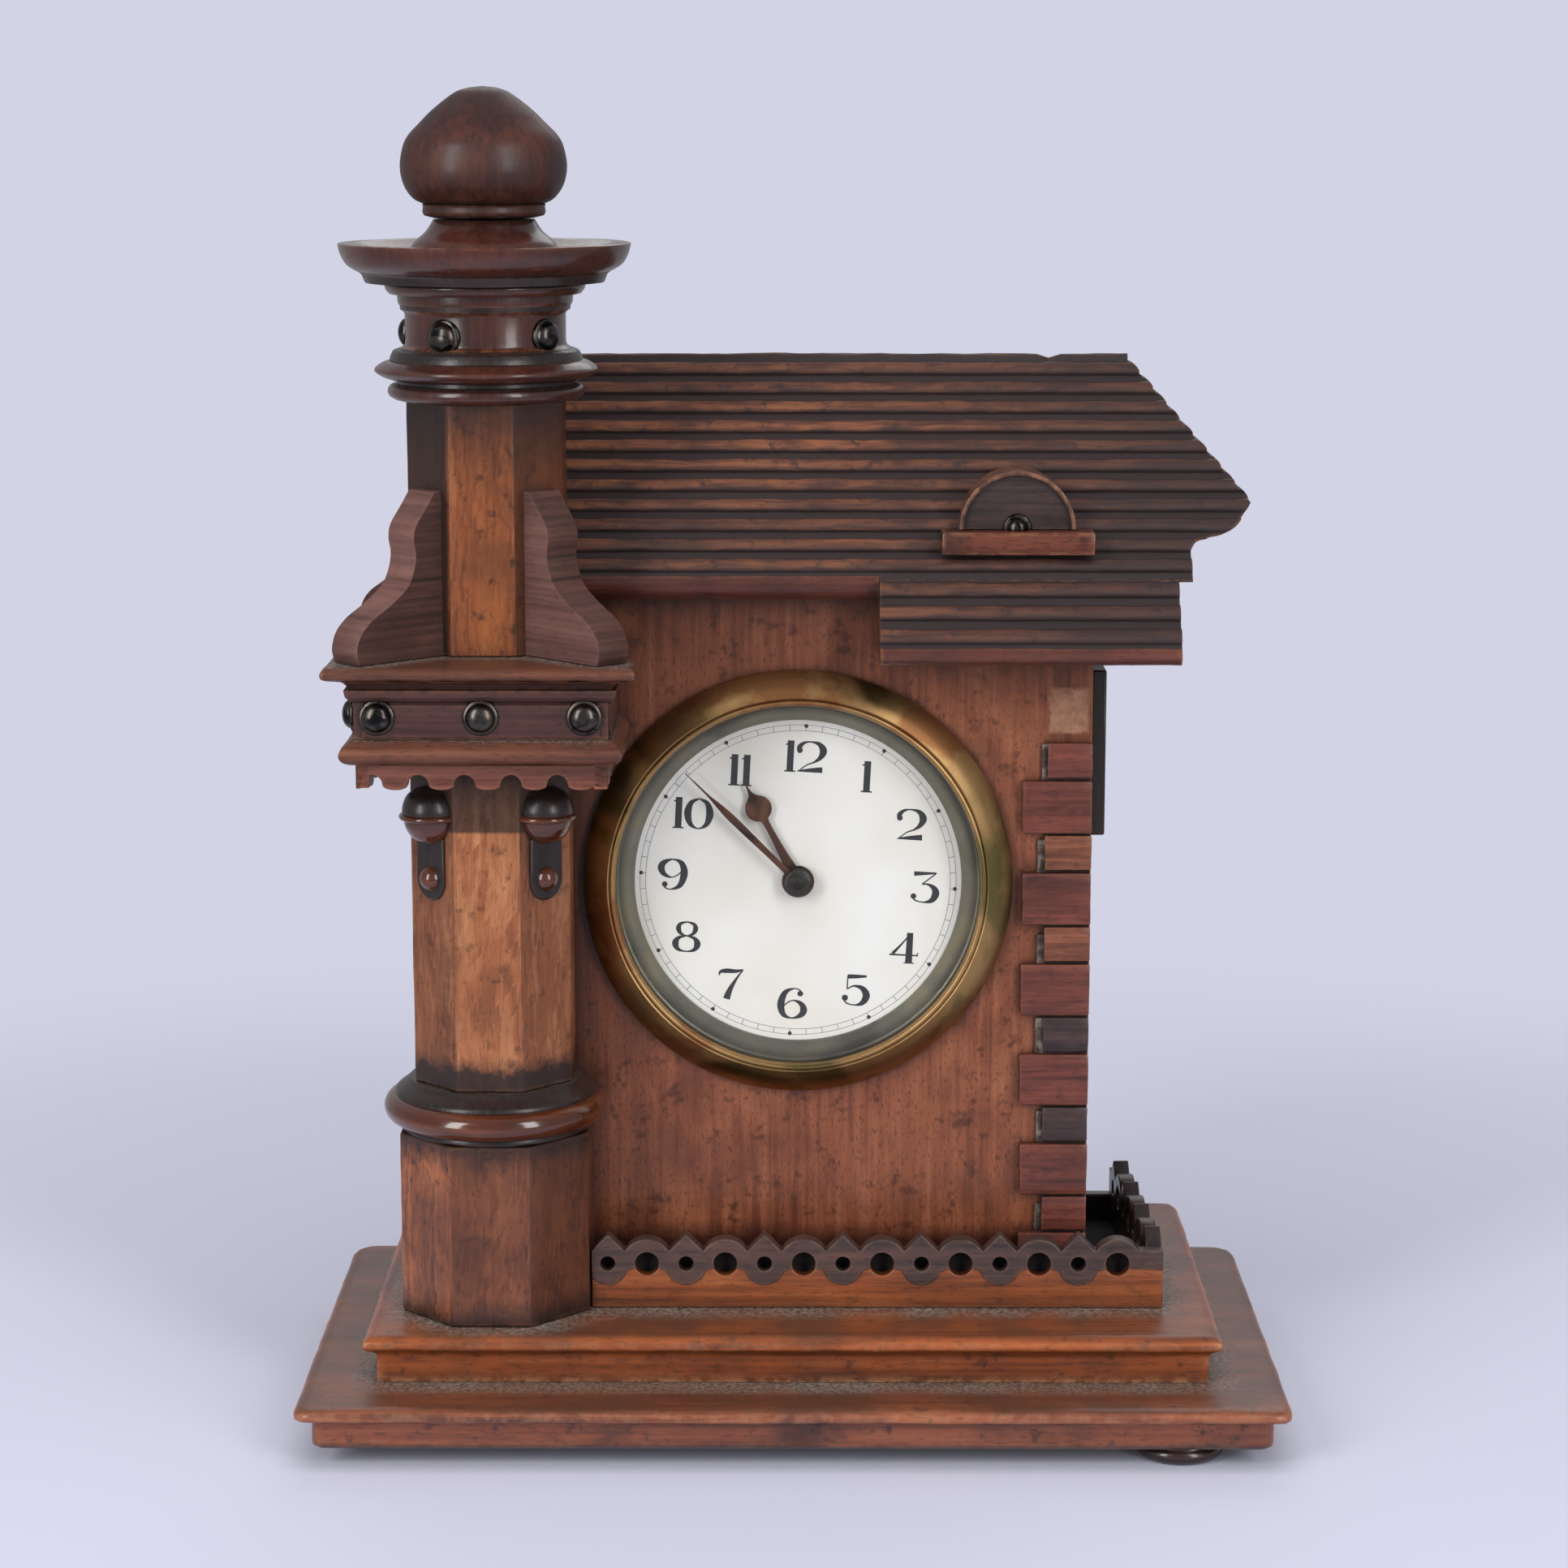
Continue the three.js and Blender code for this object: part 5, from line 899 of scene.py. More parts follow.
@dataclass
class Shell:
    """Corners in millimetres and faces, grown ring by ring into one mesh."""

    corners: list[Spot] = field(default_factory=list)
    faces: list[tuple[int, ...]] = field(default_factory=list)

    def ring(self, points: Sequence[Spot]) -> list[int]:
        """Adds a ring of corners.

        Args:
            points: where they are, in millimetres.

        Returns:
            Their numbers.
        """
        start = len(self.corners)
        self.corners += [tuple(p) for p in points]
        return list(range(start, len(self.corners)))

    def patch(self, points: Sequence[Spot]) -> None:
        """Adds one flat face."""
        self.faces.append(tuple(self.ring(points)))

    def skin(self, rings: Sequence[list[int]], capped: bool = True, joined: bool = False) -> None:
        """Covers rings that follow each other.

        Args:
            rings: rings of equal length.
            capped: whether the first and last ring are filled.
            joined: whether the last ring meets the first.
        """
        for low, high in closed(rings) if joined else zip(rings, rings[1:]):
            self.faces += [(a, b, d, c) for (a, b), (c, d) in zip(closed(low), closed(high))]
        if capped and not joined:
            self.faces += [tuple(reversed(rings[0])), tuple(rings[-1])]

    def prism(self, outline: Sequence[Flat], z0: float, z1: float, ease: float, step: float = 4.0) -> Shell:
        """Adds an upright block with eased edges.

        Args:
            outline: its plan, anticlockwise.
            z0: its foot.
            z1: its top.
            ease: how far its top and bottom edges are rounded.
            step: the longest side to leave.

        Returns:
            This shell.
        """
        plan = spaced(outline, step)
        count = max(1, math.ceil((z1 - z0 - 2 * ease) / step))
        tuck = ease * 0.3
        levels = [(ease, z0), (tuck, z0 + tuck)]
        levels += [(0.0, z0 + ease + (z1 - z0 - 2 * ease) * i / count) for i in range(count + 1)]
        levels += [(tuck, z1 - tuck), (ease, z1)]
        self.skin([self.ring([(x, y, z) for x, y in drawn_in(plan, inset)]) for inset, z in levels])
        return self

    def slab(self, plan: Sequence[float], profile: Sequence[Flat], back: bool, corner: float) -> Shell:
        """Adds a moulded board.

        Args:
            plan: left, right, front and back at its widest.
            profile: pairs of inset and height, from the foot up.
            back: whether the moulding runs along the back too.
            corner: radius of its corners in plan.

        Returns:
            This shell.
        """
        x0, x1, y0, y1 = plan
        longest_side, tightest, shrink = 3.0, 0.2, 0.4
        rings: list[list[int]] = []
        counts: list[int] = []
        for inset, z in profile:
            sides = rectangle(x0 + inset, x1 - inset, y0 + inset, y1 - (inset if back else 0.0))
            counts = counts or [max(1, math.ceil(math.dist(a, b) / longest_side)) for a, b in closed(sides)]
            radius = max(tightest, corner - inset * shrink)
            rounds = [eased([sides[i - 1], sides[i], sides[(i + 1) % 4]], radius)[1:-1] for i in range(4)]
            outline: list[Flat] = []
            for (here, after), count in zip(closed(rounds), counts):
                (u0, v0), (u1, v1) = here[-1], after[0]
                outline += here
                for k in range(1, count):
                    outline.append((u0 + (u1 - u0) * k / count, v0 + (v1 - v0) * k / count))
            rings.append(self.ring([(x, y, z) for x, y in outline]))
        self.skin(rings)
        return self

    def turned(
        self, profile: Sequence[Flat], centre: Spot, ways: Sequence[Spot] = Way.UPRIGHT.value, sides: int = 72
    ) -> Shell:
        """Adds a turned form.

        Args:
            profile: pairs of radius and place along the axis.
            centre: where its axis starts.
            ways: the two ways across it and the way along its axis.
            sides: sides round it.

        Returns:
            This shell.
        """
        rings = []
        for radius, along in profile:
            wide = max(radius, THIN)
            reaches = [(wide * math.cos(t), wide * math.sin(t), along) for t in around(sides)]
            rings.append(self.ring([
                tuple(c + sum(r * way[i] for r, way in zip(reach, ways)) for i, c in enumerate(centre))
                for reach in reaches
            ]))
        self.skin(rings, joined=profile[0] == profile[-1])
        return self

    def mesh(self, name: str, crease: Crease = Crease.USUAL) -> Mesh:
        """Makes the mesh, in metres.

        Args:
            name: the mesh's name.
            crease: which edges stay sharp.

        Returns:
            The new mesh.
        """
        mesh = bpy.data.meshes.new(name)
        mesh.from_pydata([[c * MM for c in corner] for corner in self.corners], [], self.faces)
        finish_mesh(mesh, crease)
        return mesh


def stand(x: float, y: float, z: float, turn: float = 0.0, behind: float = 0.0, axis: Axis = Axis.Z) -> Matrix:
    """Stands an outline up so that it faces the front, and then turns it.

    Args:
        x: the place that it turns about, in millimetres.
        y: that place's depth.
        z: that place's height.
        turn: how far it turns, in degrees.
        behind: how far behind that place its middle is.
        axis: the axis that it turns about.

    Returns:
        From the outline's plane in metres to the clock.
    """
    upright = Matrix(((1, 0, 0, 0), (0, 0, -1, behind * MM), (0, 1, 0, 0), (0, 0, 0, 1)))
    place = Matrix.Translation((x * MM, y * MM, z * MM))
    return place @ Matrix.Rotation(math.radians(turn), 4, axis.name) @ upright


def extruded(name: str, outline: Sequence[Flat], start: float, end: float, axis: Axis) -> Mesh:
    """A plain prism along X from a section in Y and Z, or along Y from one in X and Z.

    Args:
        name: the mesh's name.
        outline: its section.
        start: where it starts on the axis.
        end: where it ends.
        axis: the axis that it runs along.

    Returns:
        The new mesh.
    """
    shell = Shell()
    ends = ([(at, a, b) if axis is Axis.X else (a, at, b) for a, b in outline] for at in (start, end))
    shell.skin([shell.ring(points) for points in ends])
    return shell.mesh(name)


def sliced(mesh: Mesh, start: float, end: float) -> None:
    """Cuts a mesh across at even steps in X, so that its long edges can wear.

    Args:
        mesh: the mesh, in metres.
        start: where it begins along X, in millimetres.
        end: where it ends.
    """
    form = bmesh.new()
    form.from_mesh(mesh)
    count = int((end - start) / SLICE)
    for i in range(1, count):
        at = Vector(((start + (end - start) * i / count) * MM, 0.0, 0.0))
        every = [*form.verts, *form.edges, *form.faces]
        bmesh.ops.bisect_plane(form, geom=every, dist=WELD / 10, plane_co=at, plane_no=(1.0, 0.0, 0.0))
    form.to_mesh(mesh)
    form.free()


@dataclass
class Assembly:
    """A group of pieces that ride on the CAD frame."""

    finishes: dict[str, Material]
    nodes: dict[str, Object]

    def fit(self, piece: Object, slot: Slot, *stands_for: str, body: str = CASE) -> None:
        """Sets a piece on its body and hides the CAD nodes that it stands for.

        Args:
            piece: the piece.
            slot: not used.
            stands_for: CAD nodes that it replaces.
            body: the CAD body that it rides on.
        """
        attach(piece, body)
        if stands_for:
            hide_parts(*stands_for)
        LOG.info("%s rides on %s", piece.name, body)

    def make(
        self, shell: Shell, name: str, finish: str, slot: Slot, *stands_for: str,
        crease: Crease = Crease.USUAL, waves: Flat | None = None, body: str = CASE,
    ) -> None:
        """Makes a shell into a piece and fits it.

        Args:
            shell: its form.
            name: the piece's name.
            finish: the finish's short name.
            slot: the record's slot.
            stands_for: CAD nodes that it replaces.
            crease: which edges stay sharp.
            waves: how deep and how wide its surface waves, in millimetres.
            body: the CAD body that it rides on.
        """
        mesh = shell.mesh(name, crease)
        if waves is not None:
            weathered(mesh, *waves)
        self.fit(placed(name, mesh, self.finishes[finish]), slot, *stands_for, body=body)

    def saw(
        self, name: str, outlines: Sequence[Sequence[Flat]], board: Flat, place: Matrix, finish: str,
        slot: Slot, node: str, body: str = CASE,
    ) -> None:
        """Saws a board to an outline, eases its edges and fits it.

        Args:
            name: the piece's name.
            outlines: the outline and then the holes in it, in millimetres.
            board: its thickness, and how far its edges are rounded.
            place: from the outline's plane to the clock, in metres.
            finish: short name of its finish, and after a space that of its sawn edge if that differs.
            slot: the record's slot.
            node: the CAD node that it replaces.
            body: the CAD body that it rides on.
        """
        thick, ease = board
        curve = bpy.data.curves.new(name, "CURVE")
        curve.dimensions, curve.fill_mode = "2D", "BOTH"
        curve.extrude, curve.bevel_depth = (thick / 2 - ease) * MM, ease * MM
        curve.bevel_resolution, curve.offset = 2, -ease * MM
        for i, outline in enumerate(outlines):
            twice_area = sum(a[0] * b[1] - b[0] * a[1] for a, b in closed(outline))
            ordered = list(outline) if (twice_area > 0) == (i == 0) else list(reversed(outline))
            line = curve.splines.new("POLY")
            line.points.add(len(ordered) - 1)
            for point, (u, v) in zip(line.points, ordered):
                point.co = (u * MM, v * MM, 0.0, 1.0)
            line.use_cyclic_u = True
        holder = bpy.data.objects.new(name, curve)
        bpy.context.scene.collection.objects.link(holder)
        mesh = as_seen(holder)
        bpy.data.objects.remove(holder)
        bpy.data.curves.remove(curve)
        mesh.transform(place)
        finish_mesh(mesh, Crease.USUAL)
        keys = finish.split()
        piece = placed(name, mesh, *(self.finishes[key] for key in keys))
        facing = (place.to_3x3() @ Vector((0.0, 0.0, 1.0))).normalized()
        flat, sawn = 0.99, 0.8
        for face in mesh.polygons:
            level = abs(face.normal.dot(facing))
            face.use_smooth = level < flat
            face.material_index = int(len(keys) > 1 and level < sawn)
        self.fit(piece, slot, node, body=body)

    def softened(self, node: str, finish: str, slot: Slot, ease: float, body: str = CASE) -> None:
        """Copies a CAD node, eases its edges and stands the copy for it.

        Args:
            node: the CAD node.
            finish: the finish's short name.
            slot: the record's slot.
            ease: how far the edges are rounded, in millimetres.
            body: the CAD body that it rides on.
        """
        flat_angle, edge_angle = math.radians(1), math.radians(40)
        mesh = self.nodes[node].data.copy()
        form = bmesh.new()
        form.from_mesh(mesh)
        bmesh.ops.remove_doubles(form, verts=form.verts, dist=WELD)
        bmesh.ops.dissolve_limit(form, angle_limit=flat_angle, verts=form.verts, edges=form.edges)
        sharp = [e for e in form.edges if len(e.link_faces) == 2 and e.calc_face_angle(0.0) > edge_angle]
        rounding = {"segments": 2, "profile": 0.5, "affect": "EDGES", "clamp_overlap": True}
        bmesh.ops.bevel(form, geom=sharp, offset=ease * MM, **rounding)
        form.to_mesh(mesh)
        form.free()
        finish_mesh(mesh, Crease.USUAL)
        self.fit(placed(f"{node}_eased", mesh, self.finishes[finish]), slot, node, body=body)

    def dress(self, finish: str, *names: str) -> None:
        """Gives CAD nodes that stay in view a finish of their own.

        Args:
            finish: the finish's short name.
            names: the nodes.
        """
        for name in names:
            mesh = self.nodes[name].data
            mesh.materials.clear()
            mesh.materials.append(self.finishes[finish])
            LOG.info("%s keeps its CAD form", name)


@dataclass
class Base(Assembly):
    """Two moulded boards, a black sheet of painted shade on the terrace and four bun feet."""

    half_lower: float = 101.0
    half_upper: float = 88.2
    front: float = -55.0
    step: float = 14.6
    back: float = 55.0
    floor: Flat = (24.02, 24.5)
    feet: tuple[tuple[str, float, float], ...] = (
        ("front_left", -79.3, -32.0), ("front_right", 79.3, -41.0),
        ("back_left", -79.3, 41.0), ("back_right", 79.3, 41.0),
    )

    def build(self) -> None:
        """Builds and dresses the boards, the floor and the feet."""
        lower = eased([(4.6, 4.0), (3.4, 4.9), (3.4, 9.7), (2.5, 10.0), (1.6, 10.5), (0.0, 11.0), (0.0, 12.4),
                       (1.0, 13.3), (2.6, 13.6), (9.0, 13.6)], 0.55)
        upper = eased([(2.7, 13.7), (2.7, 19.4), (2.2, 20.0), (1.4, 20.6), (0.5, 21.0), (0.0, 21.5),
                       (0.1, 22.6), (1.3, 23.6), (2.4, 24.0), (9.0, 24.0)], 0.5)
        rows = (
            ("lower", "base", self.half_lower, self.front, lower, 3.6, (0.22, 7.0)),
            ("upper", "board", self.half_upper, self.front + self.step, upper, 0.8, (0.2, 6.0)),
        )
        for level, finish, half, front, profile, corner, waves in rows:
            shell = Shell().slab((-half, half, front, self.back), profile, False, corner)
            name, node = f"base_{level}_board", f"base_{level}"
            self.make(shell, name, finish, Slot.DARK, node, crease=Crease.MOULDED, waves=waves)
        # The terrace floor is a black sheet of painted shade.
        deck = [(-41.0, -17.2), (75.4, -17.2), (72.8, 41.0), (63.0, 41.0), (63.0, -8.6), (-41.0, -8.6)]
        shell = Shell().prism(deck, *self.floor, 0.1, 3.0)
        waves = (0.1, 5.0)
        self.make(shell, "terrace_floor", "shade", Slot.DARK, "base_upper", crease=Crease.BLOCK, waves=waves)
        bun = eased([(0.0, 0.0), (8.0, 0.0), (9.2, 1.2), (9.2, 2.4), (8.4, 3.3), (8.4, 3.9), (0.0, 3.9)], 0.7)
        for name, x, y in self.feet:
            shell = Shell().turned(bun, (x, y, 0.0), sides=48)
            self.make(shell, f"bun_foot_{name}", "turned", Slot.EBONISED, f"foot_{name}")


@dataclass
class House(Assembly):
    """The veneered front, plain walls, quoins and the bay on the right."""

    right: float = 62.2
    face: float = -5.6
    foot: float = 24.1
    backing: float = 116.2
    lowest: float = 25.2
    long: Flat = (14.5, 11.2)
    short: Flat = (9.6, 7.6)
    joint: float = 0.35
    pairs: int = 6
    proud: float = 2.2
    short_tones: tuple[str, ...] = ("quoin", "black_quoin", "black_quoin", "pale_quoin", "pale_quoin", "quoin")

    def build(self) -> None:
        """Builds and dresses the walls and what is on them."""
        self.softened("front_panel", "veneer", Slot.WALNUT, 0.5)
        for node in ("left_wall", "right_wall", "back_panel"):
            self.softened(node, "panel", Slot.WALNUT, 0.5)
        self.softened("side_bay", "ebony", Slot.EBONISED, 0.4)
        blocks = {tone: Shell() for tone in ("quoin", "pale_quoin", "black_quoin")}
        edges = Shell()
        for i in range(self.pairs):
            z = self.lowest + i * (self.long[1] + self.short[1] + 2 * self.joint)
            for k, (width, height) in enumerate((self.long, self.short)):
                # No two blocks stand equally proud or are equally long.
                tone = self.short_tones[i] if k else "quoin"
                proud = self.proud + 0.35 * noise.noise((i * 3.1, k * 5.7, 0.4)) - (0.5 if k else 0.0)
                x0 = self.right - width + 0.5 * noise.noise((i * 1.7, k * 2.3, 4.2))
                plan = eased(rectangle(x0, self.right, self.face - proud, self.face), 0.35, 2, True)
                blocks[tone].prism(plan, z + 0.1, z + height - 0.1, 0.35, 2.5)
                if k:
                    wide = 1.6 + 0.9 * noise.noise((i * 2.3, 0.7, 1.1))
                    plan = eased(rectangle(x0 - wide, x0 + 0.4, self.face - 0.8, self.face), 0.3, 2, True)
                    edges.prism(plan, z - 0.5, z + height * (0.75 + 0.1 * (i % 3)), 0.25, 0.8)
                z += height + self.joint
        rows = [(shell, f"{tone}_blocks", tone, (0.16, 4.0)) for tone, shell in blocks.items()]
        for shell, name, finish, waves in (*rows, (edges, "quoin_glue_edges", "glue", (0.35, 1.6))):
            self.make(shell, name, finish, Slot.DARK, "quoin_strip", crease=Crease.BLOCK, waves=waves)
        plan = rectangle(self.right - self.short[0], self.right - 0.3, self.face - 0.7, self.face)
        shell = Shell().prism(plan, self.foot, self.foot + self.backing, 0.2)
        self.make(shell, "quoin_backing", "ebony", Slot.DARK, "quoin_strip")


@dataclass
class Roof(Assembly):
    """The ribbed main roof with its hip, the lower roof and the dormer."""

    left: float = -52.1
    ridge_right: float = 70.4
    tip: Flat = (94.2, 191.5)
    body_right: float = 81.6
    base: float = 172.2
    eave_top: float = 177.4
    eave_step: float = 1.2
    ridge_top: float = 220.4
    ridge_y: float = 21.5
    ridge_flat: float = 3.0
    eave_front: float = -13.0
    eave_back: float = 55.0
    eave_left: float = -46.0
    ribs: int = 11
    hip_ribs: int = 9
    pent_ribs: int = 3
    lift: float = 1.25
    hip_lift: float = 0.5
    share: float = 0.66
    pent: Flat = (17.6, 78.6)
    pent_drop: float = 17.0
    pent_nose: float = 3.6
    wall: float = -5.6
    notch: Spot = (31.6, -62.0, -14.5)
    chip: Spot = (54.0, 2.2, 0.9)
    smooth: float = 0.4
    rib_waves: Flat = (0.26, 6.0)
    eave_waves: Flat = (0.2, 8.0)
    dormer_x: float = 45.9
    dormer_deep: float = 12.0
    sill_top: float = 186.4
    sill_thick: float = 4.7
    sill_half: float = 15.7

    def ribbed(self, start: Flat, end: Flat, count: int, lift: float) -> list[Flat]:
        """Rounded ribs along a slope.

        Args:
            start: the slope's first point.
            end: its last point.
            count: ribs between them.
            lift: how far they stand up.

        Returns:
            The points of the ribbed line.
        """
        along = (Vector(end) - Vector(start)) / count
        way = along.normalized()
        out = Vector((-way.y, way.x))
        points = []
        for i in range(count):
            for turn in range(0, 181, 20):
                s = 0.5 - self.share / 2 * math.cos(math.radians(turn))
                rise = lift * math.sin(math.radians(turn)) ** 0.8
                spot = Vector(start) + along * (i + s) + out * rise
                points.append((spot.x, spot.y))
        return points

    def mark_crests(self, mesh: Mesh, slopes: Sequence[tuple[Vector, Vector]], floor: float) -> None:
        """Notes how far each corner stands up a rib, for the finish.

        Args:
            mesh: the ribbed mesh, in metres.
            slopes: a point and an outward way for each ribbed slope, in millimetres.
            floor: the height in millimetres under which the wood is smooth.
        """
        plain_tone = 0.62
        marks = mesh.attributes.new("crest", "FLOAT", "POINT")
        for vertex, mark in zip(mesh.vertices, marks.data):
            spot = vertex.co / MM
            rise = max((spot - point).dot(way) for point, way in slopes) / self.lift
            plain = spot.z < floor or spot.z > self.ridge_top - self.smooth
            mark.value = plain_tone if plain else max(0.0, min(1.0, rise))

    def aged(self, mesh: Mesh, name: str, finish: str, node: str, waves: Flat) -> None:
        """Finishes a mesh of the roof and fits it. The sawn ends of a ribbed one are plain.

        Args:
            mesh: the mesh, in metres.
            name: the piece's name.
            finish: the finish's short name.
            node: the CAD node that it belongs to.
            waves: how deep and how wide its surface waves, in millimetres.
        """
        finish_mesh(mesh, Crease.BLOCK)
        weathered(mesh, *waves)
        piece = placed(name, mesh, self.finishes[finish])
        if finish == "roof":
            mesh.materials.append(self.finishes["panel"])
            sideways = 0.95
            for face in mesh.polygons:
                face.material_index = int(abs(face.normal.x) > sideways and face.area > BROAD * MM * MM)
        self.fit(piece, Slot.WALNUT, node)

    def moulded(self, name: str, node: str, nose: Sequence[Flat], start: float, end: float) -> None:
        """Lays a smooth moulding over the nose of an eave.

        Args:
            name: the piece's name.
            node: the CAD node that it belongs to.
            nose: the eave's edge in Y and Z, from the bottom up.
            start: where the moulding begins along X.
            end: where it ends.
        """
        deep, low, high = nose[0][0] + 2.4, nose[0][1], nose[-1][1] - 0.1
        section = [*((y - 0.15, z) for y, z in nose), (deep, high), (deep, low)]
        mesh = extruded(name, section, start, end, Axis.X)
        sliced(mesh, start, end)
        self.aged(mesh, name, "eave", node, self.eave_waves)

    def build(self) -> None:
        """Builds and dresses both roofs and the dormer."""
        top = self.ridge_top - self.lift
        near, far = self.ridge_y - self.ridge_flat / 2, self.ridge_y + self.ridge_flat / 2
        front, back = (self.eave_front, self.eave_top), (self.eave_back, self.eave_top)
        rise = ((2.6, 0.0), (1.4, 0.6), (0.0, 2.0), (-0.5, 3.6))
        eave = flowing([*((self.eave_front + y, self.base + z) for y, z in rise), front], 4)
        cap = eased([(near, top), (near, self.ridge_top), (far, self.ridge_top), (far, top)], 0.5)
        section = [
            *eave[:-1], *self.ribbed(front, (near, top), self.ribs, self.lift), *cap,
            *self.ribbed((far, top), back, self.ribs, self.lift), back, (self.eave_back, self.base),
        ]
        hip_top = (self.ridge_right, top)
        cove = flowing([self.tip, (92.9, 189.4), (90.8, 186.9), (88.2, 185.3), (85.0, 184.6), (82.5, 184.0),
                        (81.4, 182.4)], 4)
        under = self.eave_top - self.eave_step
        end = [
            (self.left, self.base), (self.left, self.ridge_top), (self.ridge_right, self.ridge_top), hip_top,
            *self.ribbed(hip_top, self.tip, self.hip_ribs, self.hip_lift), *cove,
            (self.body_right, under), (self.pent[1], under), (self.pent[1], self.base),
        ]
        mesh = self.carved(section, end)
        pitch = Vector((0.0, near - self.eave_front, top - self.eave_top)).normalized()
        fall = Vector((hip_top[1] - self.tip[1], 0.0, self.tip[0] - hip_top[0])).normalized()
        slopes = [
            (Vector((0.0, *front)), Vector((0.0, -pitch.z, pitch.y))),
            (Vector((0.0, *back)), Vector((0.0, pitch.z, pitch.y))),
            (Vector((hip_top[0], 0.0, hip_top[1])), fall),
        ]
        self.mark_crests(mesh, slopes, self.eave_top - self.smooth)
        chip_x, chip_half, chip_deep = self.chip
        for vertex in mesh.vertices:
            # An old chip out of the ridge.
            if vertex.co.z / MM > self.ridge_top - 1.0 and abs(vertex.co.x / MM - chip_x) < chip_half:
                vertex.co.z -= chip_deep * MM
        self.aged(mesh, "ribbed_roof", "roof", "roof_main", self.rib_waves)
        self.moulded("eave_moulding", "roof_main", eave, self.eave_left, self.pent[0] - 0.1)
        self.build_pent(pitch)
        self.build_dormer(pitch.z / pitch.y)

    def carved(self, section: Sequence[Flat], end: Sequence[Flat]) -> Mesh:
        """Cuts the main roof out of its section and its end view, with a notch for the turret.

        Args:
            section: the roof in Y and Z.
            end: the roof in X and Z.

        Returns:
            The new mesh, cut across at even steps.
        """
        past = 3.0
        flats, x, y = self.notch
        body = placed("roof_section", extruded("roof_section", section, self.left, self.tip[0] + past, Axis.X))
        across = extruded("roof_end", end, self.eave_front - past, self.eave_back + past, Axis.Y)
        shaft = Shell().prism(octagon(flats, x, y), 160.0, 230.0, 0.1).mesh("roof_notch")
        spent = [body]
        for operation, cutter in (("INTERSECT", across), ("DIFFERENCE", shaft)):
            spent.append(placed(cutter.name, cutter))
            meet = body.modifiers.new(operation, "BOOLEAN")
            meet.operation, meet.solver, meet.object = operation, "EXACT", spent[-1]
        mesh = as_seen(body)
        for piece in spent:
            bpy.data.objects.remove(piece)
        sliced(mesh, self.left, self.tip[0])
        return mesh

    def build_pent(self, pitch: Vector) -> None:
        """Builds the lower roof, which carries the front slope on down to a rounded nose.

        Args:
            pitch: the way up the front slope.
        """
        slope = pitch.z / pitch.y
        head, top = self.eave_front - 0.3, self.base - 0.1
        nose = self.eave_top - self.pent_drop + self.pent_nose
        join = self.eave_top - 0.5
        upper = (head - 0.5 / slope, join)
        lower = (head - (self.eave_top - nose) / slope, nose)
        curve = ((1.6, -self.pent_nose), (0.2, -3.3), (-0.9, -1.9))
        lip = flowing([*((lower[0] + y, nose + z) for y, z in curve), lower], 4)
        section = [
            (self.wall, top), (self.wall, nose - self.pent_nose), *lip[:-1],
            *self.ribbed(lower, upper, self.pent_ribs, self.lift), upper, (head, join), (head, top),
        ]
        mesh = extruded("pent_section", section, *self.pent, Axis.X)
        sliced(mesh, *self.pent)
        self.mark_crests(mesh, [(Vector((0.0, *lower)), Vector((0.0, -pitch.z, pitch.y)))], nose - self.smooth)
        self.aged(mesh, "ribbed_lower_roof", "roof", "pent_roof", self.rib_waves)
        self.moulded("lower_roof_nose", "pent_roof", lip, self.pent[0] + 0.05, self.pent[1] - 0.05)

    def build_dormer(self, slope: float) -> None:
        """Builds the arched dormer, its boss and the sill under it.

        Args:
            slope: the rise of the front slope.
        """
        x, z = self.dormer_x, self.sill_top + 0.1
        crest = self.lift * math.hypot(1, slope) + 0.3
        low = self.sill_top - self.sill_thick
        face, front = (
            self.eave_front + (height - self.eave_top - crest) / slope - proud
            for height, proud in ((self.sill_top, 2.2), (low, 2.6))
        )
        rim = [*arc(12.0, 0, 180, 40), *reversed(arc(11.1, 0, 180, 40))]
        rows = (
            ("dormer_rim", rim, 0.25, face, "rim"),
            ("dormer_field", arc(11.2, 0, 180, 40), 0.1, face + 1.1, "black_quoin"),
        )
        for name, outline, ease, near, finish in rows:
            place = stand(x, near + self.dormer_deep / 2, z)
            self.saw(name, [outline], (self.dormer_deep, ease), place, finish, Slot.DARK, "dormer_arch")
        dome = flowing([(0.0, -2.4), (0.9, -2.3), (1.7, -1.8), (2.1, -1.1), (2.2, -0.5), (2.7, -0.4),
                        (2.9, 0.0), (2.8, 0.6), (0.0, 0.6)], 3)
        shell = Shell().turned(dome, (x, face + 0.9, z + 0.3), Way.FRONT.value, 40)
        self.make(shell, "dormer_boss", "stud", Slot.DARK, "dormer_arch", crease=Crease.STUD)
        plan = eased(rectangle(x - self.sill_half, x + self.sill_half, front, front + 9.0), 0.5, 2, True)
        shell = Shell().prism(plan, low, self.sill_top, 0.5, 2.0)
        name, node, waves = "dormer_sill_board", "dormer_sill", (0.25, 3.5)
        self.make(shell, name, "sill", Slot.DARK, node, crease=Crease.BLOCK, waves=waves)


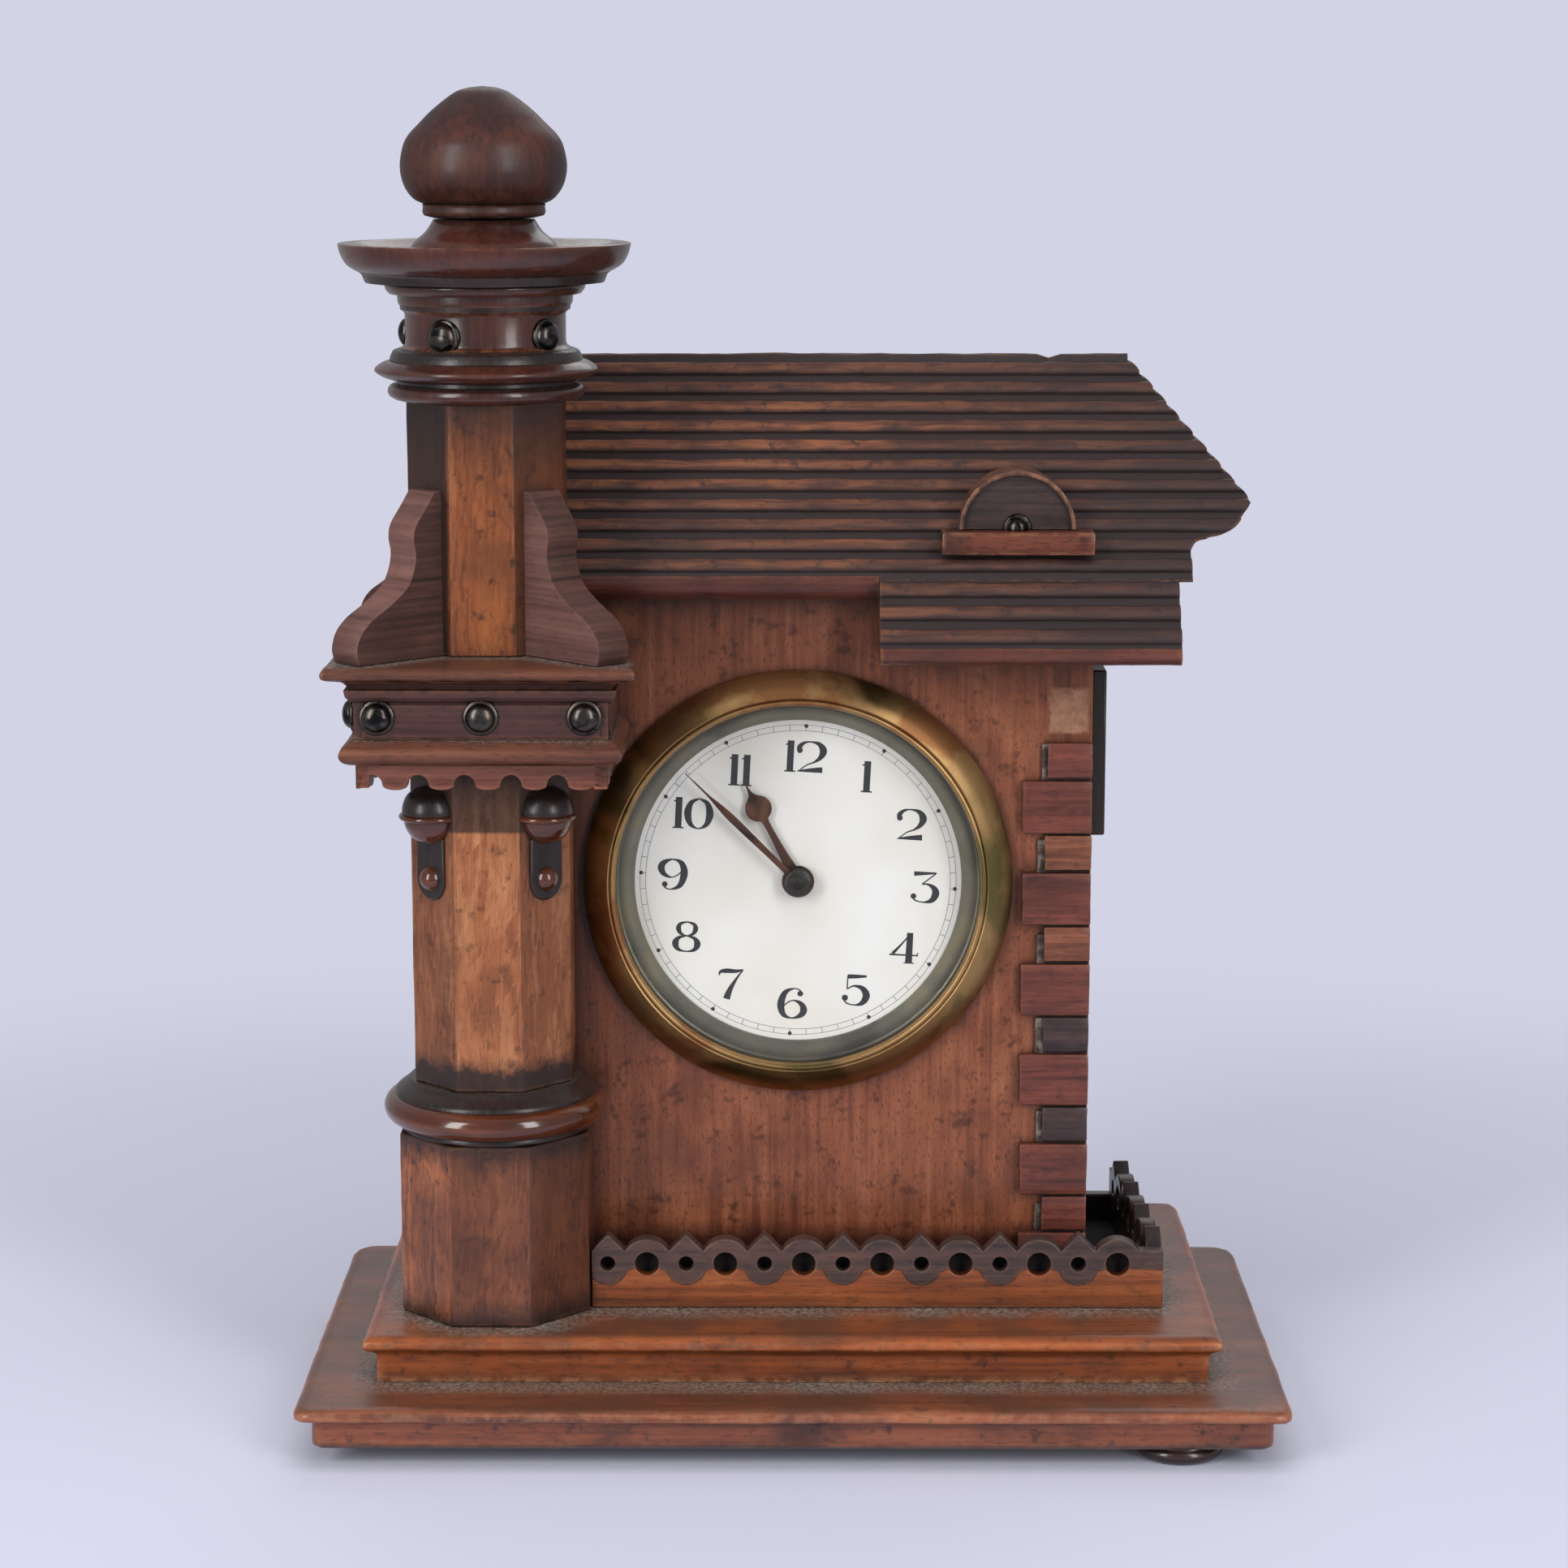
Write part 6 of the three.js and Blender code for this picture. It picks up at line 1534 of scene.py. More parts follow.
@dataclass
class Turret(Assembly):
    """The octagonal corner turret from its plinth to the finial."""

    x: float = -62.0
    y: float = -14.5
    plinth: float = 39.2
    shaft: float = 32.6
    upper: float = 31.4
    ring_z: float = 62.6
    drop_z: float = 112.6
    drop_height: float = 23.4
    skirt: float = 25.1
    skirt_z: Flat = (137.7, 142.9)
    scallop: float = 9.24
    soffit: float = 22.5
    board: float = 31.2
    half: float = 25.8
    stud_apart: float = 20.6
    stud_z: float = 152.5
    bare_side: int = 90
    bracket_z: float = 163.2
    crown_z: float = 213.8
    crown_stud_z: float = 226.8
    drum: float = 16.2
    dish: float = 29.4
    finial_z: float = 243.8
    finial_foot: float = 15.0
    onion: float = 16.7

    def stud(self, shell: Shell, spot: Spot, turn: float) -> None:
        """Adds a nail head with its collar.

        Args:
            shell: the shell that it joins.
            spot: where it stands.
            turn: the way that it faces, in degrees from +X.
        """
        dome = flowing([(3.6, -0.2), (3.55, 0.25), (3.2, 0.45), (2.95, 0.55), (2.75, 1.05), (2.2, 1.65),
                        (1.2, 2.1), (0.0, 2.25)], 3)
        x, y = math.cos(math.radians(turn)), math.sin(math.radians(turn))
        shell.turned(dome, spot, ((-y, x, 0.0), (0.0, 0.0, 1.0), (x, y, 0.0)), 28)

    def build(self) -> None:
        """Builds and dresses the turret from the deck up."""
        self.build_shafts()
        self.build_ring()
        self.build_pendants()
        self.build_capital()
        self.build_frieze()
        self.build_top()
        self.build_brackets()
        self.build_crown()
        self.build_finial()

    def build_shafts(self) -> None:
        """Builds the plinth and both octagonal shafts."""
        rows = (
            ("turret_plinth", "plinth", "turret_base", self.plinth, 24.1, 62.5, 0.5),
            ("turret_lower_shaft", "shaft", "turret_shaft", self.shaft, 73.2, 140.2, 0.3),
            ("turret_top_shaft", "upper", "turret_upper_shaft", self.upper, 163.2, 213.7, 0.3),
        )
        for name, finish, node, flats, z0, z1, ease in rows:
            shell = Shell().prism(eased(octagon(flats, self.x, self.y), 0.6, 2, True), z0, z1, ease, 3.0)
            self.make(shell, name, finish, Slot.WALNUT, node, crease=Crease.PLANED, waves=(0.14, 8.0))

    def build_ring(self) -> None:
        """Builds the polished bead over the plinth and the black collar on it."""
        bead = [(0.0, 1.5), (20.0, 1.6), *arc(2.9, -100, 95, 14, 20.5, 4.3), (0.0, 7.2)]
        collar = eased([(0.0, 0.0), (20.1, 0.0), (19.9, 1.2), (19.0, 2.2), (19.0, 6.6), (21.1, 7.0),
                        (20.8, 8.0), (18.6, 9.6), (17.8, 10.5), (0.0, 10.5)], 0.4)
        for name, finish, profile in (("turret_bead", "bead", bead), ("turret_collar", "ebony", collar)):
            shell = Shell().turned(profile, (self.x, self.y, self.ring_z))
            self.make(shell, name, finish, Slot.EBONISED, "turret_ring", crease=Crease.MOULDED)

    def build_pendants(self) -> None:
        """Builds the acorn drops on the front diagonal faces: a black cap, the acorn, its plaque and ball."""
        h = self.drop_height
        dome = flowing([(0.0, h), (2.6, h - 0.2), (4.8, h - 1.6), (5.8, h - 3.8), (5.9, h - 5.4)], 4)
        cap = [*dome, (0.0, h - 5.4)]
        acorn = [
            (0.0, h - 5.3), (5.9, h - 5.3), *arc(0.6, 80, -80, 6, 6.0, h - 6.0), (5.6, h - 6.6),
            *flowing([(5.6, h - 6.7), (5.2, h - 8.4), (4.0, h - 10.3), (2.0, h - 11.5)], 4), (0.0, h - 11.8),
        ]
        ball = arc(2.6, -90, 90, 14, 0.0, 4.4)
        plaque = [*arc(4.3, 180, 360, 20, 0.0, 4.3), (4.1, 13.0), (-4.1, 13.0)]
        for name, turn in (("left", 225.0), ("right", 315.0)):
            way = Vector((math.cos(math.radians(turn)), math.sin(math.radians(turn))))
            spot = (self.x + way.x * self.shaft / 2, self.y + way.y * self.shaft / 2, self.drop_z)
            node = f"pendant_{name}"
            rows = (("cap", cap, "ebony"), ("acorn", acorn, "bead"), ("ball", ball, "bead"))
            for kind, profile, finish in rows:
                shell = Shell().turned(profile, spot, sides=40)
                self.make(shell, f"{node}_{kind}", finish, Slot.DARK, node, crease=Crease.MOULDED)
            self.saw(f"{node}_plaque", [plaque], (1.2, 0.3), stand(*spot, turn + 90), "ebony", Slot.DARK, node)

    def square(self, half: float) -> tuple[float, float, float, float]:
        """Left, right, front and back of a square round the turret's axis."""
        return self.x - half, self.x + half, self.y - half, self.y + half

    def edged(self, name: str, finish: str, node: str, profile: Sequence[Flat], corner: float) -> None:
        """Runs a moulding round all four sides of the capital."""
        shell = Shell().slab(self.square(self.board), profile, True, corner)
        self.make(shell, name, finish, Slot.DARK, node, crease=Crease.MOULDED, waves=(0.24, 5.0))

    def build_capital(self) -> None:
        """Builds the scalloped skirt and the ovolo over it."""
        foot, top = self.skirt_z
        first, level, hollow, reach = -21.9, foot + 1.0, 2.1, 2.52
        lower: list[Flat] = []
        for i in range(5):
            middle = first + i * self.scallop
            turns = [math.radians(t) for t in range(20, 161, 20)]
            tongue = middle + self.scallop / 2
            lower += arc(hollow, 180, 0, 10, middle, level)
            lower += [(tongue - reach * math.cos(t), level - math.sin(t)) for t in turns]
        s = self.skirt
        outline = [(-s, foot + 0.3), (-24.2, foot + 0.3), *lower, (s, foot + 0.5), (s, top), (-s, top)]
        for side, turn in (("front", 0), ("right", 90), ("back", 180), ("left", 270)):
            place = stand(self.x, self.y, 0.0, turn, 1.4 - s)
            self.saw(f"capital_skirt_{side}", [outline], (2.8, 0.3), place, "skirt", Slot.DARK, "capital_lower")
        shell = Shell().prism(rectangle(*self.square(self.soffit)), 140.3, 143.5, 0.1)
        self.make(shell, "capital_soffit", "ebony", Slot.DARK, "capital_lower")
        turns = [math.radians(t) for t in range(-84, 70, 14)]
        swell = [(5.4 - 2.5 * math.cos(t), 145.1 + 2.1 * math.sin(t)) for t in turns]
        ovolo = [(6.4, 142.9), *swell, (4.6, 147.4), (5.4, 147.9)]
        self.edged("capital_ovolo", "moulding", "capital_lower", ovolo, 0.9)

    def build_frieze(self) -> None:
        """Builds the frieze with its panels and studs; the side towards the house shows none."""
        profile = eased([(5.9, 148.0), (5.9, 155.4), (5.2, 155.8), (4.4, 156.8), (4.2, 158.1)], 0.3)
        block = Shell().slab(self.square(self.board), profile, True, 0.3)
        panels, studs = Shell(), Shell()
        middle = Vector((self.x, self.y))
        for turn in (0, 90, 180, 270):
            way = math.radians(turn - 90)
            out, side = Vector((math.cos(way), math.sin(way))), Vector((-math.sin(way), math.cos(way)))
            corners = ((25.75, -23.6), (25.75, 23.6), (21.0, 23.6), (21.0, -23.6))
            spots = [middle + out * a + side * b for a, b in corners]
            panels.prism([(p.x, p.y) for p in spots], 148.5, 155.0, 0.15, 6.0)
            for step in () if turn == self.bare_side else (-1, 0, 1):
                spot = middle + out * self.half + side * (self.stud_apart * step)
                self.stud(studs, (spot.x, spot.y, self.stud_z), turn - 90)
        rows = (
            (block, "capital_frieze_block", "frieze", Crease.BLOCK),
            (panels, "capital_frieze_panels", "frieze", Crease.BLOCK),
            (studs, "capital_studs", "stud", Crease.STUD),
        )
        for shell, name, finish, crease in rows:
            self.make(shell, name, finish, Slot.EBONISED, "capital_frieze", crease=crease)

    def build_top(self) -> None:
        """Builds the cove over the frieze and the board on it."""
        cove = [(5.0, 158.2), *flowing([(4.7, 159.0), (3.6, 159.9), (1.6, 160.35)], 3), (5.0, 160.5)]
        board = eased([(5.0, 160.3), (1.2, 160.4), (0.2, 160.9), (0.0, 161.8), (0.4, 162.6), (1.3, 163.1),
                       (9.0, 163.1)], 0.4)
        self.edged("capital_cove", "frieze", "capital_top", cove, 0.6)
        self.edged("capital_board", "moulding", "capital_top", board, 0.6)

    def build_brackets(self) -> None:
        """Builds the scrolled planks on the diagonal faces of the upper shaft."""
        inner, tall = 15.4, 33.2
        scroll = flowing([(37.0, 0.0), (37.6, 1.8), (37.6, 3.6), (36.5, 6.3), (33.8, 8.8), (29.3, 11.3),
                          (24.9, 14.4), (23.0, 17.7), (22.4, 20.8), (22.9, 23.9), (22.3, 26.6), (19.8, 29.8),
                          (17.4, 33.0)], 4)
        outline = [(inner, 0.0), *scroll, (inner, tall)]
        # The first finish goes on a plank's broad faces and the second on its sawn edge: the darker copy paints
        # shade, the paler copy paints light.
        rows = (
            ("front_left", 225, "bracket dusty_bracket"),
            ("front_right", 315, "dusty_bracket bracket"),
            ("back_left", 135, "bracket dusty_bracket"),
        )
        for name, turn, finish in rows:
            place = stand(self.x, self.y, self.bracket_z, turn)
            self.saw(f"scroll_{name}", [outline], (8.0, 0.2), place, finish, Slot.WALNUT, f"bracket_{name}")

    def build_crown(self) -> None:
        """Builds the turned crown with its studs."""
        d, w = self.drum, self.dish
        foot = [(d + 2.4, 0.0), *arc(1.5, -70, 70, 6, d + 2.2, 1.6), (d + 1.8, 3.2)]
        groove = [(d + 1.7, 3.1), (d + 1.7, 3.9)]
        torus = flowing([(d + 2.6, 3.85), (d + 4.6, 4.4), (d + 6.2, 5.5), (d + 6.1, 6.3), (d + 4.7, 7.3),
                         (d + 3.2, 7.8)], 4)
        fillet = eased([(d + 3.3, 7.8), (d + 3.1, 8.6), (d + 2.6, 9.7), (d + 1.2, 10.2)], 0.3)
        drum = eased([(d + 1.1, 10.2), (d + 0.1, 10.9), (d, 12.0), (d, 17.2), (d + 0.9, 18.0)], 0.35)
        quirk = [(d + 0.9, 17.9), (d + 1.0, 19.0)]
        cornice = [*eased([(d + 1.2, 18.9), (d + 1.4, 19.4), (d + 1.5, 20.9)], 0.3),
                   *flowing([(d + 3.0, 21.0), (d + 3.7, 21.8), (d + 4.0, 22.7), (d + 3.7, 23.3)], 4)]
        shade = eased([(w - 5.4, 23.3), (w - 5.1, 24.0), (w - 4.7, 25.0), (w - 4.1, 25.4)], 0.3)
        bowl = flowing([(w - 4.3, 25.3), (w - 1.8, 26.8), (w - 0.5, 28.9), (w, 30.9)], 4)
        rim = eased([(w, 31.0), (w - 0.5, 31.2), (w - 1.6, 31.0), (w - 4.5, 29.9), (0.0, 29.9)], 0.25)
        # Each form with the heights where it leaves the axis and meets it again.
        polished = ((0.0, foot, 3.2), (3.8, torus, 7.8), (10.1, drum, 18.0), (18.9, cornice, 23.3),
                    (25.2, [*bowl, *rim], None))
        # The black forms are the groove, the fillet, the quirk and the band under the dish, which is painted
        # shade.
        black = ((3.1, groove, 3.9), (7.7, fillet, 10.2), (17.9, quirk, 19.0), (23.2, shade, 25.4))
        for name, finish, forms in (("turned_crown", "turned", polished), ("crown_quirks", "ebony", black)):
            shell = Shell()
            for low, form, high in forms:
                profile = [(0.0, low), *form] + ([] if high is None else [(0.0, high)])
                shell.turned(profile, (self.x, self.y, self.crown_z), sides=96)
            self.make(shell, name, finish, Slot.EBONISED, "crown", crease=Crease.TURNED, waves=(0.1, 9.0))
        studs, facing, apart = Shell(), -116.0, 78.0
        for i in range(5):
            turn = facing + apart * (i - 1)
            way = math.radians(turn)
            self.stud(studs, (self.x + d * math.cos(way), self.y + d * math.sin(way), self.crown_stud_z), turn)
        self.make(studs, "crown_studs", "stud", Slot.EBONISED, "crown", crease=Crease.STUD)

    def build_finial(self) -> None:
        """Builds the onion finial on its foot."""
        f, onion = self.finial_foot, self.onion
        skirt = flowing([(f, 0.0), (f - 0.9, 1.4), (f - 3.2, 3.4), (f - 4.8, 5.8)], 5)
        fillet = eased([(f - 4.9, 6.0), (f - 2.9, 6.5), (f - 2.6, 7.3), (f - 2.8, 8.3), (f - 2.6, 8.7)], 0.3)
        swell = ((4.6, 8.8), (2.5, 9.9), (0.7, 12.5), (0.0, 16.2), (0.6, 20.0), (1.8, 22.4), (4.1, 24.8),
                 (6.5, 27.2), (9.6, 29.7), (11.8, 31.1), (14.1, 31.8))
        bulb = flowing([(onion - inset, z) for inset, z in swell], 5)
        rows = (
            ("finial_foot", "turned", [(0.0, 0.0), *skirt, (0.0, 6.1)]),
            ("onion_finial", "finial", [(0.0, 6.0), *fillet, *bulb, (0.0, 32.0)]),
        )
        for name, finish, profile in rows:
            shell = Shell().turned(profile, (self.x, self.y, self.finial_z), sides=96)
            self.make(shell, name, finish, Slot.DARK, "finial", crease=Crease.ONION, waves=(0.1, 12.0))


@dataclass
class Gallery(Assembly):
    """The pierced boards round the terrace and the rail behind them."""

    low: float = 24.1
    height: float = 15.8
    notch: float = 3.4
    pitch: float = 16.4
    share: float = 0.41
    hole: float = 9.6
    thick: float = 3.4
    front: float = -20.9
    start: float = -42.1
    right: float = 77.4
    back: float = 41.8
    splay: float = 2.8
    lining: Flat = (30.6, 36.3)

    def merlons(self, start: float, finish: float) -> tuple[list[Flat], list[Flat], list[Flat]]:
        """Works out the top edge of one board and where its holes are.

        Args:
            start: its first end.
            finish: its last end.

        Returns:
            The top edge from start to finish, then the middles of the small holes and of the large ones.
        """
        top, middle_z = self.low + self.height, self.low + self.hole
        notch = top - self.notch
        widths = (self.pitch * self.share, self.pitch * (1 - self.share))
        edge: list[Flat] = []
        middles: tuple[list[Flat], list[Flat]] = ([], [])
        at, kind = start, 0
        while at + widths[kind] <= finish + 0.01:
            half = widths[kind] / 2
            middle = at + half
            middles[kind].append((middle, middle_z))
            if kind == 0:
                edge += [(middle - half - 0.1, notch), (middle - 0.25, top - 0.1), (middle + 0.25, top - 0.1),
                         (middle + half + 0.1, notch)]
            else:
                edge += arc(5.3, 148, 32, 14, middle, middle_z)
            at += widths[kind]
            kind = 1 - kind
        if finish - at > 0.4:
            edge += [(at + 0.2, notch), (finish, notch)]
        edge[0] = (start, edge[0][1])
        return edge, *middles

    def build(self) -> None:
        """Builds and dresses the boards and the rail."""
        edge, small, large = self.merlons(self.start, self.right)
        end = max(edge[-1][0], self.right)
        holes = [circle(r, *middle) for r, row in ((1.7, small), (2.6, large)) for middle in row]
        sunk = [(x, z - 0.3) for x, z in (edge[-1], *reversed(edge))]
        board = [(self.start, self.low), (end, self.low), (end, sunk[0][1]), *sunk[1:]]
        seam = small[0][1] - 1.2
        lower: list[Flat] = [(self.start, seam)]
        for i, (x, z) in enumerate(small):
            lower += arc(4.1, 196 if i else 215, 344, 14, x, z - 0.5)
            if i < len(large):
                lower += arc(2.45, 202, -22, 16, *large[i])
        face = [*lower, (end, seam), (end, edge[-1][1]), *reversed(edge)]
        # A black sheet behind the fret, painted shade that keeps its holes dark.
        lining = rectangle(self.start + 0.6, self.right - 0.6, *self.lining)
        middle = self.front + self.thick / 2
        rows = (
            ("gallery_front_board", [board, *holes], (self.thick, 0.25), middle, "strip"),
            ("gallery_front_fret", [face, *(circle(1.55, *spot) for spot in small)], (self.thick + 0.4, 0.2),
             middle - 0.1, "fret"),
            ("gallery_lining", [lining], (0.4, 0.05), self.front + self.thick + 0.35, "shade"),
        )
        for name, outlines, sizes, depth, finish in rows:
            self.saw(name, outlines, sizes, stand(0.0, depth, 0.0), finish, Slot.WALNUT, "gallery_front")
        # The side board and the rail take the black finish as painted shade, for they stand in shadow.
        begin = self.front + self.thick + 0.3
        edge, small, large = self.merlons(begin, self.back)
        holes = [circle(r, *middle) for r, row in ((1.6, small), (2.5, large)) for middle in row]
        board = [(begin, self.low), (self.back, self.low), (self.back, edge[-1][1]), *reversed(edge)]
        board, *holes = ([(at - begin, z) for at, z in outline] for outline in (board, *holes))
        place, sizes = stand(self.right, begin, 0.0, 90 + self.splay, self.thick / 2), (self.thick, 0.3)
        self.saw("gallery_side_board", [board, *holes], sizes, place, "ebony", Slot.WALNUT, "gallery_side")
        self.softened("gallery_rail", "ebony", Slot.EBONISED, 0.4)


class Digit(Enum):
    """Each figure's strokes, round ends and advance, as x, y and width in thousandths of its height."""

    NOUGHT = (
        (((460, 982, 36), (200, 840, 130), (100, 500, 200), (200, 160, 130), (460, 18, 36), (720, 160, 130),
        (820, 500, 200), (720, 840, 130), (460, 982, 36)),), (), 920,
    )
    ONE = (
        (((200, 0, 180), (200, 1000, 180)), ((30, 860, 30), (120, 900, 50), (220, 985, 30)), ((20, 20, 40),
        (380, 20, 40))), (), 420,
    )
    TWO = (
        (((60, 660, 50), (80, 800, 130), (220, 940, 80), (450, 985, 40), (720, 920, 120), (860, 720, 200),
        (780, 500, 130), (580, 340, 50), (380, 260, 35), (200, 130, 30), (100, 40, 30)), ((50, 35, 30),
        (300, 60, 80), (600, 85, 130), (860, 100, 160))), ((100, 700, 90),), 980,
    )
    THREE = (
        (((120, 930, 130), (450, 950, 90), (850, 975, 45)), ((850, 975, 35), (620, 780, 35), (400, 600, 35)),
        ((400, 600, 35), (600, 600, 60), (800, 480, 150), (860, 300, 200), (740, 90, 140), (480, 18, 40),
        (200, 70, 40), (100, 180, 30))), ((140, 200, 90),), 980,
    )
    FOUR = (
        (((680, 980, 30), (400, 620, 50), (120, 300, 90)), ((20, 270, 50), (950, 270, 40)), ((660, 0, 190),
        (660, 1000, 170)), ((500, 15, 30), (840, 15, 30)), ((930, 240, 30), (950, 360, 30))), (), 980,
    )
    FIVE = (
        (((200, 940, 120), (450, 950, 110), (820, 970, 60)), ((200, 970, 35), (200, 520, 35)),
        ((200, 530, 35), (420, 640, 50), (700, 570, 140), (840, 340, 200), (720, 100, 140), (480, 18, 40),
        (200, 70, 40), (100, 200, 30))), ((140, 240, 100),), 960,
    )
    SIX = (
        (((800, 800, 35), (720, 940, 40), (520, 985, 40), (240, 840, 140), (120, 460, 200), (220, 130, 140),
        (500, 18, 40), (780, 120, 140), (880, 300, 190), (780, 500, 130), (540, 600, 40), (340, 520, 35),
        (200, 380, 30)),), ((740, 830, 90),), 980,
    )
    SEVEN = (
        (((60, 760, 30), (100, 880, 80), (300, 920, 130), (600, 920, 100), (840, 975, 45)), ((840, 975, 35),
        (660, 720, 60), (480, 400, 120), (380, 150, 170), (340, 0, 190))), (), 880,
    )
    EIGHT = (
        (((460, 982, 36), (240, 910, 90), (180, 760, 140), (260, 600, 90), (460, 530, 36), (660, 600, 90),
        (740, 760, 140), (680, 910, 90), (460, 982, 36)), ((460, 530, 36), (200, 450, 100), (100, 270, 180),
        (200, 80, 100), (460, 18, 36), (720, 80, 100), (820, 270, 180), (720, 450, 100), (460, 530, 36))), (),
        920,
    )
    NINE = (
        (((180, 200, 35), (260, 60, 40), (460, 15, 40), (740, 160, 140), (860, 540, 200), (760, 870, 140),
        (480, 982, 40), (200, 880, 140), (100, 700, 190), (200, 500, 130), (440, 400, 40), (640, 480, 35),
        (780, 620, 30)),), ((240, 170, 90),), 980,
    )


@dataclass
class Dial(Assembly):
    """The brass rim, glass, sight ring, printed dial and hands."""

    x: float = 1.0
    face: float = -5.5
    z: float = 112.2
    turn: float = 3.0
    sides: int = 128
    track: Flat = (31.9, 33.1)
    track_line: float = 0.05
    tick: float = 0.06
    dot_at: float = 32.9
    dot: float = 0.42
    track_depth: float = 2.37
    ink_depth: float = 2.365
    dot_depth: float = 2.36
    ball_depth: float = 2.355
    layer: float = 0.002
    figure_radius: float = 26.4
    figure_narrow: float = 0.97
    figure_kern: float = 0.92
    figure_weight: float = 1.16
    figure_height: float = 6.6
    hour_angle: float = -28.0
    minute_angle: float = -45.4

    def build(self) -> None:
        """Builds and dresses the rim, the print and the hands."""
        bevel = flowing([(44.3, -2.3), (43.2, -3.45), (41.6, -4.8), (39.7, -5.95)], 5)
        lip = flowing([(39.3, -5.8), (39.1, -6.25), (38.6, -6.4), (38.2, -6.1), (38.0, -5.4)], 3)
        rebate = ((38.0, -4.1), (39.0, -4.1), (39.0, -0.1))
        bezel = [(43.8, -0.1), (44.8, -0.6), (44.8, -1.7), *bevel, *lip, *rebate]
        pane = eased([(0.0, -4.0), (38.7, -4.0), (38.7, -2.6), (0.0, -2.6)], 0.25, 2)
        sight = eased([(38.7, -2.3), (38.7, -1.7), (36.3, -0.3), (36.3, 2.3), (34.2, 2.3), (34.2, 1.7),
                       (34.9, 0.9), (37.4, -2.1), (37.9, -2.3)], 0.25, 2)
        card = eased([(0.0, 2.4), (36.3, 2.4), (36.3, 3.2), (0.0, 3.2)], 0.05, 2)
        rows = (
            ("turned_bezel", "bezel", Slot.BRASS, "bezel", [*bezel, bezel[0]]),
            ("dial_glass", "glass", Slot.GLASS, "glass", pane),
            ("sight_ring_turned", "sight", Slot.BRASS, "sight_ring", [*sight, sight[0]]),
            ("dial_card", "dial", Slot.PAPER, "dial", card),
        )
        for name, finish, slot, node, profile in rows:
            shell = Shell().turned(profile, (self.x, self.face, self.z), Way.FRONT.value, self.sides)
            self.make(shell, name, finish, slot, node, crease=Crease.TURNED)
        self.build_track()
        self.build_figures()
        self.build_hands()

    def spot(self, u: float, v: float, depth: float) -> Spot:
        """Finds a place on the turned dial.

        Args:
            u: how far right of its middle, in millimetres.
            v: how far above it.
            depth: how far behind its face.

        Returns:
            The place.
        """
        a = math.radians(-self.turn)
        across, up = u * math.cos(a) - v * math.sin(a), u * math.sin(a) + v * math.cos(a)
        return self.x + across, self.face + depth, self.z + up

    def print_dot(self, shell: Shell, u: float, v: float, radius: float, depth: float) -> None:
        """Prints a round dot at a place on the dial."""
        shell.patch([self.spot(*point, depth) for point in circle(radius, u, v)])

    def build_track(self) -> None:
        """Prints the minute track, with a dot at every fifth minute."""
        thin, dots = Shell(), Shell()
        low, high = self.track
        for radius in self.track:
            radii = (radius - self.track_line, radius + self.track_line)
            thin.skin([
                thin.ring([self.spot(r * math.cos(t), r * math.sin(t), self.track_depth) for t in around(180)])
                for r in radii
            ], capped=False)
        for i, t in enumerate(around(60)):
            way = Vector((math.sin(t), math.cos(t)))
            side = Vector((way.y, -way.x)) * self.tick
            ends = (way * low - side, way * high - side, way * high + side, way * low + side)
            thin.patch([self.spot(p.x, p.y, self.ink_depth) for p in ends])
            if i % 5 == 0:
                self.print_dot(dots, *(way * self.dot_at), self.dot, self.dot_depth)
        self.make(thin, "minute_track", "faint_ink", Slot.PAPER)
        self.make(dots, "five_minute_dots", "ink", Slot.PAPER)

    def build_figures(self) -> None:
        """Prints the twelve upright figures."""
        order = list(Digit)
        shell = Shell()
        h = self.figure_height
        for hour in range(1, 13):
            digits = [order[int(c)].value for c in str(hour)]
            wide = sum(digit[2] for digit in digits) / THOUSAND
            way = math.radians(90 - 30 * hour)
            u0 = self.figure_radius * math.cos(way) - wide * h * self.figure_kern / 2
            v0 = self.figure_radius * math.sin(way) - h / 2
            for strokes, balls, advance in digits:
                for n, stroke in enumerate(strokes):
                    line = flowing([[v / THOUSAND for v in point] for point in stroke], 8)
                    self.ribbon(shell, line, (u0, v0), self.ink_depth - self.layer * n)
                for ball in balls:
                    x, y, radius = (v / THOUSAND * h for v in ball)
                    self.print_dot(shell, u0 + x * self.figure_narrow, v0 + y, radius, self.ball_depth)
                u0 += advance / THOUSAND * h * self.figure_kern
        self.make(shell, "hour_figures", "ink", Slot.PAPER)

    def ribbon(self, shell: Shell, line: Sequence[tuple[float, ...]], corner: Flat, depth: float) -> None:
        """Adds one stroke of changing width.

        Args:
            shell: the shell that it joins.
            line: points of x, y and width in parts of a figure's height.
            corner: the figure's lower left corner.
            depth: how far behind the panel's face the stroke lies.
        """
        h = self.figure_height
        sides: list[list[int]] = []
        for i, (x, y, width) in enumerate(line):
            before, after = line[max(0, i - 1)], line[min(len(line) - 1, i + 1)]
            way = Vector((after[0] - before[0], after[1] - before[1])).normalized()
            out = Vector((-way.y, way.x)) * width * self.figure_weight / 2
            x *= self.figure_narrow
            pair = [(x + out.x, y + out.y), (x - out.x, y - out.y)]
            sides.append(shell.ring([self.spot(corner[0] + u * h, corner[1] + v * h, depth) for u, v in pair]))
        for low, high in zip(sides, sides[1:]):
            shell.faces.append((low[0], low[1], high[1], high[0]))

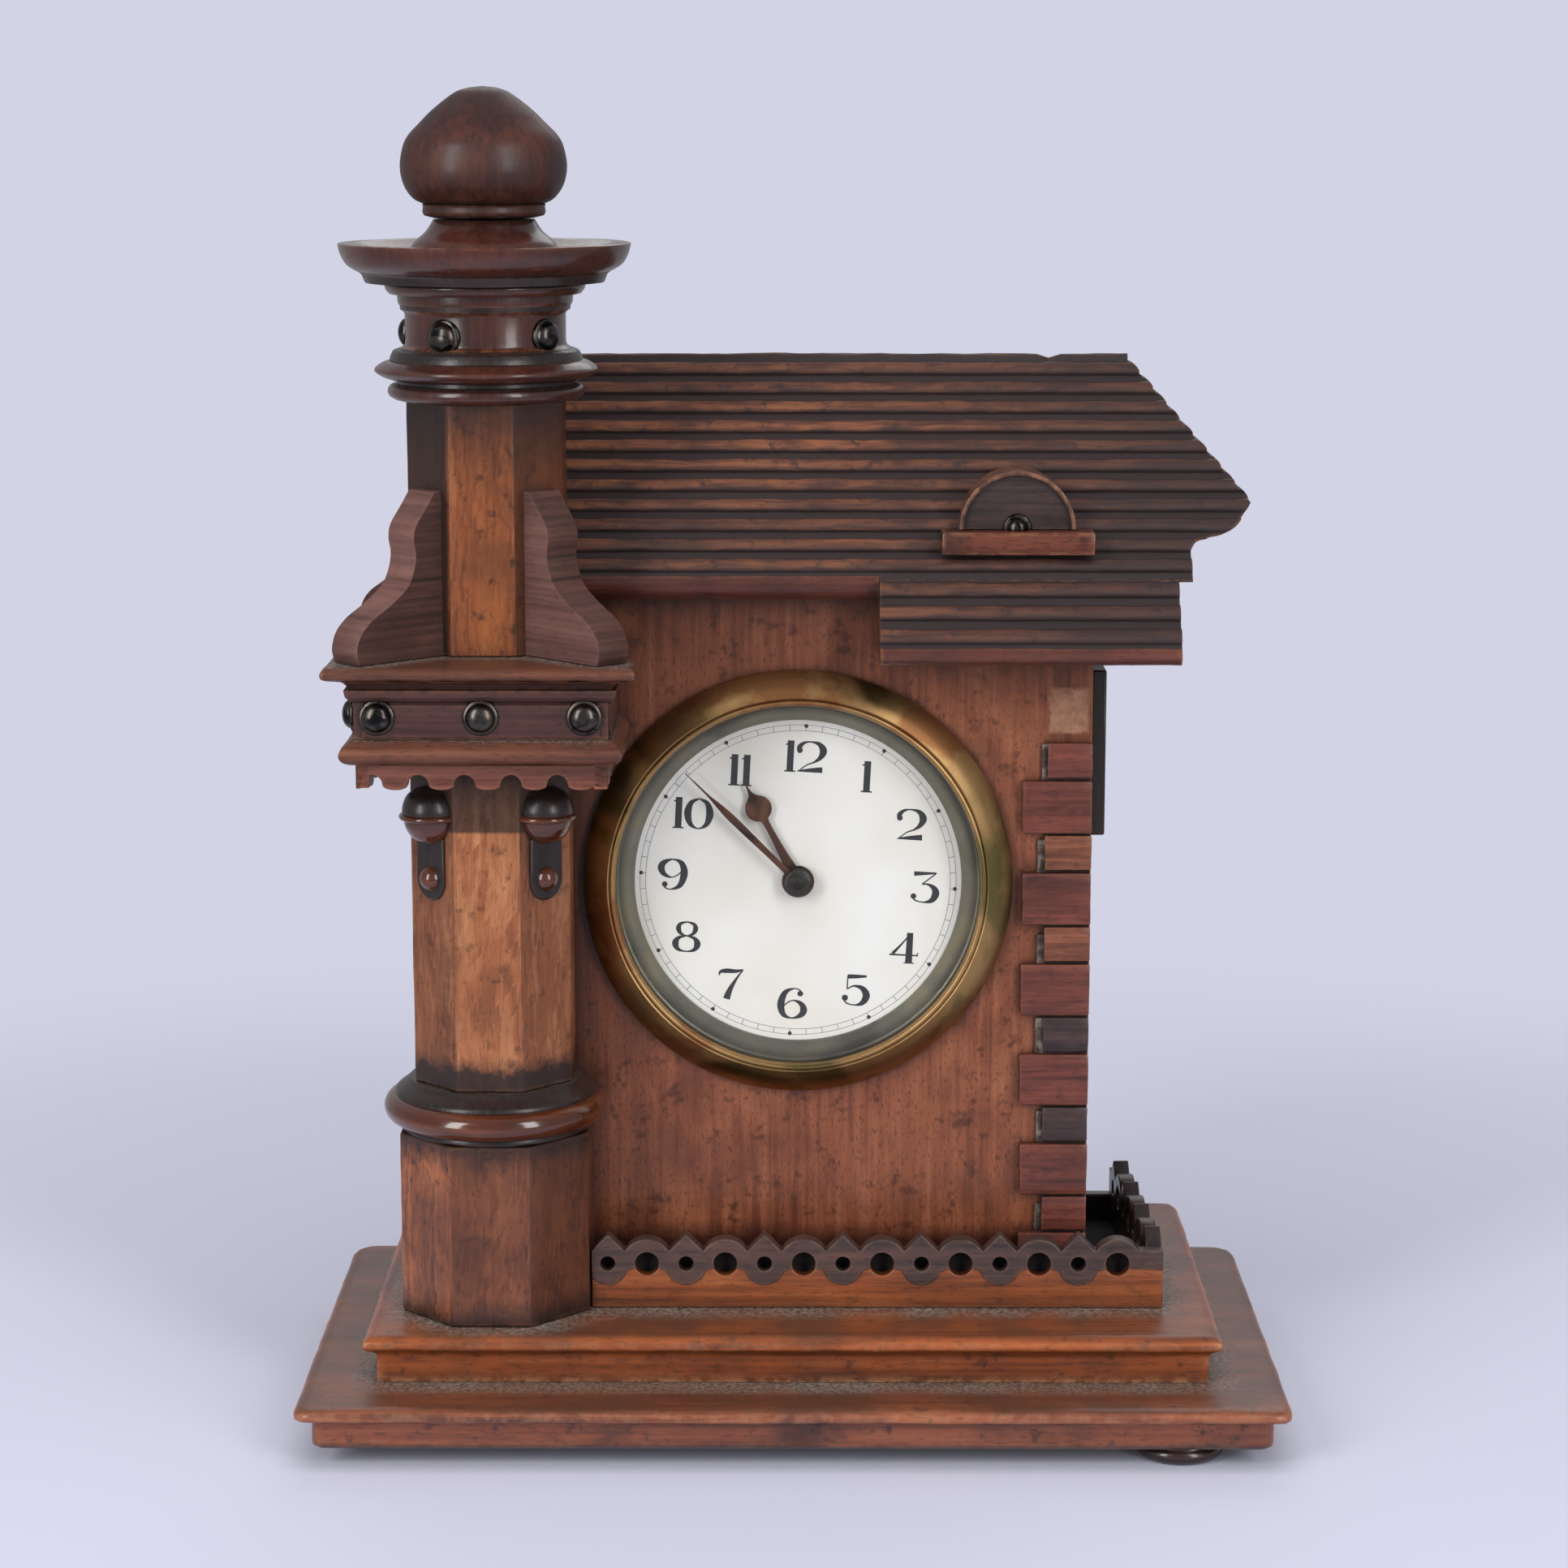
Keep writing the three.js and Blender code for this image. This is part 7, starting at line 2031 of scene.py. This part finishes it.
    def build_hands(self) -> None:
        """Builds the hour hand with its disc, the spear of the minute hand and the boss over both."""
        eye, disc, tip = 17.6, 2.8, 24.3
        stem = flowing([(1.3, 3.0), (0.95, 6.0), (0.7, 11.0), (0.7, eye - 3.4), (1.0, eye - 2.6)], 3)
        point = flowing([(1.3, eye + 2.5), (0.55, eye + 3.4), (0.28, eye + 4.6), (0.05, tip)], 3)
        hour = [*mirrored([*stem, *arc(disc, -60, 55, 12, 0.0, eye), *point]), *arc(3.4, 118, 422, 40)]
        leaf = flowing([(0.62, 2.8), (0.62, 7.0), (0.74, 14.0), (0.8, 19.5), (0.58, 23.0), (0.25, 26.0),
                        (0.16, 30.0), (0.04, 33.0)], 4)
        minute = [*mirrored(leaf), *arc(2.9, 110, 430, 36)]
        rows = (
            ("hour_hand_disc", hour, 2.35, self.hour_angle, 1.2, "hour_hand", "hour_assembly"),
            ("minute_hand_spear", minute, 1.3, self.minute_angle, -0.3, "minute_hand", "hand_arbor"),
        )
        for name, outline, bore, angle, depth, node, body in rows:
            place = stand(self.x, self.face + depth, self.z, angle, axis=Axis.Y)
            outlines = [outline, arc(bore, 0, 350, 30)]
            self.saw(name, outlines, (0.5, 0.16), place, "hand", Slot.BLUED, node, body)
        boss = flowing([(0.0, -1.75), (0.9, -1.7), (1.3, -1.45), (1.45, -1.3), (2.2, -1.2), (2.8, -0.95),
                        (3.0, -0.65)], 3)
        shell = Shell().turned([*boss, (0.0, -0.6)], (self.x, self.face, self.z), Way.FRONT.value, 48)
        self.make(shell, "hand_boss", "boss", Slot.BLUED, crease=Crease.MOULDED, body="hand_arbor")


@dataclass
class Movement(Assembly):
    """The drum, the plates and the wheels, seen from behind."""

    brass: str = (
        "movement_can front_plate hour_wheel minute_wheel centre_wheel third_wheel fourth_wheel escape_wheel "
        "barrel balance_wheel"
    )
    steel: str = "centre_arbor mainspring winding_arbor ratchet_wheel click pallet_lever regulator"

    def build(self) -> None:
        """Dresses the movement and eases what a hand touches."""
        self.dress("brass", *self.brass.split())
        self.dress("steel", *self.steel.split())
        self.dress("hand", "hairspring")
        self.softened("back_plate", "brass", Slot.BRASS, 0.15)
        self.softened("set_knob", "brass", Slot.BRASS, 0.2, "hand_arbor")
        self.softened("winding_key", "brass", Slot.BRASS, 0.3, "winding_assembly")


@dataclass
class Studio:
    """The camera, a plain pale floor and soft light from both sides."""

    camera_at: Spot = (1.49, -771.16, 273.17)
    pitch: float = 10.386
    yaw: float = -0.256
    lens: float = 85.77
    sensor: float = 36.0
    pale: str = "#d2d3e4"
    room: str = "#f2f3fb"
    ambient: float = 0.42
    floor_radii: Spot = (5.0, 300.0, 700.0)
    floor_sides: int = 96
    lit_spot: Spot = (0.0, 0.0, 0.13)
    lamps: tuple[tuple[str, Spot, float, Flat, bool], ...] = (
        ("lamp_right", (0.68, -0.9, 0.52), 7.0, (0.3, 0.95), True),
        ("lamp_left", (-0.74, -0.82, 0.5), 8.0, (0.3, 0.95), True),
        ("lamp_top", (0.0, -0.35, 1.15), 4.0, (0.9, 0.5), False),
        ("lamp_back", (0.1, 0.95, 0.95), 2.5, (0.9, 0.9), True),
    )

    def build(self) -> None:
        """Sets up the studio."""
        bpy.context.scene.view_settings.view_transform = "Standard"
        self.camera()
        self.floor()
        self.world()
        self.light()

    def camera(self) -> None:
        """Sets the camera at the photograph's viewing angle."""
        data = bpy.data.cameras.new("camera")
        data.lens, data.sensor_width = self.lens, self.sensor
        eye = bpy.data.objects.new("camera", data)
        eye.location = [c * MM for c in self.camera_at]
        eye.rotation_euler = (math.radians(90 - self.pitch), 0.0, math.radians(-self.yaw))
        bpy.context.scene.collection.objects.link(eye)
        bpy.context.scene.camera = eye

    def floor(self) -> None:
        """Lays a round floor that fades into the background."""
        shell = Shell()
        rings = [
            shell.ring([(r * math.cos(t), r * math.sin(t), 0.0) for t in around(self.floor_sides)])
            for r in self.floor_radii
        ]
        shell.skin(rings, capped=False)
        shell.faces.append(tuple(rings[0]))
        placed("floor", shell.mesh("floor"), PaperFloor("pale_paper_floor", self.pale).material())

    def world(self) -> None:
        """Lights the room evenly and shows a pale background."""
        world = bpy.data.worlds.new("studio")
        bpy.context.scene.world = world
        world.use_nodes = True
        tree = world.node_tree
        add = partial(add_node, tree)
        rays = add(RAYS).node.outputs
        seen = add(MATH, (rays["Is Camera Ray"], rays["Is Transmission Ray"]), operation="MAXIMUM")
        even, pale = add(GLOW, (linear(self.room), self.ambient)), add(GLOW, (linear(self.pale), 1.0))
        feed(tree, tree.nodes["World Output"], {"Surface": add(BLEND, (seen, even, pale))})

    def light(self) -> None:
        """Hangs the soft lamps."""
        for name, at, power, size, mirrored_in_gloss in self.lamps:
            data = bpy.data.lights.new(name, "AREA")
            data.energy, data.shape = power, "RECTANGLE"
            data.size, data.size_y = size
            lamp = bpy.data.objects.new(name, data)
            lamp.location, lamp.visible_glossy = at, mirrored_in_gloss
            lamp.rotation_euler = (Vector(self.lit_spot) - Vector(at)).to_track_quat("-Z", "Y").to_euler()
            bpy.context.scene.collection.objects.link(lamp)


def main() -> None:
    """Loads the frame and builds the clock piece by piece."""
    logging.basicConfig(level=logging.INFO)
    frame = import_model()
    Studio().build()
    finishes = {key: look.material() for key, look in LOOKS.items()}
    for kind in (Base, House, Roof, Turret, Gallery, Dial, Movement):
        LOG.info("building %s", kind.__name__)
        kind(finishes, frame["nodes"]).build()


if __name__ == "__main__":
    main()
